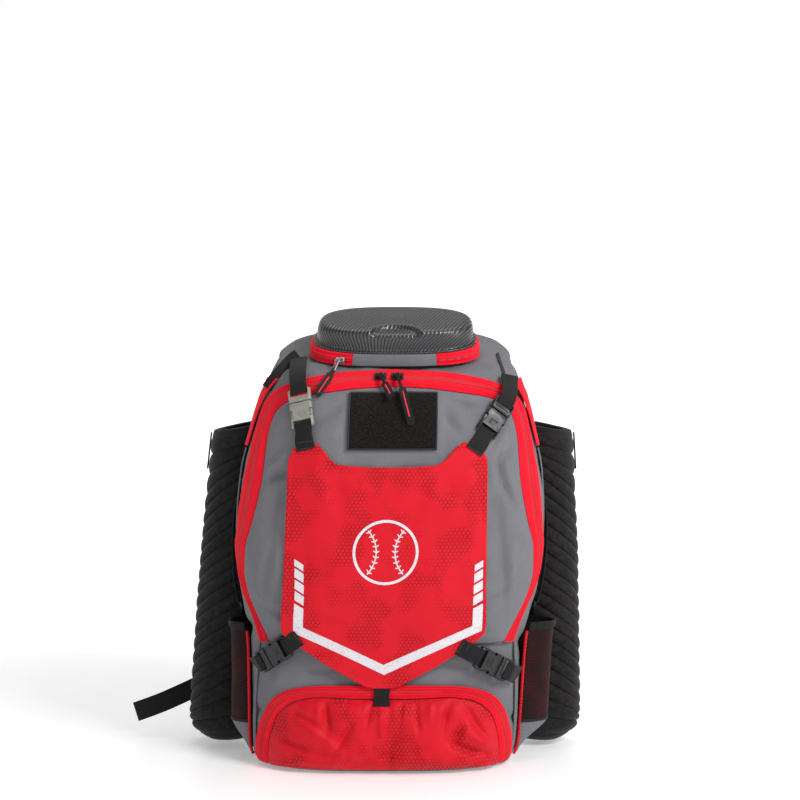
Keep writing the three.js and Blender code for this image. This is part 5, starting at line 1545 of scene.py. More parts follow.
        strips = [arc(middle, radius, 0, 360, line * 1.5)]
        for side in (-1, 1):
            centre = middle + [side * radius * 1.32, 0]
            seam, half = radius * 1.02, 43.0
            start = 180.0 if side > 0 else 0.0
            strips.append(arc(centre, seam, start - half, start + half, line * 0.7))
            for k in range(stitches):
                angle = math.radians(start - half + 4 + k * (2 * half - 8) / (stitches - 1))
                way = np.array([math.cos(angle), math.sin(angle)])
                along = np.array([-way[1], way[0]]) * (1 if side > 0 else -1)
                foot = centre + way * seam
                ends = [foot + way * half_stitch - along * hook, foot,
                        foot - way * half_stitch - along * hook]
                path = spline(np.array(ends), 7)
                run = unit(np.gradient(path, axis=0))
                turn = np.stack([-run[:, 1], run[:, 0]], axis=1) * line * 0.32
                strips.append((path + turn, path - turn))
        return strips


# Sweeps: webbing, padding, piping and cords


def webbing_loop(width: float, wall: float) -> Array:
    """A webbing's section, with its selvedges drawn thin."""
    w = np.array([-1, -0.985, -0.94, -0.86, -0.5, 0, 0.5, 0.86, 0.94, 0.985, 1]) * width / 2
    h = np.array([0.12, 0.34, 0.47, 0.42, 0.5, 0.5, 0.5, 0.42, 0.47, 0.34, 0.12]) * wall
    return np.vstack([np.stack([w, h], axis=1), np.stack([w[::-1], -h[::-1]], axis=1)])


def padded_loop(half: float, wall: float, binding: float) -> Array:
    """A padded strap's section: a soft crown between two bound edges."""
    w = np.concatenate([[-1, -0.995, -0.97], np.linspace(-0.93, 0.93, 23), [0.97, 0.995, 1]])
    crown = (1 - np.clip(np.abs(w) / 0.93, 0, 1) ** 3.2) ** 0.55
    h = np.maximum(crown * wall / 2, binding * np.sqrt(np.clip(1 - ((np.abs(w) - 0.96) / 0.045) ** 2, 0, 1)))
    h = np.maximum(h, 0.5)
    return np.vstack([np.stack([w * half, h], axis=1), np.stack([w[::-1] * half, -h[::-1]], axis=1)])


def round_loop(radius: float, count: int = 14) -> Array:
    """A round cord's section."""
    a = np.linspace(0, 2 * math.pi, count, endpoint=False)
    return np.stack([np.cos(a), np.sin(a)], axis=1) * radius


class Sweep:
    """A section carried along a smooth path."""

    def __init__(self, points: Sequence[Sequence[float]], across: Sequence[float], count: int) -> None:
        """Works out the path and its frames.

        Args:
            points: what the path passes.
            across: the direction that the section's width follows.
            count: stations along it.
        """
        self.at = spline(np.asarray(points, float), count)
        along = unit(np.gradient(self.at, axis=0))
        wide = np.asarray(across, float)
        self.side = unit(wide - along * (along @ wide)[:, None])
        self.out = np.cross(along, self.side)
        steps = np.linalg.norm(np.diff(self.at, axis=0), axis=1)
        self.far = np.concatenate([[0], np.cumsum(steps)])

    def skin(self, loops: Array) -> Skin:
        """The swept skin with closed ends.

        Args:
            loops: the section's points, or one section for each station.

        Returns:
            The closed skin.
        """
        rows = len(self.at)
        loop = np.broadcast_to(loops, (rows, *loops.shape[-2:]))
        count = loop.shape[1]
        points = (
            self.at[:, None]
            + self.side[:, None] * loop[..., :1]
            + self.out[:, None] * loop[..., 1:]
        ).reshape(-1, 3)
        flat = np.stack([loop[..., 0], np.broadcast_to(self.far[:, None], (rows, count))], axis=2)
        n = rows * count
        ends = np.stack([self.at[0], self.at[-1]])
        tips = np.array([[0, 0], [0, self.far[-1]]])
        return Skin(
            np.vstack([points, ends]),
            grid_quads(rows, count, wrapped=True),
            np.vstack([fan(0, count, n, turned=True), fan(n - count, count, n + 1)]),
            np.vstack([flat.reshape(-1, 2), tips]),
        )


# The body


# A raised seam across its width: shares of its half width, and the lift in millimetres at each.
SEAM_ACROSS = (-1, -0.8, -0.35, -0.12, 0, 0.12, 0.35, 0.8, 1)
SEAM_LIFTS = (-0.6, 0.1, 0.4, 0.25, -0.3, 0.25, 0.4, 0.1, -0.6)


@dataclass
class BodyShell:
    """The grey body with its sewn seams."""

    spokes: int = 300
    levels: int = 190
    seam_width: float = 3.4
    folds: tuple[Fold, ...] = (
        Fold(-0.93, 0.22, 84, 0.5, 0.05, -2.0, 0.2),
        Fold(-0.9, 0.31, 60, 0.3, 0.06, -2.2, 0.2),
        Fold(0.93, 0.2, 96, 0.4, 0.05, -2.0, 0.2),
        Fold(0.88, 0.28, 120, 0.3, 0.06, -2.2, 0.2),
        Fold(-0.97, 0.7, 80, 0.5, 0.06, -1.8, 0.2),
        Fold(0.96, 0.72, 98, 0.5, 0.06, -1.8, 0.2),
        Fold(-0.86, 0.12, 30, 0.3, 0.05, -2.0, 0.2),
        Fold(0.87, 0.1, 150, 0.3, 0.05, -2.0, 0.2),
        Fold(-0.2, 0.25, 8, 0.8, 0.05, -1.4, 0.1),
        Fold(0.4, 0.25, -6, 0.7, 0.05, -1.4, 0.1),
    )

    def build(self, shop: Workshop, looks: dict[str, bpy.types.Material]) -> None:
        """Makes the body and its seams."""
        shop.piece("body_cloth", self._skin(), looks["grey"], ["main_shell"], 60)
        for name, skin in self._seams():
            look = looks["thread" if "dart" in name else "grey"]
            shop.piece(name, skin, look, (), 60)

    def _angles(self) -> Array:
        """Directions that space the section's points evenly at a middle level."""
        z = np.full(4096, 0.5 * FORM.height)
        angle = np.linspace(-math.pi / 2, 1.5 * math.pi, 4096)
        ring = self._ring(angle, z)
        far = np.concatenate([[0], np.cumsum(np.linalg.norm(np.diff(ring, axis=0), axis=1))])
        return np.interp(np.linspace(0, far[-1], self.spokes + 1)[:-1], far, angle)

    @staticmethod
    def _ring(angle: Array, z: Array) -> Array:
        """Points of the body's section at directions and heights."""
        half, middle, deep, pinch = FORM.section(z)
        c, d = np.cos(angle), np.sin(angle)
        power = 2 / np.where(d < 0, FORM.front_square, FORM.back_square)
        y = middle + deep * np.sign(d) * np.abs(d) ** power
        x = half * (1 - pinch * FORM.pinched(y)) * np.sign(c) * np.abs(c) ** power
        return np.stack([x, y, z], axis=1)

    def _skin(self) -> Skin:
        """The closed body skin, slightly rumpled."""
        rise = np.linspace(0, 1, 1500)
        z = rise * FORM.height
        front = self._ring(np.full(1500, -math.pi / 2), z)[:, 1]
        half = FORM.section(z)[0]
        far = np.concatenate([[0], np.cumsum(np.sqrt(np.diff(z) ** 2 + np.diff(front) ** 2 * 0.5
                                                     + np.diff(half) ** 2))])
        levels = np.interp(np.linspace(0, far[-1], self.levels), far, z)
        angle = self._angles()
        zz, aa = np.repeat(levels, self.spokes), np.tile(angle, self.levels)
        p = self._ring(aa, zz)
        noise = SoftNoise(41)
        soft = noise(p, (50, 50, 64)) * 2.6 + noise(p + 50, (19, 19, 26)) * 1.7 - 1.9
        on_front = smooth(-p[:, 1] / 20)
        soft += 1.9 * folded(self.folds, p[:, 0], p[:, 2]) * on_front
        hold = smooth(p[:, 2] / 12) * smooth((FORM.height - 4 - p[:, 2]) / 30)
        inward = np.minimum(soft, 0.3) * hold
        p = FORM.raised(p, inward)
        girth = np.tile(np.linspace(0, 1150, self.spokes), self.levels)
        flat = np.stack([girth, zz], axis=1)
        n = len(p)
        middles = p[: self.spokes].mean(0), p[-self.spokes :].mean(0)
        return Skin(
            np.vstack([p, *middles]),
            grid_quads(self.levels, self.spokes, wrapped=True),
            np.vstack([fan(0, self.spokes, n, turned=True), fan(n - self.spokes, self.spokes, n + 1)]),
            np.vstack([flat, [[0, 0], [0, FORM.height]]]),
        )

    def _strip(self, route: Sequence[Sequence[float]], place: Callable[[Array, Array, Array], Array]) -> Skin:
        """A raised seam along a route over the body.

        Args:
            route: rows of two numbers that the seam passes.
            place: gives points for two coordinates and a lift.

        Returns:
            The seam's closed skin.
        """
        path = spline(np.asarray(route, float), 80)
        along = unit(np.gradient(path, axis=0))
        turn = np.stack([-along[:, 1], along[:, 0]], axis=1)
        across, lift = np.array(SEAM_ACROSS), np.array(SEAM_LIFTS)
        flat = path[:, None] + turn[:, None] * (across * self.seam_width / 2)[None, :, None]
        a, b = flat.reshape(-1, 2).T
        high = np.tile(lift, len(path))
        cloth = np.stack(np.meshgrid(across * self.seam_width / 2, np.arange(len(path)) * 3.0), axis=2)
        return grid_skin(cloth, place(a, b, high), place(a, b, np.full(len(a), -1.2)))

    def _seams(self) -> Iterable[tuple[str, Skin]]:
        """Each seam's name and skin."""
        front = (
            ("seam_foot_left", [(-154, 4), (-156, 40), (-156, 90), (-151, 160)]),
            ("seam_foot_right", [(152, 4), (157, 40), (157, 95), (153, 150)]),
            ("seam_dart_right", [(125, 489), (127, 480), (131, 468)]),
        )
        for name, route in front:
            yield name, self._strip(route, FORM.on_front)
        for side, label in ((-1, "left"), (1, "right")):
            def on_this_side(y: Array, z: Array, lift: Array, side: int = side) -> Array:
                """Points over one side of the body."""
                return FORM.on_side(side, y, z, lift)

            route = [(-30, 180), (-32, 250), (-34, 320), (-37, 378)]
            yield f"seam_side_{label}", self._strip(route, on_this_side)


# Webbings, buckles and the tip loop


@dataclass(frozen=True)
class CoverStrap:
    """One of the straps that hold the cover sheet, in shares of half width and height."""

    name: str
    side: int
    look: str
    ride: float
    start: tuple[float, float]
    mouth: tuple[float, float]
    end: tuple[float, float]


COVER_STRAPS = (
    CoverStrap("upper_left", -1, "grey_plastic", 7, (0.61, 0.94), (0.555, 0.845), (0.485, 0.745)),
    CoverStrap("upper_right", 1, "black", 7, (0.72, 0.905), (0.625, 0.822), (0.505, 0.742)),
    CoverStrap("lower_left", -1, "black", 8.2, (0.81, 0.237), (0.7, 0.268), (0.5, 0.32)),
    CoverStrap("lower_right", 1, "black", 6, (0.82, 0.213), (0.676, 0.246), (0.437, 0.299)),
)


@dataclass(frozen=True)
class Seating:
    """A hard part's place: its corner and its three directions, in millimetres."""

    at: Array
    along: Array
    sideways: Array
    up: Array

    def matrix(self) -> Matrix:
        """The seating in metres, leaned as the bag leans."""
        rows = np.stack([self.along, self.sideways, self.up, self.at], axis=1)
        lean = np.array([[1, 0, FORM.lean], [0, 1, 0], [0, 0, 1]])
        rows = lean @ rows
        rows[:, 3] *= METRES_PER_MM
        return Matrix([*rows.tolist(), [0, 0, 0, 1]])

    def point(self, along: float, up: float) -> Array:
        """A point in the seating's own directions."""
        return self.at + self.along * along + self.up * up


class HardPart:
    """Builds a hard part with the modelling tools, in millimetres, lying at the origin."""

    def __init__(self, name: str) -> None:
        """Starts a part with nothing in it."""
        self.name = name
        self.body: bpy.types.Object | None = None

    @staticmethod
    def _alone(made: bpy.types.Object) -> None:
        """Selects one object alone."""
        bpy.ops.object.select_all(action="DESELECT")
        made.select_set(True)
        bpy.context.view_layer.objects.active = made

    def block(self, low: Sequence[float], high: Sequence[float], bevel: float = 0.0) -> bpy.types.Object:
        """A block between two corners, its edges rounded.

        Args:
            low: its low corner.
            high: its high corner.
            bevel: the rounding, or 0 for sharp edges.

        Returns:
            The block.
        """
        bpy.ops.object.select_all(action="DESELECT")
        middle = [(a + b) / 2 * METRES_PER_MM for a, b in zip(low, high)]
        size = [(b - a) * METRES_PER_MM for a, b in zip(low, high)]
        bpy.ops.mesh.primitive_cube_add(size=1, location=middle, scale=size)
        made = bpy.context.active_object
        bpy.ops.object.transform_apply(location=True, rotation=True, scale=True)
        if bevel:
            bpy.ops.object.mode_set(mode="EDIT")
            bpy.ops.mesh.select_all(action="SELECT")
            bpy.ops.mesh.bevel(offset=bevel * METRES_PER_MM, segments=3, affect="EDGES")
            bpy.ops.object.mode_set(mode="OBJECT")
        return made

    def add(self, *more: bpy.types.Object) -> "HardPart":
        """Joins blocks to the part.

        Args:
            more: the blocks.

        Returns:
            The part itself.
        """
        bpy.ops.object.select_all(action="DESELECT")
        parts = [*([self.body] if self.body else []), *more]
        for made in parts:
            made.select_set(True)
        bpy.context.view_layer.objects.active = parts[0]
        if len(parts) > 1:
            bpy.ops.object.join()
        self.body = bpy.context.view_layer.objects.active
        return self

    def cut(self, *cutters: bpy.types.Object) -> "HardPart":
        """Cuts blocks out of the part and removes them.

        Args:
            cutters: the blocks.

        Returns:
            The part itself.
        """
        for cutter in cutters:
            self._alone(self.body)
            change = self.body.modifiers.new("cut", "BOOLEAN")
            change.operation, change.solver, change.object = "DIFFERENCE", "EXACT", cutter
            bpy.ops.object.modifier_apply(modifier=change.name)
            bpy.data.objects.remove(cutter, do_unlink=True)
        return self

    def softened(self, width: float, segments: int = 2) -> "HardPart":
        """Rounds the part's sharp edges."""
        self._alone(self.body)
        change = self.body.modifiers.new("edges", "BEVEL")
        change.width, change.segments = width * METRES_PER_MM, segments
        change.limit_method, change.angle_limit = "ANGLE", math.radians(40)
        change.harden_normals = False
        bpy.ops.object.modifier_apply(modifier=change.name)
        return self

    def copied(self, name: str, seating: Seating) -> bpy.types.Object:
        """A copy of the part with its own mesh, seated on the bag.

        Args:
            name: the copy's name.
            seating: its place.

        Returns:
            The copy.
        """
        made = bpy.data.objects.new(name, self.body.data.copy())
        bpy.context.scene.collection.objects.link(made)
        made.data.transform(seating.matrix())
        made.data.update()
        Workshop.rounded(made, 32)
        return made

    def cleared(self) -> None:
        """Removes the pattern once its copies are made."""
        bpy.data.objects.remove(self.body, do_unlink=True)


@dataclass
class SideBuckle:
    """A side-release buckle: a socket and a plug with two prongs."""

    width: float = 27.0
    socket_length: float = 31.0
    plug_length: float = 16.0
    height: float = 8.0
    fit: float = 0.4
    bar: float = 3.0
    slot: float = 6.0
    slot_half: float = 11.0
    webbing: float = 20.0

    @property
    def webbing_seat(self) -> float:
        """The height at which the webbing crosses the bars."""
        return 0.55 * self.height

    def socket(self) -> HardPart:
        """The waisted socket with its windows, slot and raised rib."""
        w, h, long = self.width / 2, self.height, self.socket_length
        slot = self.slot_half
        part = HardPart("socket")
        part.add(part.block((0, -w, 0), (long, w, h), 2.6))
        part.cut(
            part.block((-1, -w + 3.2, 2), (0.68 * long, w - 3.2, h - 2)),
            part.block((0.3 * long, -w - 1, -1), (0.62 * long, -w + 3.6, h + 1), 1.2),
            part.block((0.3 * long, w - 3.6, -1), (0.62 * long, w + 1, h + 1), 1.2),
            part.block((long - 9, -slot, -1), (long - 3, slot, h + 1)),
            part.block((long - 9, -slot, self.webbing_seat - 0.4), (long + 1, slot, h + 1)),
            part.block((0.36 * long, -5.2, h - 0.5), (0.6 * long, 5.2, h + 1), 0.4),
        )
        part.softened(0.55)
        rib = part.block((1.4, -w + 3, h - 0.3), (3.0, w - 3, h + 0.45), 0.35)
        grip = [part.block((0.4 * long + k * 2, -4, h - 0.7), (0.4 * long + k * 2 + 0.9, 4, h - 0.1), 0.2)
                for k in range(3)]
        return part.add(rib, *grip)

    def plug(self) -> HardPart:
        """The plug with its ladder bar and its two sprung prongs."""
        w, h, long = self.width / 2, self.height, self.socket_length
        back = -self.fit - self.plug_length
        slot = self.slot_half
        part = HardPart("plug")
        part.add(part.block((back, -w, 0.5), (-self.fit, w, h - 0.5), 2.2))
        part.cut(
            part.block((back + 3, -slot, -1), (back + 9, slot, h + 1)),
            part.block((back - 1, -slot, self.webbing_seat - 0.4), (back + 9, slot, h + 1)),
            part.block((back + 10.4, -8, h - 1.2), (back + 12.4, 8, h + 1), 0.4),
        )
        part.softened(0.5)
        for side in (-1, 1):
            arm = sorted((side * (w - 7.6), side * (w - 3.6)))
            button = sorted((side * (w - 7.6), side * (w - 0.4)))
            part.add(
                part.block((-1.4, arm[0], 2.4), (0.62 * long, arm[1], h - 2.4), 0.6),
                part.block((0.3 * long + 0.4, button[0], 2.4), (0.62 * long - 0.4, button[1], h - 2.4), 1.0),
            )
        teeth = [part.block((back + 0.5, -9 + 3.6 * k, self.webbing_seat - 0.8),
                            (back + 2.2, -7.4 + 3.6 * k, self.webbing_seat - 0.15), 0.2) for k in range(6)]
        return part.add(*teeth)


@dataclass
class CoverStraps:
    """The four buckled straps of the cover sheet."""

    panel: FrontPanel
    cover: CoverSheet
    shoe: ShoePocket
    buckle: SideBuckle = field(default_factory=SideBuckle)

    def build(self, shop: Workshop, looks: dict[str, bpy.types.Material]) -> None:
        """Makes the buckles, both webbings of each, and the tip loop.

        Args:
            shop: makes the pieces.
            looks: the materials.
        """
        halves = {"socket": self.buckle.socket(), "plug": self.buckle.plug()}
        slot_middle = self.buckle.bar + self.buckle.slot / 2
        for strap in COVER_STRAPS:
            start, mouth, end = (self._place(strap, share) for share in (strap.start, strap.mouth, strap.end))
            seat = self._seat(strap, mouth, end)
            for half, part in halves.items():
                made = part.copied(f"buckle_{strap.name}_{half}_moulding", seat)
                shop.finish(made, looks[strap.look], [f"buckle_{strap.name}_{half}"])
            tail = -self.buckle.fit - self.buckle.plug_length + slot_middle
            first = self._webbing(start, tail, seat, lambda x, z: self.panel.over_front(x, z) + 0.4, 0.0)
            shop.piece(f"strap_{strap.name}_webbing", first, looks["webbing"],
                       [f"strap_{strap.name}"])
            over = self._webbing(end, self.buckle.socket_length - slot_middle, seat,
                                 lambda x, z: self.cover.face(self.panel, x, z) + 0.15, 0.1)
            shop.piece(f"strap_{strap.name}_end_webbing", over, looks["webbing"],
                       [f"strap_{strap.name}_end"])
        for part in halves.values():
            part.cleared()
        spots = np.array([[-0.615, 0.945], [-0.65, 0.938], [-0.72, 0.91], [-0.79, 0.876]])
        x, z = (spots * [FORM.half_width, FORM.height]).T
        leg = Sweep(FORM.on_front(x, z, np.array([4.5, 3.2, 2.6, 2.2])), (0.73, 0, -0.68), 70)
        shop.piece("strap_upper_left_leg", leg.skin(webbing_loop(15, FIT.webbing)), looks["webbing"],
                   ())
        shop.piece("tip_loop_webbing", self._tip_loop(), looks["webbing"], ["tip_loop"])
        for name, skin in self._tacks():
            shop.piece(name, skin, looks["thread"])

    def _place(self, strap: CoverStrap, share: tuple[float, float]) -> Array:
        """A strap's place on the front, moved with the sheet in its middle."""
        shift = self.cover.shift if 0.3 < share[1] < 0.8 else 0.0
        return np.array([strap.side * share[0] * FORM.half_width + shift, share[1] * FORM.height])

    def _seat(self, strap: CoverStrap, mouth: Array, end: Array) -> Seating:
        """The buckle's seating, level between the front and the sheet."""
        heading = unit((end - mouth)[None])[0]
        centre = mouth + heading * (self.buckle.socket_length - self.buckle.plug_length) / 2
        x, z = mouth[:1], mouth[1:]
        low = FORM.on_front(x, z, self.panel.over_front(x, z) + strap.ride)[0]
        x, z = end[:1], end[1:]
        high = FORM.on_front(x, z, self.cover.lift(self.panel, x, z) + self.cover.wall + strap.ride / 2)[0]
        along = unit((high - low)[None])[0]
        y = FORM.front_y(centre[:1], centre[1:])[0]
        facing = FORM.normal(np.array([[centre[0], y, centre[1]]]))[0]
        up = unit((facing - along * facing.dot(along))[None])[0]
        return Seating(low - up * self.buckle.height / 2, along, np.cross(up, along), up)

    def _webbing(self, start: Array, reach: float, seat: Seating, lift: Lift, free: float) -> Skin:
        """A webbing that leaves the front and runs level into a buckle's end.

        Args:
            start: where it leaves the front.
            reach: its tip's distance along the buckle.
            seat: the buckle's seating.
            lift: its height over the front.
            free: the share of its run that lies flat.

        Returns:
            The webbing's skin.
        """
        tip = seat.point(reach, self.buckle.webbing_seat)
        run = np.array([tip[0] - start[0], tip[2] - start[1]])
        length = float(np.hypot(*run))
        turn = np.array([-run[1], run[0]]) / length
        plan_side, plan_along = seat.sideways[[0, 2]], seat.along[[0, 2]]
        flip, way = np.sign(turn @ plan_side), np.sign(run @ plan_along)
        level_at = max(0.4, 1 - (self.buckle.bar + self.buckle.slot) / length)
        t = np.linspace(0, 1, 48)
        w = np.array([-1, -0.97, -0.9, -0.8, -0.4, 0, 0.4, 0.8, 0.9, 0.97, 1]) * self.buckle.webbing / 2
        thick = np.array([0.55, 0.85, 0.97, 0.93, 1, 1, 1, 0.93, 0.97, 0.85, 0.55]) * FIT.webbing
        tt, ww = (v.ravel() for v in np.meshgrid(t, w, indexing="ij"))
        x = start[0] + run[0] * tt + turn[0] * ww
        z = start[1] + run[1] * tt + turn[1] * ww
        base = lift(x, z)
        share = smooth((tt - free) / (level_at - free))[:, None]

        def skin(extra: Array) -> Array:
            """The webbing's points at a height over its lower face."""
            level = (
                tip
                - seat.along * ((1 - tt) * length * way)[:, None]
                + seat.sideways * (ww * flip)[:, None]
                + seat.up * extra[:, None]
            )
            return mix(FORM.on_front(x, z, base + extra), level, share)

        high = np.tile(thick, len(t))
        wave = 0.12 * np.sin(tt * length / 9)
        flat = np.stack(np.meshgrid(w, t * length), axis=2)
        return grid_skin(flat, skin(high + wave), skin(0.12 * (FIT.webbing - high)))

    def _tip_loop(self) -> Skin:
        """The short webbing that holds the sheet's tip over the zip."""
        foot = self.cover.tip - 0.04 * FORM.height
        t = np.linspace(0, 1, 26)
        w = np.array([-1, -0.97, -0.9, -0.8, -0.4, 0, 0.4, 0.8, 0.9, 0.97, 1]) * 10
        thick = np.array([0.5, 0.85, 1.0, 0.92, 1, 1, 1, 0.92, 1.0, 0.85, 0.5]) * FIT.webbing
        tt, ww = (v.ravel() for v in np.meshgrid(t, w, indexing="ij"))
        x = self.cover.shift + ww * (1 - 0.12 * bump_at(tt, 0.5, 0.5))
        z = mix(self.cover.tip + 3, foot, tt)
        base = np.maximum(self.cover.lift_tip, self.shoe.lift(x, z) + FIT.seat)
        base = np.maximum(base, 2 * FIT.seat + FIT.tape + FIT.coil)
        high = np.tile(thick, len(t))
        flat = np.stack(np.meshgrid(w, t * 24), axis=2)
        return grid_skin(flat, FORM.on_front(x, z, base + high), FORM.on_front(x, z, base))

    def _tacks(self) -> Iterable[tuple[str, Skin]]:
        """Two rows of stitches across each webbing's end that hold it to the sheet."""
        for strap in COVER_STRAPS:
            end = self._place(strap, strap.end)
            mouth = self._place(strap, strap.mouth)
            way = unit((end - mouth)[None])[0]
            turn = np.array([-way[1], way[0]])
            rows = []
            for near, half in ((-1.5, 8.0), (-8.5, 8.0)):
                line = end + way * near + turn * np.linspace(-half, half, 24)[:, None]
                rows.append((line + way * 0.35, line - way * 0.35))
            lift = FIT.webbing + 0.3
            points, lows, quads, flats, count = [], [], [], [], 0
            for one, other in rows:
                flat = np.stack([one, (one + other) / 2, other], axis=1)
                x, z = flat.reshape(-1, 2).T
                high = self.cover.face(self.panel, x, z) + lift + np.tile([0.0, 0.25, 0.0], len(one))
                points.append(FORM.on_front(x, z, high))
                lows.append(FORM.on_front(x, z, high - 0.5))
                quads.append(grid_quads(len(one), 3) + count)
                flats.append(flat.reshape(-1, 2))
                count += len(x)
            skin = Skin(np.vstack(points), np.vstack(quads), flat=np.vstack(flats)).walled(np.vstack(lows))
            yield f"strap_{strap.name}_tack", skin


# The hard case on top


# The case's band from its foot to its head: shares of its height, the zipped band's lifts
# in millimetres, and the hinge's shares with its lifts.
BAND_SHARES = (
    *(0, 0.03, 0.1, 0.16, 0.2, 0.24, 0.33, 0.38, 0.42, 0.5),
    *(0.58, 0.62, 0.67, 0.76, 0.8, 0.84, 0.9, 0.97, 1),
)
BAND_LIFTS = (
    *(-0.5, 0, 0.1, 0.1, -0.35, 0.1, 0.25, 0.9, 0.5, 0.2),
    *(0.5, 0.9, 0.25, 0.1, -0.35, 0.1, 0.1, 0, -0.5),
)
HINGE_LIFTS = ((0, 0.05, 0.5, 0.95, 1), (-0.4, 0.1, 0.35, 0.1, -0.4))


@dataclass
class TopCase:
    """The moulded case: its zipped band, its cloth hinge and its lid."""

    half_width: float = 103.0
    half_depth: float = 62.0
    tilt: float = 16.0
    middle: float = 4.0
    band: float = 14.0
    band_wall: float = 3.0
    band_lean: float = 3.0
    set_back: float = 9.0
    flange: float = 4.0
    square: float = 2.7
    hinge_half: float = 51.0
    lid_height: float = 26.0
    lid_wall: float = 2.5
    lid_gap: float = 0.8
    grip_half: float = 31.0
    grip_reach: float = 14.0
    spokes: int = 260
    profile: tuple[tuple[float, float, float], ...] = (
        (5.0, 0.0, 0.1), (5.05, 0.0, 1.1), (5.4, 0.0, 1.65), (6.2, 0.0, 1.8), (7.4, 0.0, 1.75),
        (8.3, 0.0, 1.9), (8.85, 0.0, 2.5), (9.0, 0.0, 3.6), (9.0, 0.0, 8.0), (9.0, 0.002, 13.0),
        (9.0, 0.01, 17.0),
        (9.0, 0.022, 20.0), (9.0, 0.04, 22.4), (9.0, 0.065, 24.0), (9.0, 0.1, 25.0), (9.0, 0.16, 25.6),
        (9.0, 0.3, 25.95), (9.0, 0.5, 26.1), (9.0, 0.75, 26.5), (9.0, 0.9, 26.75),
    )

    def __post_init__(self) -> None:
        """Works out the case's foot and directions."""
        turn = math.radians(self.tilt)
        self.deep = np.array([0, math.cos(turn), math.sin(turn)])
        self.up = np.array([0, -math.sin(turn), math.cos(turn)])
        self.foot = np.array([0, self.middle, FORM.top_z(0, self.middle)])
        self.hinge_angle = math.acos((self.hinge_half / self.half_width) ** (self.square / 2))

    def point(self, plan: Array, up: Array | float) -> Array:
        """Points over the case's foot plane.

        Args:
            plan: rows of x and depth.
            up: heights over the plane.

        Returns:
            The points.
        """
        up = np.zeros(len(plan)) + up
        flat = np.stack([plan[:, 0], 0 * up, 0 * up], axis=1)
        return self.foot + flat + plan[:, 1:] * self.deep + up[:, None] * self.up

    def outline(self, angle: Array, inset: Array | float, shrink: Array | float = 0.0) -> Array:
        """Points of the case's rounded outline at angles."""
        power = 2 / self.square
        c, d = np.cos(angle), np.sin(angle)
        x = (self.half_width - inset) * np.sign(c) * np.abs(c) ** power * (1 - shrink)
        y = (self.half_depth - inset) * np.sign(d) * np.abs(d) ** power * (1 - shrink)
        return np.stack([x, y], axis=1)

    def top_up(self, plan: Array) -> Array:
        """How far above the foot plane the body's top lies."""
        low, high = np.full(len(plan), -FORM.front / 2), np.full(len(plan), self.band)
        for _ in range(30):
            middle = (low + high) / 2
            p = self.point(plan, middle)
            held = p.copy()
            held[:, 2] = np.minimum(held[:, 2], FORM.height)
            out = (p[:, 2] > FORM.height) | (FORM.measure(held) > 1)
            high, low = np.where(out, middle, high), np.where(out, low, middle)
        return (low + high) / 2

    def even_angles(self, start: float, end: float, count: int) -> Array:
        """Angles that space the outline's points evenly."""
        angle = np.linspace(start, end, 6000)
        steps = np.linalg.norm(np.diff(self.outline(angle, 5.0), axis=0), axis=1)
        far = np.concatenate([[0], np.cumsum(steps)])
        return np.interp(np.linspace(0, far[-1], count), far, angle)

    def build(self, shop: Workshop, looks: dict[str, bpy.types.Material]) -> None:
        """Makes the band with its coil, the hinge and the lid."""
        start, end = -self.hinge_angle, math.pi + self.hinge_angle
        shop.piece("case_band_tape", self._band(start, end, 420, True), looks["tape"],
                   ["case_zip_band"])
        shop.piece("case_band_coil", self._coil(start, end), looks["coil"], ())
        gap = 0.6 / self.half_width
        shop.piece("case_hinge_cloth", self._band(end + gap, 2 * math.pi - self.hinge_angle - gap, 90, False),
                   looks["grey"], ["case_hinge"])
        shop.piece("case_lid_shell", self._lid(), looks["carbon"], ["case_lid"], 70)

    def _band(self, start: float, end: float, count: int, zipped: bool) -> Skin:
        """A stretch of the band: the zip's tape, or the cloth of the hinge."""
        t = np.array(BAND_SHARES)
        out = np.array(BAND_LIFTS) if zipped else np.interp(t, *HINGE_LIFTS)
        angle = self.even_angles(start, end, count)
        low = self.top_up(self.outline(angle, 0)) + FIT.tape_seat
        aa, tt = (v.ravel() for v in np.meshgrid(angle, t, indexing="ij"))
        up = mix(np.repeat(low, len(t)), self.band, tt)
        lift = np.tile(out, count)
        far = np.repeat(np.arange(count) * 1.2, len(t)).reshape(count, -1)
        flat = np.stack([np.broadcast_to(t * self.band, far.shape), far], axis=2)
        outer = self.point(self.outline(aa, self.band_lean * tt - lift), up)
        inner = self.point(self.outline(aa, self.band_lean * tt + self.band_wall * 0.8), up)
        return grid_skin(flat, outer, inner)

    def _coil(self, start: float, end: float) -> Skin:
        """The band's toothed coil."""
        count, per_tooth = 900, 4.2
        angle = self.even_angles(start + 0.02, end - 0.02, count)
        low = self.top_up(self.outline(angle, 0)) + FIT.tape_seat
        share = 0.5 + COIL_ACROSS * 0.11
        aa, ss = (v.ravel() for v in np.meshgrid(angle, share, indexing="ij"))
        lift = (0.2 + 1.2 * coil_relief(np.arange(count) / per_tooth)).ravel()
        up = mix(np.repeat(low, len(COIL_ACROSS)), self.band, ss)
        outer = self.point(self.outline(aa, self.band_lean * ss - lift), up)
        inner = self.point(self.outline(aa, self.band_lean * ss + 0.9), up)
        flat = np.stack(np.meshgrid(COIL_ACROSS * 2, np.arange(count) * 0.6), axis=2)
        return grid_skin(flat, outer, inner)

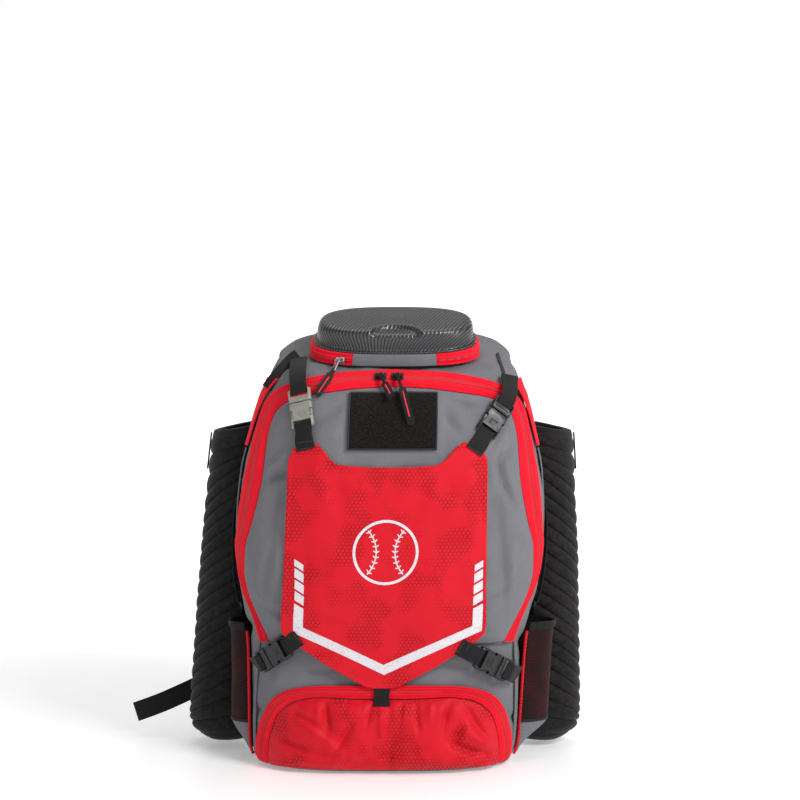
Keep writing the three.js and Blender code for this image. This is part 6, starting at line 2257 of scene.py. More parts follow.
    def _dent(self, plan: Array, height: Array) -> Array:
        """The thumb grip's depth: a crescent pressed into the lid's front edge."""
        ahead = (plan[:, 1] + self.half_depth - self.set_back) / (1.9 * self.grip_reach)
        r = np.hypot(plan[:, 0] / self.grip_half, ahead)
        steep = smooth((1 - r) / 0.17)
        lip = 0.7 * bump_at(r, 1.06, 0.1)
        return np.where(height > 0.72 * self.lid_height, 4.4 * steep - lip, 0.0)

    def _lid(self) -> Skin:
        """The lid: a rolled flange, steep walls, a soft crown and the thumb grip."""
        rows = spline(np.array(self.profile) * [1, 60, 1], 92) / [1, 60, 1]
        angle = self.even_angles(-math.pi / 2, 1.5 * math.pi, self.spokes + 1)[:-1]
        base = self.band + self.lid_gap
        aa = np.tile(angle, len(rows))
        inset, shrink, height = (np.repeat(rows[:, k], self.spokes) for k in range(3))
        plan = self.outline(aa, inset, shrink)
        up = np.maximum(0, height - self._dent(plan, height))
        outer = self.point(plan, base + up)
        thickening = self.lid_wall * smooth((height - 1.2) / 2)
        low_inset = np.maximum(inset, self.set_back - self.flange) + thickening
        low_plan = self.outline(aa, low_inset, shrink)
        low_up = np.maximum(0, up - np.minimum(self.lid_wall, np.maximum(0.0, height - 0.1)))
        inner = self.point(low_plan, base + low_up)
        tip = len(outer)
        crown = self.lid_height + 0.8
        outer = np.vstack([outer, self.point(np.zeros((1, 2)), base + crown)])
        inner = np.vstack([inner, self.point(np.zeros((1, 2)), base + crown - self.lid_wall)])
        n = self.spokes
        flat = np.vstack([plan, [[0, 0]]])
        wall = np.repeat(np.clip(rows[:, 2], 0, 20), n)
        flat[:-1] += unit(flat[:-1]) * (20 - wall)[:, None]
        return Skin(outer, grid_quads(len(rows), n, wrapped=True), fan(tip - n, n, tip), flat).walled(inner)


# The sides: bat sleeves, mesh pockets, piping, gussets, straps and rings


@dataclass
class BatSleeve:
    """An open ribbed foam sleeve on one side of the body."""

    side: int
    height: float = 384.0
    radius: float = 44.0
    floor: float = 6.0
    top_x: float = 180.0
    foot_x: float = 199.0
    depth: float = 52.0
    wall: float = 6.0
    ribs: int = 21
    rib_height: float = 3.6
    slope: float = 0.62
    turn: float = 1.9
    fade: float = 0.2
    rim_rise: float = 14.0
    seat: float = 2.2
    spokes: int = 132
    rises: tuple[float, ...] = (0, 0.02, 0.06, 0.12, 0.3, 0.65, 0.85, 1)
    girths: tuple[float, ...] = (0.45, 0.72, 0.9, 0.98, 1, 1, 0.95, 0.9)

    def __post_init__(self) -> None:
        """Makes a reader of the girths."""
        self.girth = Reader(self.rises, self.girths)

    def axis(self, z: Array | float) -> Array:
        """The sleeve's middle line."""
        return mix(self.foot_x, self.top_x, z / (self.floor + self.height))

    def rib(self, t: Array) -> Array:
        """The ribs: round crowns with narrow valleys between them."""
        phase = (t - 0.03) / 0.955 * self.ribs
        inside = (t > 0.03) & (t < 0.985)
        crown = np.abs(np.sin(math.pi * phase)) ** 0.5
        return np.where(inside, crown, 0.0)

    def point(self, angle: Array, t: Array, inset: Array | float, extra: Array | float) -> Array:
        """Points of the sleeve's wall.

        Args:
            angle: directions from the outer side.
            t: shares of the height.
            inset: how far inside the outer wall.
            extra: what ribs add.

        Returns:
            The points.
        """
        inward = (1 - np.cos(angle)) / 2
        fade = smooth(t / self.fade) * smooth((1 - t) / self.fade)
        slant = self.slope * self.radius * (np.minimum(np.abs(angle), self.turn) - self.turn / 2)
        z = self.floor + t * (self.height + self.rim_rise * inward) + slant * fade
        girth = self.girth(t)
        facing = smooth((np.cos(angle) + 0.75) * 2)
        radius = self.radius * girth - inset + extra * facing
        axis = self.axis(z)
        y = self.depth + radius * np.sin(angle)
        level = np.clip(z, 0, FORM.height)
        seat = self.seat + inset
        reach = np.where(
            np.cos(angle) > 0,
            radius,
            (axis - FORM.side_x(np.full(len(z), self.depth), level) - seat) * girth,
        )
        x = np.maximum(axis + reach * np.cos(angle), FORM.side_x(y, level) + seat)
        return np.stack([self.side * x, y, z], axis=1)

    def build(self, shop: Workshop, looks: dict[str, bpy.types.Material]) -> None:
        """Makes the sleeve, its rim binding and its pull tab."""
        label = "left" if self.side < 0 else "right"
        shop.piece(f"bat_sleeve_{label}_foam", self._skin(), looks["foam"],
                   [f"bat_sleeve_{label}"], 75)
        shop.piece(f"bat_sleeve_{label}_binding", self._binding(), looks["webbing"], (), 60)
        shop.piece(f"sleeve_pull_{label}_webbing", self._pull(), looks["cord"],
                   [f"sleeve_pull_{label}"])

    def _angles(self) -> Array:
        """Directions round the sleeve."""
        return np.linspace(-math.pi, math.pi, self.spokes, endpoint=False)

    def _skin(self) -> Skin:
        """The ribbed wall, rolled over the rim and down inside to the floor."""
        noise = SoftNoise(61 if self.side < 0 else 62)
        angle = self._angles()
        out_t = np.concatenate([[0.0, 0.01, 0.02], np.linspace(0.03, 0.985, 21 * 12 + 1), [0.99, 0.996, 1.0]])
        in_t = np.concatenate([[1.0, 0.992], np.linspace(0.96, 0.1, 24), [0.06, 0.03, 0.02]])
        rows = []
        for t in out_t:
            tt = np.full(len(angle), t)
            height = self.rib_height * (1 + 0.12 * noise(
                np.stack([angle * 40, tt * 390, 0 * angle], axis=1), (30, 16, 9)))
            rows.append(self.point(angle, tt, 0.6 * smooth((t - 0.985) / 0.015), self.rib(tt) * height))
        for t in in_t:
            tt = np.full(len(angle), t)
            p = self.point(angle, tt, self.wall * (0.92 if t == 1.0 else 1.0), 0.0)
            p[:, 2] = np.maximum(p[:, 2], self.floor + self.wall)
            rows.append(p)
        points = np.vstack(rows)
        count, n = len(rows), self.spokes
        side = self.side
        ends = np.array([
            [side * self.axis(self.floor), self.depth, self.floor],
            [side * self.axis(self.floor + self.wall), self.depth, self.floor + self.wall],
        ])
        far = np.concatenate([out_t, in_t]) * 390
        flat = np.stack(np.meshgrid(np.abs(angle) * 44, far), axis=2).reshape(-1, 2)
        tips = len(points)
        return Skin(
            np.vstack([points, ends]),
            grid_quads(count, n, wrapped=True),
            np.vstack([fan(0, n, tips, turned=True), fan((count - 1) * n, n, tips + 1)]),
            np.vstack([flat, [[0, 0], [0, 0]]]),
        )

    def _binding(self) -> Skin:
        """The folded binding sewn over the rim."""
        angle = self._angles()
        t = np.array([0.955, 0.956, 0.965, 0.972, 0.98, 0.99, 1.0, 1.0, 1.0, 0.99, 0.975, 0.956, 0.955])
        inset = np.array([-0.3, -1.7, -2.3, -1.9, -2.3, -2.2, -1.2, 3.0, 7.2, 7.9, 7.7, 7.2, 6.2])
        lift = np.array([0, 0, 0, 0, 0, 0.2, 1.0, 1.8, 1.0, 0.2, 0, 0, 0])
        aa, tt = (v.ravel() for v in np.meshgrid(angle, t, indexing="ij"))
        body = smooth((np.cos(aa) + 0.2) * 1.5)
        ins = np.tile(inset, len(angle))
        ins = np.where(ins < 0, ins * body - 0.05 * (1 - body), ins)
        p = self.point(aa, tt, np.maximum(ins, 0.0), np.maximum(-ins, 0.0))
        p[:, 2] += np.tile(lift, len(angle))
        flat = np.stack(np.meshgrid(np.linspace(0, 16, len(t)), angle * 44), axis=2).reshape(-1, 2)
        return Skin(p, grid_quads_torus(len(angle), len(t)), flat=flat)

    def _pull(self) -> Skin:
        """The short tab that hangs at the sleeve's rim."""
        top = self.floor + self.height
        rises = np.array([0.995, 0.975, 0.96, 0.94, 0.92, 0.9, 0.88]) * top
        girth = self.girth(rises / top)
        reach = self.axis(rises) + self.radius * girth + self.rib_height + 0.75
        route = [(self.side * x, self.depth, z) for x, z in zip(reach, rises)]
        return Sweep(route, (0, 1, 0), 40).skin(webbing_loop(8.0, 1.6))


def grid_quads_torus(rows: int, columns: int) -> Array:
    """Faces of a grid that is wrapped both ways."""
    return grid_quads(rows, columns, wrapped=True, looped=True)


@dataclass
class SidePocket:
    """A low pocket on one side: a net above a cloth base, with a bound mouth."""

    side: int
    reach: float
    front: float = -0.42 * 110.0
    back: float = 0.055 * 108.0
    foot: float = 10.0
    base_top: float = 50.0
    mouth: float = 168.0
    seat: float = 2.5
    wall: float = 2.0

    def point(self, u: Array, z: Array, extra: Array | float) -> Array:
        """Points of the pocket's cloth at a share of its depth and a height."""
        y = mix(self.front, self.back, u)
        full = np.clip(np.sin(math.pi * u), 0, 1) ** 0.6
        full = full * smooth((z - self.foot) / (self.base_top - self.foot))
        x = FORM.side_x(y, z) + self.seat + self.reach * full + extra
        return np.stack([self.side * x, y, z], axis=1)

    def build(self, shop: Workshop, looks: dict[str, bpy.types.Material]) -> None:
        """Makes the net, its mouth binding, the base and the base's edge."""
        label = "left" if self.side < 0 else "right"
        net = self._wall(self.base_top + 0.6, self.mouth, 70, 0.7)
        shop.piece(f"side_pocket_{label}_net", net, looks["net"], [f"side_pocket_{label}"])
        shop.piece(f"side_pocket_{label}_mouth", self._band(self.mouth - 9, self.mouth + 0.5, 1.5),
                   looks["webbing"], ())
        base = self._wall(self.foot, self.base_top, 34, 0.9)
        shop.piece(f"pocket_base_{label}_cloth", base, looks["grey"], [f"pocket_base_{label}"])
        shop.piece(f"pocket_base_{label}_edge", self._band(self.base_top - 3.6, self.base_top + 0.2, 1.1),
                   looks["lining"], ())

    def _wall(self, low: float, high: float, rows: int, rumple: float) -> Skin:
        """A stretch of the pocket's cloth."""
        noise = SoftNoise(71 if self.side < 0 else 72)
        u = 0.5 - 0.5 * np.cos(np.linspace(0, math.pi, 56))
        z = np.linspace(low, high, rows)
        zz, uu = (v.ravel() for v in np.meshgrid(z, u, indexing="ij"))
        p = np.stack([uu * 60, zz, 0 * zz], axis=1)
        soft = rumple * (noise(p, (16, 34, 9)) + 0.5 * noise(p + 30, (8, 15, 9)))
        inside = bump_at(uu, 0.5, 0.5)
        extra = np.minimum(soft, 0.5) * inside - 0.9 * smooth((z[-1] - zz) / 30) * bump_at(uu, 0.62, 0.16)
        flat = np.stack(np.meshgrid(u * 78, z), axis=2)
        outer = self.point(uu, zz, self.wall + extra)
        return grid_skin(flat, outer, self.point(uu, zz, self.wall * 0.4 + extra))

    def _band(self, low: float, high: float, proud: float) -> Skin:
        """A bound edge folded over the cloth."""
        u = 0.5 - 0.5 * np.cos(np.linspace(0, math.pi, 56))
        share = np.array([0, 0.02, 0.1, 0.18, 0.5, 0.82, 0.9, 0.98, 1])
        lift = np.array([-0.6, 0.4, 0.9, 0.65, 1, 0.65, 0.95, 0.5, -0.6]) * proud
        zz, uu = (v.ravel() for v in np.meshgrid(mix(low, high, share), u, indexing="ij"))
        high_lift = np.repeat(lift, len(u))
        gather = 0.14 * np.sin(uu * 150)
        flat = np.stack(np.meshgrid(u * 78, mix(low, high, share)), axis=2)
        outer = self.point(uu, zz, self.wall + high_lift + gather)
        return grid_skin(flat, outer, self.point(uu, zz, 0.3 * self.wall))


# The gusset across its width: shares, and the lift in millimetres at each.
GUSSET_SHARES = (0, 0.03, 0.1, 0.16, 0.2, 0.24, 0.5, 0.76, 0.8, 0.84, 0.9, 0.97, 1)
GUSSET_LIFTS = (-0.5, 0, 0.15, 0.1, -0.35, 0.1, 0.3, 0.1, -0.35, 0.1, 0.15, 0, -0.5)

# The D ring's wire: places across it and below its bar, in half widths of the ring.
RING_ROUTE = (
    *((-1.1, 0), (-0.6, 0), (0, 0), (0.6, 0), (1.1, 0)),
    *((1.2, 0.5), (0.8, 1.15), (0, 1.45), (-0.8, 1.15), (-1.2, 0.5)),
)


@dataclass
class SideTrims:
    """What else is sewn to one side: piping, the zip's gusset, a strip and its ring."""

    side: int
    piping: float = 1.8
    strip_head: float = 338.0
    strip_foot: float = 188.0
    strip_width: float = 20.0
    slack: float = 9.0
    wire: float = 3.4
    ring_half: float = 11.0
    depth: float = -0.12 * 110.0

    def on_strip(self, z: float, lift: float) -> Array:
        """A point over the strip's line at a height and a lift."""
        x = float(FORM.side_x(np.array([self.depth - self.strip_width / 2]), np.array([z]))[0])
        return np.array([self.side * (x + lift), self.depth, z])

    def build(self, shop: Workshop, looks: dict[str, bpy.types.Material]) -> None:
        """Makes every trim of the side."""
        label = "left" if self.side < 0 else "right"
        shop.piece(f"side_piping_{label}_cord", self._piping(), looks["red"],
                   [f"side_piping_{label}"], 70)
        shop.piece(f"side_gusset_{label}_tape", self._gusset(), looks["tape"],
                   [f"side_gusset_{label}"])
        strip, ring = self._strip_and_ring()
        shop.piece(f"loop_strip_{label}_webbing", strip, looks["webbing"],
                   [f"loop_strip_{label}"])
        shop.piece(f"side_ring_{label}_wire", ring, looks["dark_metal"],
                   [f"side_ring_{label}"], 80)

    def _piping(self) -> Skin:
        """The round piping in front of the pocket, puckered by its stitches."""
        y = -0.42 * FORM.front - self.piping - 0.15 + 0.5
        z = np.linspace(0.02, 0.31, 40) * FORM.height
        route = FORM.on_side(self.side, np.full(len(z), y), z, 0.75 + self.piping)
        sweep = Sweep(route, (0, 1, 0), 160)
        swell = 1 + 0.05 * np.sin(sweep.far * 1.3)
        return sweep.skin(round_loop(self.piping, 16)[None] * swell[:, None, None])

    def _gusset(self) -> Skin:
        """The red gusset below the zip's end, with its stitch lines."""
        t, lift = np.array(GUSSET_SHARES), np.array(GUSSET_LIFTS)
        z = np.linspace(0.745, 0.9, 70) * FORM.height
        zz, tt = (v.ravel() for v in np.meshgrid(z, t, indexing="ij"))
        y = mix(-0.46 * FORM.front, -0.12 * FORM.front, tt)
        noise = SoftNoise(81)(np.stack([y, zz, 0 * y], axis=1), 9) * 0.3
        high = FIT.tape_seat + FIT.tape + np.tile(lift, len(z)) + noise
        flat = np.stack(np.meshgrid(t * 24, z), axis=2)
        return grid_skin(flat, FORM.on_side(self.side, y, zz, high),
                         FORM.on_side(self.side, y, zz, np.full(len(y), FIT.tape_seat)))

    def _strip_and_ring(self) -> tuple[Skin, Skin]:
        """The hanging strip and the D ring in its lower loop."""
        ring_z = self.strip_foot + self.wire / 2
        turn = self.wire / 2 + FIT.tape_seat + FIT.webbing / 2
        bar = FIT.seat + FIT.webbing + turn
        loose = [
            (self.strip_head, FIT.seat + FIT.webbing / 2 - 0.7),
            (mix(self.strip_foot, self.strip_head, 0.75), self.slack * 0.7),
            (mix(self.strip_foot, self.strip_head, 0.4), self.slack),
            (mix(self.strip_foot, self.strip_head, 0.12), bar + turn * 1.1),
        ]
        route = [self.on_strip(z, lift) for z, lift in loose]
        for degrees in (0, 30, 60, 90, 120, 150, 180):
            a = math.radians(degrees)
            route.append(self.on_strip(ring_z - turn * math.sin(a), bar + turn * math.cos(a)))
        route.append(self.on_strip(ring_z + 2 * turn, bar - turn * 0.9))
        strip = Sweep(route, (0, 1, 0), 170).skin(webbing_loop(self.strip_width, FIT.webbing))
        line = [self.on_strip(ring_z - drop * self.ring_half, bar) + [0, across * self.ring_half, 0]
                for across, drop in RING_ROUTE]
        return strip, ring_skin(np.array(line), self.wire / 2)


def ring_skin(points: Array, radius: float, count: int = 120, sides: int = 16) -> Skin:
    """A closed ring of round wire through points that lie near one plane."""
    wrapped = np.vstack([points[-3:], points, points[:3]])
    path = spline(wrapped, 40 * len(wrapped))
    start = int(np.argmin(np.linalg.norm(path - points[0], axis=1)))
    later = path[start + 20 :]
    end = start + 20 + int(np.argmin(np.linalg.norm(later - points[0], axis=1)))
    ring = evenly(path[start:end], count, closed=True)
    along = unit(np.roll(ring, -1, axis=0) - np.roll(ring, 1, axis=0))
    spread = ring - ring.mean(0)
    _, _, axes = np.linalg.svd(spread)
    out = np.broadcast_to(axes[2], ring.shape)
    inward = np.cross(along, out)
    a = np.linspace(0, 2 * math.pi, sides, endpoint=False)
    skin = ring[:, None] + radius * (
        np.cos(a)[None, :, None] * out[:, None] + np.sin(a)[None, :, None] * inward[:, None]
    )
    flat = np.stack(np.meshgrid(a * radius, np.arange(count) * 0.8), axis=2).reshape(-1, 2)
    return Skin(skin.reshape(-1, 3), grid_quads_torus(count, sides), flat=flat)


# Zip sliders and their pulls


@dataclass
class ZipSliders:
    """The two sliders of the main zip, the case's slider and their pulls."""

    case: TopCase
    length: float = 12.0
    width: float = 9.0
    height: float = 5.0
    pull_width: float = 8.0
    pull_wall: float = 1.6
    case_foot: tuple[float, float] = (-0.47, 0.862)

    def _pattern(self) -> HardPart:
        """A slider: a waisted plate with flared wings under a bridge, and a pull's eye."""
        l, w = self.length / 2, self.width / 2
        part = HardPart("slider")
        plate = part.block((-l, -w, 0), (l, w, 0.4 * self.height), 0.8)
        part.add(plate)
        part.cut(
            part.block((-l - 1, w - 1.3, -1), (0.2, w + 1, 3), 0.5),
            part.block((-l - 1, -w - 1, -1), (0.2, -w + 1.3, 3), 0.5),
        )
        part.softened(0.25)
        bridge = [
            part.block((-l + 0.4, -1.3, 1.8), (-l + 2.2, 1.3, self.height), 0.3),
            part.block((l - 2.2, -1.3, 1.8), (l - 0.4, 1.3, self.height), 0.3),
            part.block((-l + 0.4, -1.3, self.height - 1.3), (l - 0.4, 1.3, self.height), 0.4),
        ]
        return part.add(*bridge)

    def _round_pattern(self) -> HardPart:
        """A black slider: a rounded plate with a domed bridge and a pull's staple."""
        part = HardPart("round_slider")
        part.add(
            part.block((-7, -4.8, 0), (7, 4.8, 2.4), 1.1),
            part.block((-5.2, -3.2, 1.8), (5.2, 3.2, self.height), 1.4),
            part.block((-2.2, -5.6, 1.2), (2.2, -2.6, self.height - 0.6), 0.8),
        )
        return part

    def _plate_pattern(self) -> HardPart:
        """The long plate of the case's pull, with an eye at its head and one at its foot."""
        part = HardPart("plate")
        part.add(part.block((-4.8, -19.0, 0), (4.8, 2.4, 1.6), 0.7))
        part.cut(
            part.block((-2.6, -6.0, -2), (2.6, 0.4, 4), 0.3),
            part.block((-3.0, -17.2, -2), (3.0, -12.6, 4), 0.3),
        )
        return part

    def build(self, shop: Workshop, looks: dict[str, bpy.types.Material]) -> None:
        """Makes the sliders and the pulls."""
        pattern, dome = self._pattern(), self._round_pattern()
        front_top = FIT.tape_seat + FIT.tape + FIT.coil
        pulls = (
            ("left", (-0.085, 0.904), (-0.012, 0.852)),
            ("right", (0.02, 0.904), (0.115, 0.8)),
        )
        for label, slider, end in pulls:
            x, z = slider[0] * FORM.half_width, slider[1] * FORM.height
            ax, az = np.array([x]), np.array([z])
            up = FORM.normal(np.stack([ax, FORM.front_y(ax, az), az], axis=1))[0]
            along = unit((np.array([1.0, 0, 0]) - up * up[0])[None])[0]
            at = FORM.on_front(ax, az, front_top + 0.4)[0]
            made = dome.copied(f"zip_slider_{label}_casting", Seating(at, along, np.cross(up, along), up))
            shop.finish(made, looks["dark_metal"], [f"zip_slider_{label}"])
            far = (end[0] * FORM.half_width, end[1] * FORM.height)
            sweep, skin = self._pull((x, z), far, front_top)
            shop.piece(f"zip_pull_{label}_cord", skin, looks["cord"],
                       [f"zip_pull_{label}"], 70)
            shop.piece(f"zip_pull_{label}_line", self._line(sweep, 38, 78), looks["red_thread"])
        self._case_slider(shop, looks, pattern, front_top)
        pattern.cleared()
        dome.cleared()

    def _line(self, sweep: Sweep, first: int, last: int) -> Skin:
        """The raised red line along a pull, between two of its stations."""
        count = last - first
        line = Sweep(sweep.at[np.linspace(first, last, 5).astype(int)], sweep.side[first], count)
        thin = np.stack([round_loop(1.05, 8)[:, 0], round_loop(self.pull_wall / 2 + 0.5, 8)[:, 1]], axis=1)
        return line.skin(thin)

    def _pull(
        self, start: tuple[float, float], end: tuple[float, float], top: float
    ) -> tuple[Sweep, Skin]:
        """A moulded pull that hangs over the panel: a cord and a ribbed grip."""
        over_patch = 15 + FIT.cloth + 3 * FIT.seat + 2.0 + self.pull_wall
        over_slider = top + self.height + 0.8
        t = np.linspace(0, 1, 90)
        x, z = mix(start[0], end[0], t), mix(start[1], end[1], t)
        lift = mix(over_patch, over_slider, smooth((z - start[1] + 28) / 20)) + self.pull_wall / 2
        centre = FORM.on_front(x, z, lift)
        way = np.array([end[0] - start[0], 0, end[1] - start[1]])
        across = np.array([-way[2], 0, way[0]])
        sweep = Sweep(centre, across, len(t))
        share = sweep.far / sweep.far[-1]
        grip = smooth((share - 0.3) / 0.08)
        half = mix(1.9, 0.56 * self.pull_width, grip) * (1 - 0.22 * smooth((share - 0.95) / 0.05))
        ribs = 0.16 * np.sin(sweep.far * 2.2) * bump_at(share, 0.66, 0.3) * grip
        wall = self.pull_wall * mix(1.3, 1.0, grip) + ribs
        loop = webbing_loop(2.0, 1.0)[None] * np.stack([half, wall], axis=1)[:, None]
        return sweep, sweep.skin(loop)

    def _case_slider(
        self, shop: Workshop, looks: dict[str, bpy.types.Material], pattern: HardPart, top: float
    ) -> None:
        """Makes the case's bright slider, its ring plate and its hanging pull.

        Args:
            shop: makes the pieces.
            looks: the materials.
            pattern: the slider to copy.
            top: the height of the main zip's coil.
        """
        case = self.case
        angle = np.array([math.pi + case.hinge_angle - 0.14])
        half = 0.5 * case.band
        spot = case.point(case.outline(angle, case.band_lean / 2), half)[0]
        ahead = case.point(case.outline(angle, case.band_lean / 2 - 1), half)[0]
        facing = unit((ahead - spot)[None])[0]
        side = unit(np.cross(case.up, facing)[None])[0]
        at = spot + facing * (FIT.coil + 3 * FIT.seat)
        seat = Seating(at, side, np.cross(facing, side), facing)
        made = pattern.copied("case_slider_casting", seat)
        shop.finish(made, looks["silver"], ["case_slider"])
        head = at + facing * (self.height + 0.6)
        ax, az = np.array([self.case_foot[0] * FORM.half_width]), np.array([self.case_foot[1] * FORM.height])
        foot = FORM.on_front(ax, az, top + 3 * self.pull_wall)[0]
        way = unit((mix(head, foot, 0.5) + [4, -4, 0] - head)[None])[0]
        across = unit(np.cross(facing, way)[None])[0]
        plate = self._plate_pattern()
        ring = plate.copied("case_slider_plate", Seating(head, across, -way, np.cross(across, -way)))
        plate.cleared()
        shop.finish(ring, looks["silver"], ())
        head = head + way * 15.0 + facing * 1.2
        middle = mix(head, foot, 0.5) + [0, -4, 0]
        sweep = Sweep([head, middle, foot], (0.8, 0, -0.6), 70)
        share = sweep.far / sweep.far[-1]
        wide = mix(0.6, 1.12, smooth((share - 0.14) / 0.08)) * (1 - 0.2 * smooth((share - 0.95) / 0.05))
        loop = webbing_loop(self.pull_width, self.pull_wall)[None] * np.stack(
            [wide, np.ones(len(wide))], axis=1)[:, None]
        shop.piece("case_pull_cord", sweep.skin(loop), looks["cord"], ["case_pull"], 70)
        shop.piece("case_pull_line", self._line(sweep, 22, 62), looks["red_thread"])


# The back: pad, handle, shoulder straps, adjusters and webbing tails


@dataclass
class PaddedBack:
    """The quilted back pad and the grab handle."""

    wall: float = 13.0
    half_width: float = 104.0
    foot: float = 44.0
    head: float = 438.0
    handle_rise: float = 0.956
    handle_half: float = 46.0
    handle_reach: float = 26.0
    pad_height: float = 394.0
    handle_wall: float = 5.0
    handle_width: float = 20.0

    def build(self, shop: Workshop, looks: dict[str, bpy.types.Material]) -> None:
        """Makes the pad, its binding and the handle."""
        pad = shop.piece("back_pad_mesh", self._pad(), looks["spacer"], ["back_pad"], 70)
        shop.piece("back_pad_binding", self._binding(), looks["webbing"], ())
        shop.piece("grab_handle_webbing", self._handle(), looks["webbing"], ["grab_handle"])

    def _place(self, u: Array, v: Array) -> tuple[Array, Array]:
        """The x and z of a share of the pad's width and height."""
        half = self.half_width * (1 - 0.12 * np.abs(2 * v - 1) ** 4)
        return u * half, mix(self.foot, self.head, v)

    def _pad(self) -> Skin:
        """The pad with its sewn channels."""
        noise = SoftNoise(91)
        u = np.linspace(-1, 1, 121)
        v = np.linspace(0, 1, 211)
        vv, uu = (w.ravel() for w in np.meshgrid(v, u, indexing="ij"))
        x, z = self._place(uu, vv)
        edge = np.minimum((1 - np.abs(uu)) * self.half_width, np.minimum(vv, 1 - vv) * self.pad_height)
        full = 0.4 + 0.6 * (1 - (1 - np.clip(edge / 17, 0, 1)) ** 2.2)
        upright = np.exp(-(((np.abs(uu) - 0.12) * self.half_width / 3.2) ** 2))
        away = (np.abs(vv - 0.5) - 0.16) * self.pad_height / 3.4
        level = np.exp(-(away**2)) * smooth((np.abs(uu) - 0.12) / 0.04)
        channel = np.maximum(upright * smooth(edge / 14), level * smooth(edge / 10))
        puffed = noise(np.stack([x, z, 0 * x], axis=1), (40, 40, 40)) * 0.5
        high = self.wall * (full - 0.5 * channel) + puffed * (1 - channel) * smooth(edge / 20)
        flat = np.stack(np.meshgrid(u * self.half_width, v * self.pad_height), axis=2)
        return grid_skin(flat, FORM.on_back(x, z, FIT.tape_seat + high),
                         FORM.on_back(x, z, np.full(len(x), FIT.tape_seat)))

    def _binding(self) -> Skin:
        """The tape sewn round the pad's edge."""
        corners = np.array([[-1, 0], [1, 0], [1, 1], [-1, 1]]) * [self.half_width, self.pad_height]
        ring = evenly(corners, 560, closed=True)
        inset = np.array([-1.2, -0.9, 0.6, 2.6, 5.2, 6.6, 7.2])
        lift = np.array([0.3, 3.2, 5.9, 6.5, 7.6, 8.4, 7.2])
        middle = np.array([0, self.pad_height / 2])
        scale = 1 - inset[None, :, None] / np.array([self.half_width, self.pad_height / 2])
        flat = middle + (ring - middle)[:, None] * scale
        u, v = flat.reshape(-1, 2).T
        x, z = self._place(u / self.half_width, np.clip(v / self.pad_height, -0.01, 1.01))
        high = FIT.tape_seat + np.tile(lift, len(ring)) + 0.3
        return Skin(
            FORM.on_back(x, z, high),
            grid_quads(len(ring), len(inset), looped=True),
            flat=flat.reshape(-1, 2),
        ).walled(FORM.on_back(x, z, high - 1.4))

    def _handle(self) -> Skin:
        """The arched handle of doubled webbing with a stitched roll."""
        height = self.handle_rise * FORM.height
        route = []
        for share in (-1.35, -1.1, -0.85, -0.45, 0, 0.45, 0.85, 1.1, 1.35):
            x = share * self.handle_half
            out = self.handle_reach * float(smooth((1.15 - abs(share)) / 0.9))
            rear = float(FORM.back_y(np.array([x]), np.array([height - self.handle_width / 2]))[0])
            route.append((x, rear + 0.6 + 0.35 * self.handle_wall + out, height))
        sweep = Sweep(route, (0, 0, 1), 150)
        share = np.abs(np.linspace(-1, 1, 150))
        grip = smooth((0.62 - share) / 0.12)
        scale = np.stack([mix(1.0, 0.82, grip), mix(0.7, 1.0, grip)], axis=1)
        loop = webbing_loop(self.handle_width, self.handle_wall)
        return sweep.skin(loop[None] * scale[:, None])


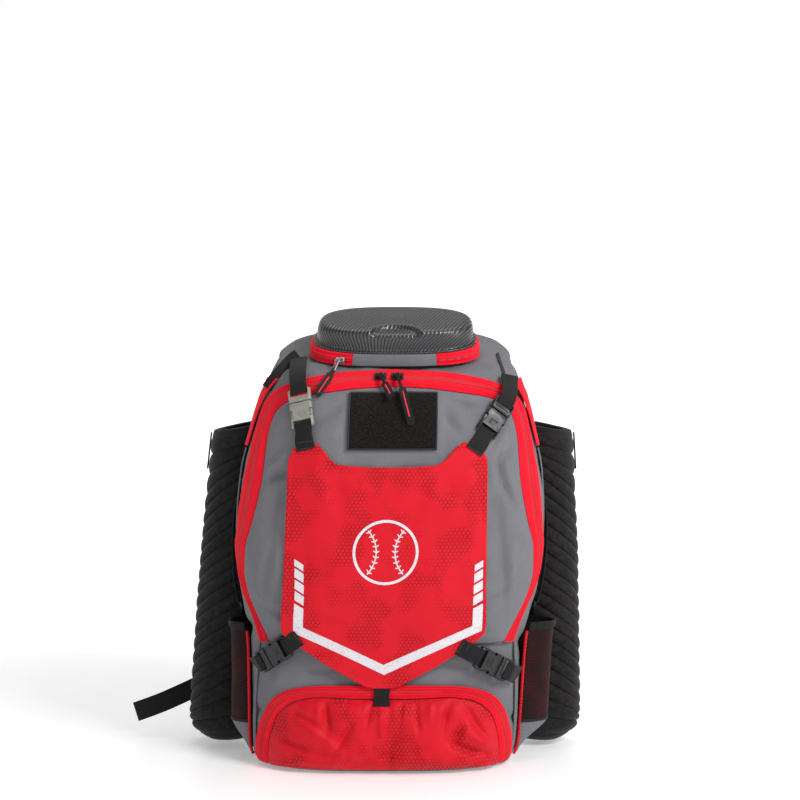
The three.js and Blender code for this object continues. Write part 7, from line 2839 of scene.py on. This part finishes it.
@dataclass
class ShoulderStrap:
    """A padded shoulder strap with its adjuster, its lower webbing and its tail."""

    side: int
    tail: tuple[tuple[float, float, float], ...]
    width: float = 58.0
    wall: float = 12.0
    reach: float = 32.0
    adjuster_length: float = 26.0
    adjuster_wall: float = 5.0
    anchor: float = 79.0
    tail_width: float = 25.0
    route: tuple[tuple[float, float, float], ...] = (
        (0.27, 0.872, 0), (0.275, 0.905, 0.22), (0.285, 0.915, 0.6), (0.305, 0.88, 0.93), (0.34, 0.78, 1),
        (0.4, 0.62, 0.92), (0.46, 0.47, 0.72), (0.5, 0.34, 0.55), (0.52, 0.26, 0.5),
    )

    def _points(self) -> Array:
        """The strap's middle line."""
        root = self.wall / 2
        rows = np.array([
            (self.side * half * FORM.half_width, FORM.back + root + reach * self.reach, rise * FORM.height)
            for half, rise, reach in self.route
        ])
        rows[0, 1] = FORM.back_y(rows[:1, 0], rows[:1, 2])[0] + root
        return rows

    def build(
        self, shop: Workshop, looks: dict[str, bpy.types.Material], adjuster: HardPart
    ) -> None:
        """Makes the strap and what hangs from it.

        Args:
            shop: makes the pieces.
            looks: the materials.
            adjuster: the adjuster to copy.
        """
        label = "left" if self.side < 0 else "right"
        points = self._points()
        sweep = Sweep(points, (1, 0, 0), 260)
        share = np.linspace(0, 1, 260)
        wide = 1 - 0.3 * smooth((share - 0.75) / 0.25) - 0.12 * (1 - share)
        ends = np.minimum(np.minimum(sweep.far, sweep.far[-1] - sweep.far) / 9, 1)
        plump = 0.5 + 0.5 * np.sqrt(1 - (1 - ends) ** 2)
        loop = padded_loop(self.width / 2, self.wall, 2.4)
        scale = np.stack([wide, plump], axis=1)
        strap = shop.piece(f"shoulder_strap_{label}_mesh", sweep.skin(loop[None] * scale[:, None]),
                           looks["spacer"], [f"shoulder_strap_{label}"], 70)
        for edge, name in ((-1, "inner"), (1, "outer")):
            line = sweep.at + sweep.side * (edge * wide * (self.width / 2 - 1.3))[:, None]
            bound = Sweep(line, (1, 0, 0), 240)
            loop = np.stack([round_loop(2.2, 16)[:, 0], round_loop(3.0, 16)[:, 1]], axis=1)
            shop.piece(f"shoulder_strap_{label}_binding_{name}", bound.skin(loop), looks["webbing"], (),
                       70)
        shop.piece(f"shoulder_strap_{label}_tape", self._stay(sweep), looks["webbing"], ())

        end, before = points[-1], points[-2]
        along = unit((end - before)[None])[0]
        sideways = unit((np.array([1.0, 0, 0]) - along * along[0])[None])[0]
        out = np.cross(along, sideways)
        seat = Seating(end + along * 0.4, along, sideways, out)
        made = adjuster.copied(f"adjuster_{label}_moulding", seat)
        shop.finish(made, looks["black"], [f"adjuster_{label}"])

        facing = float(np.sign(out[1]))
        gap = self.adjuster_wall / 2 + 0.4 + FIT.webbing / 2

        def on_adjuster(share: float, level: float) -> Array:
            """A point over the adjuster's face."""
            return seat.at + along * share * self.adjuster_length + out * facing * level * gap

        pad_foot, pad_wall = 44.0, 13.0
        pad_back = FORM.back + FIT.tape_seat + pad_wall
        low = float(FORM.back_y(np.array([self.anchor]), np.array([0.5 * pad_foot]))[0])
        seat_back = low + FIT.tape_seat + FIT.webbing
        lower = [
            on_adjuster(0.7, -1),
            on_adjuster(1.1, -1),
            (self.side * self.anchor, pad_back + 2 * FIT.webbing, 1.15 * pad_foot),
            (self.side * self.anchor, pad_back - 0.3 * pad_wall, 0.8 * pad_foot),
            (self.side * self.anchor, seat_back + FIT.webbing, 0.5 * pad_foot),
            (self.side * self.anchor, seat_back, 0.25 * pad_foot),
        ]
        skin = Sweep(lower, (self.side, 0, 0), 120).skin(webbing_loop(20.0, FIT.webbing))
        shop.piece(f"lower_webbing_{label}_web", skin, looks["webbing"], [f"lower_webbing_{label}"])
        rows = [on_adjuster(0.5, 1.25)]
        rows += [np.array([self.side * x * FORM.half_width, y * FORM.back, z * FORM.height])
                 for x, y, z in self.tail]
        skin = Sweep(rows, (self.side * 0.35, 0, 1), 140).skin(webbing_loop(self.tail_width, FIT.webbing))
        shop.piece(f"strap_tail_{label}_webbing", skin, looks["webbing"], [f"strap_tail_{label}"])

    def _stay(self, sweep: Sweep) -> Skin:
        """The webbing sewn down the strap's outer face."""
        loop = webbing_loop(22.0, 1.4)
        chosen = slice(14, 252)
        outward = np.sign(sweep.out[len(sweep.out) // 2][1])
        line = sweep.at[chosen] + sweep.out[chosen] * outward * (self.wall / 2 + 0.25)
        return Sweep(line, (1, 0, 0), 200).skin(loop)


def adjuster_pattern() -> HardPart:
    """A ladder lock: a frame with two slots and a ribbed lip."""
    length, half, thick = 26.0, 14.5, 2.5
    part = HardPart("adjuster")
    part.add(part.block((0, -half, -thick), (length, half, thick), 1.4))
    part.cut(
        part.block((5.2, -11, -5), (10.92, 11, 5), 0.5),
        part.block((15.6, -11, -5), (21.32, 11, 5), 0.5),
    )
    part.softened(0.3)
    ribs = [
        part.block(
            (length - 3.4, -9 + 3.2 * k, thick - 0.3), (length - 0.8, -7.6 + 3.2 * k, thick + 0.5), 0.2
        )
        for k in range(6)
    ]
    return part.add(*ribs)


# The scene


@dataclass(frozen=True)
class Studio:
    """The pale floor, the soft light and the camera."""

    floor_radius: float = 30.0
    camera_at: tuple[float, float, float] = (0.02, -2.5, 0.62)
    camera_pitch: float = 85.7
    lens: float = 93.15
    lamps: tuple[tuple[str, tuple[float, float, float], float, float], ...] = (
        ("key", (1.9, -1.9, 2.1), 1.0, 82),
        ("fill", (-2.2, -1.6, 1.2), 1.6, 4),
        ("top", (0.1, 0.4, 2.6), 2.0, 22),
    )
    sky_left_to_right: tuple[tuple[float, float], ...] = ((0.0, 0.8), (0.3, 0.84), (0.37, 0.97), (0.42, 1.0))
    sky_foot_to_head: tuple[tuple[float, float], ...] = ((0.0, 0.9), (0.49, 1.0), (0.585, 1.0), (0.72, 0.4))

    def build(self) -> None:
        """Makes the floor, the world, the lights and the camera."""
        bpy.ops.object.select_all(action="DESELECT")
        bpy.ops.mesh.primitive_circle_add(vertices=96, radius=self.floor_radius, fill_type="NGON",
                                          location=(0, 0, -0.0004))
        floor = bpy.context.active_object
        floor.name = "studio_floor"
        floor.data.materials.append(self._paper())
        world = bpy.data.worlds.new("studio")
        bpy.context.scene.world = world
        world.use_nodes = True
        self._sky(world.node_tree)
        bpy.context.scene.view_settings.view_transform = "Standard"
        for name, at, size, power in self.lamps:
            self._lamp(name, at, size, power)
        camera = bpy.data.cameras.new("camera")
        camera.sensor_width, camera.lens, camera.sensor_fit = 36, self.lens, "HORIZONTAL"
        holder = bpy.data.objects.new("camera", camera)
        holder.location = self.camera_at
        holder.rotation_euler = (math.radians(self.camera_pitch), 0, 0)
        bpy.context.scene.collection.objects.link(holder)
        bpy.context.scene.camera = holder

    def _sky(self, tree: bpy.types.NodeTree) -> None:
        """Lights the room: white round the horizon, dimmer above and to the left."""
        nodes, links = tree.nodes, tree.links
        place = nodes.new("ShaderNodeTexCoord")
        parts = nodes.new("ShaderNodeSeparateXYZ")
        links.new(place.outputs["Generated"], parts.inputs[0])
        ramps = []
        for socket, stops in ((0, self.sky_left_to_right), (2, self.sky_foot_to_head)):
            moved = nodes.new("ShaderNodeMath")
            moved.operation = "MULTIPLY_ADD"
            moved.inputs[1].default_value = moved.inputs[2].default_value = 0.5
            links.new(parts.outputs[socket], moved.inputs[0])
            ramp = nodes.new("ShaderNodeValToRGB")
            while len(ramp.color_ramp.elements) < len(stops):
                ramp.color_ramp.elements.new(0.5)
            for element, (at, grey) in zip(ramp.color_ramp.elements, stops):
                element.position, element.color = at, (grey, grey, grey, 1)
            links.new(moved.outputs[0], ramp.inputs[0])
            ramps.append(ramp.outputs[0])
        both = nodes.new("ShaderNodeVectorMath")
        both.operation = "MULTIPLY"
        links.new(ramps[0], both.inputs[0])
        links.new(ramps[1], both.inputs[1])
        links.new(both.outputs[0], nodes["Background"].inputs["Color"])

    @staticmethod
    def _lamp(name: str, at: tuple[float, float, float], size: float, power: float) -> None:
        """Hangs a soft lamp that points at the bag.

        Args:
            name: the lamp's name.
            at: its place.
            size: its width and its height.
            power: its power in watts.
        """
        data = bpy.data.lights.new(name, "AREA")
        data.shape, data.size, data.size_y, data.energy = "RECTANGLE", size, size, power
        lamp = bpy.data.objects.new(name, data)
        lamp.location = at
        aim = Vector((0, 0, 0.25)) - Vector(at)
        lamp.rotation_euler = aim.to_track_quat("-Z", "Y").to_euler()
        bpy.context.scene.collection.objects.link(lamp)

    @staticmethod
    def _paper() -> bpy.types.Material:
        """The floor's pale paper, with a faint grain."""
        made = bpy.data.materials.new("studio_paper")
        made.use_nodes = True
        nodes, links = made.node_tree.nodes, made.node_tree.links
        shader = nodes["Principled BSDF"]
        shader.inputs["Roughness"].default_value = 0.35
        shader.inputs["Emission Color"].default_value = (1, 1, 1, 1)
        noise = nodes.new("ShaderNodeTexNoise")
        noise.inputs["Scale"].default_value = 40
        place = nodes.new("ShaderNodeTexCoord")
        ramp = nodes.new("ShaderNodeMixRGB")
        ramp.inputs["Color1"].default_value = (0.88, 0.88, 0.885, 1)
        ramp.inputs["Color2"].default_value = (0.9, 0.9, 0.905, 1)
        links.new(place.outputs["Object"], noise.inputs["Vector"])
        links.new(noise.outputs["Fac"], ramp.inputs["Fac"])
        links.new(ramp.outputs["Color"], shader.inputs["Base Color"])
        far = nodes.new("ShaderNodeVectorMath")
        far.operation = "LENGTH"
        links.new(place.outputs["Object"], far.inputs[0])
        glow = nodes.new("ShaderNodeMapRange")
        for name, value in (("From Min", 0.5), ("From Max", 3.0), ("To Min", 0.24), ("To Max", 0.8)):
            glow.inputs[name].default_value = value
        links.new(far.outputs["Value"], glow.inputs["Value"])
        links.new(glow.outputs["Result"], shader.inputs["Emission Strength"])
        return made


def save_sizes() -> None:
    """Brings the view layer up to date.
    """
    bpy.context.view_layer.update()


# How far each side pocket stands out from the body's side, in millimetres, by side.
POCKET_REACH = {-1: 20.0, 1: 32.0}

# Each shoulder strap's loose tail, in shares of the body's half width, back and height, by side.
STRAP_TAILS = {
    -1: (
        (0.72, 1.245, 0.19),
        (1.0, 1.17, 0.15),
        (1.25, 1.05, 0.115),
        (1.5, 0.9, 0.078),
        (1.68, 0.82, 0.056),
    ),
    1: ((0.6, 1.235, 0.17), (0.64, 1.2, 0.11), (0.66, 1.16, 0.05)),
}


def main() -> None:
    """Dresses the bag around its frame."""
    logging.basicConfig(level=logging.INFO, format="%(message)s")
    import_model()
    looks = Looks().made()
    shop = Workshop()

    BodyShell().build(shop, looks)
    panel, shoe, cover = FrontPanel(), ShoePocket(), CoverSheet()
    panel.build(shop, looks)
    shoe.build(shop, looks)
    CoverStraps(panel, cover, shoe).build(shop, looks)
    cover.build(shop, looks, panel)
    case = TopCase()
    case.build(shop, looks)
    for side, reach in POCKET_REACH.items():
        BatSleeve(side).build(shop, looks)
        SidePocket(side, reach).build(shop, looks)
        SideTrims(side).build(shop, looks)
    ZipSliders(case).build(shop, looks)
    PaddedBack().build(shop, looks)
    adjuster = adjuster_pattern()
    for side, tail in STRAP_TAILS.items():
        ShoulderStrap(side, tail).build(shop, looks, adjuster)
    adjuster.cleared()
    Studio().build()
    save_sizes()
    LOG.info("%d pieces", len(shop.made))


if __name__ == "__main__":
    main()
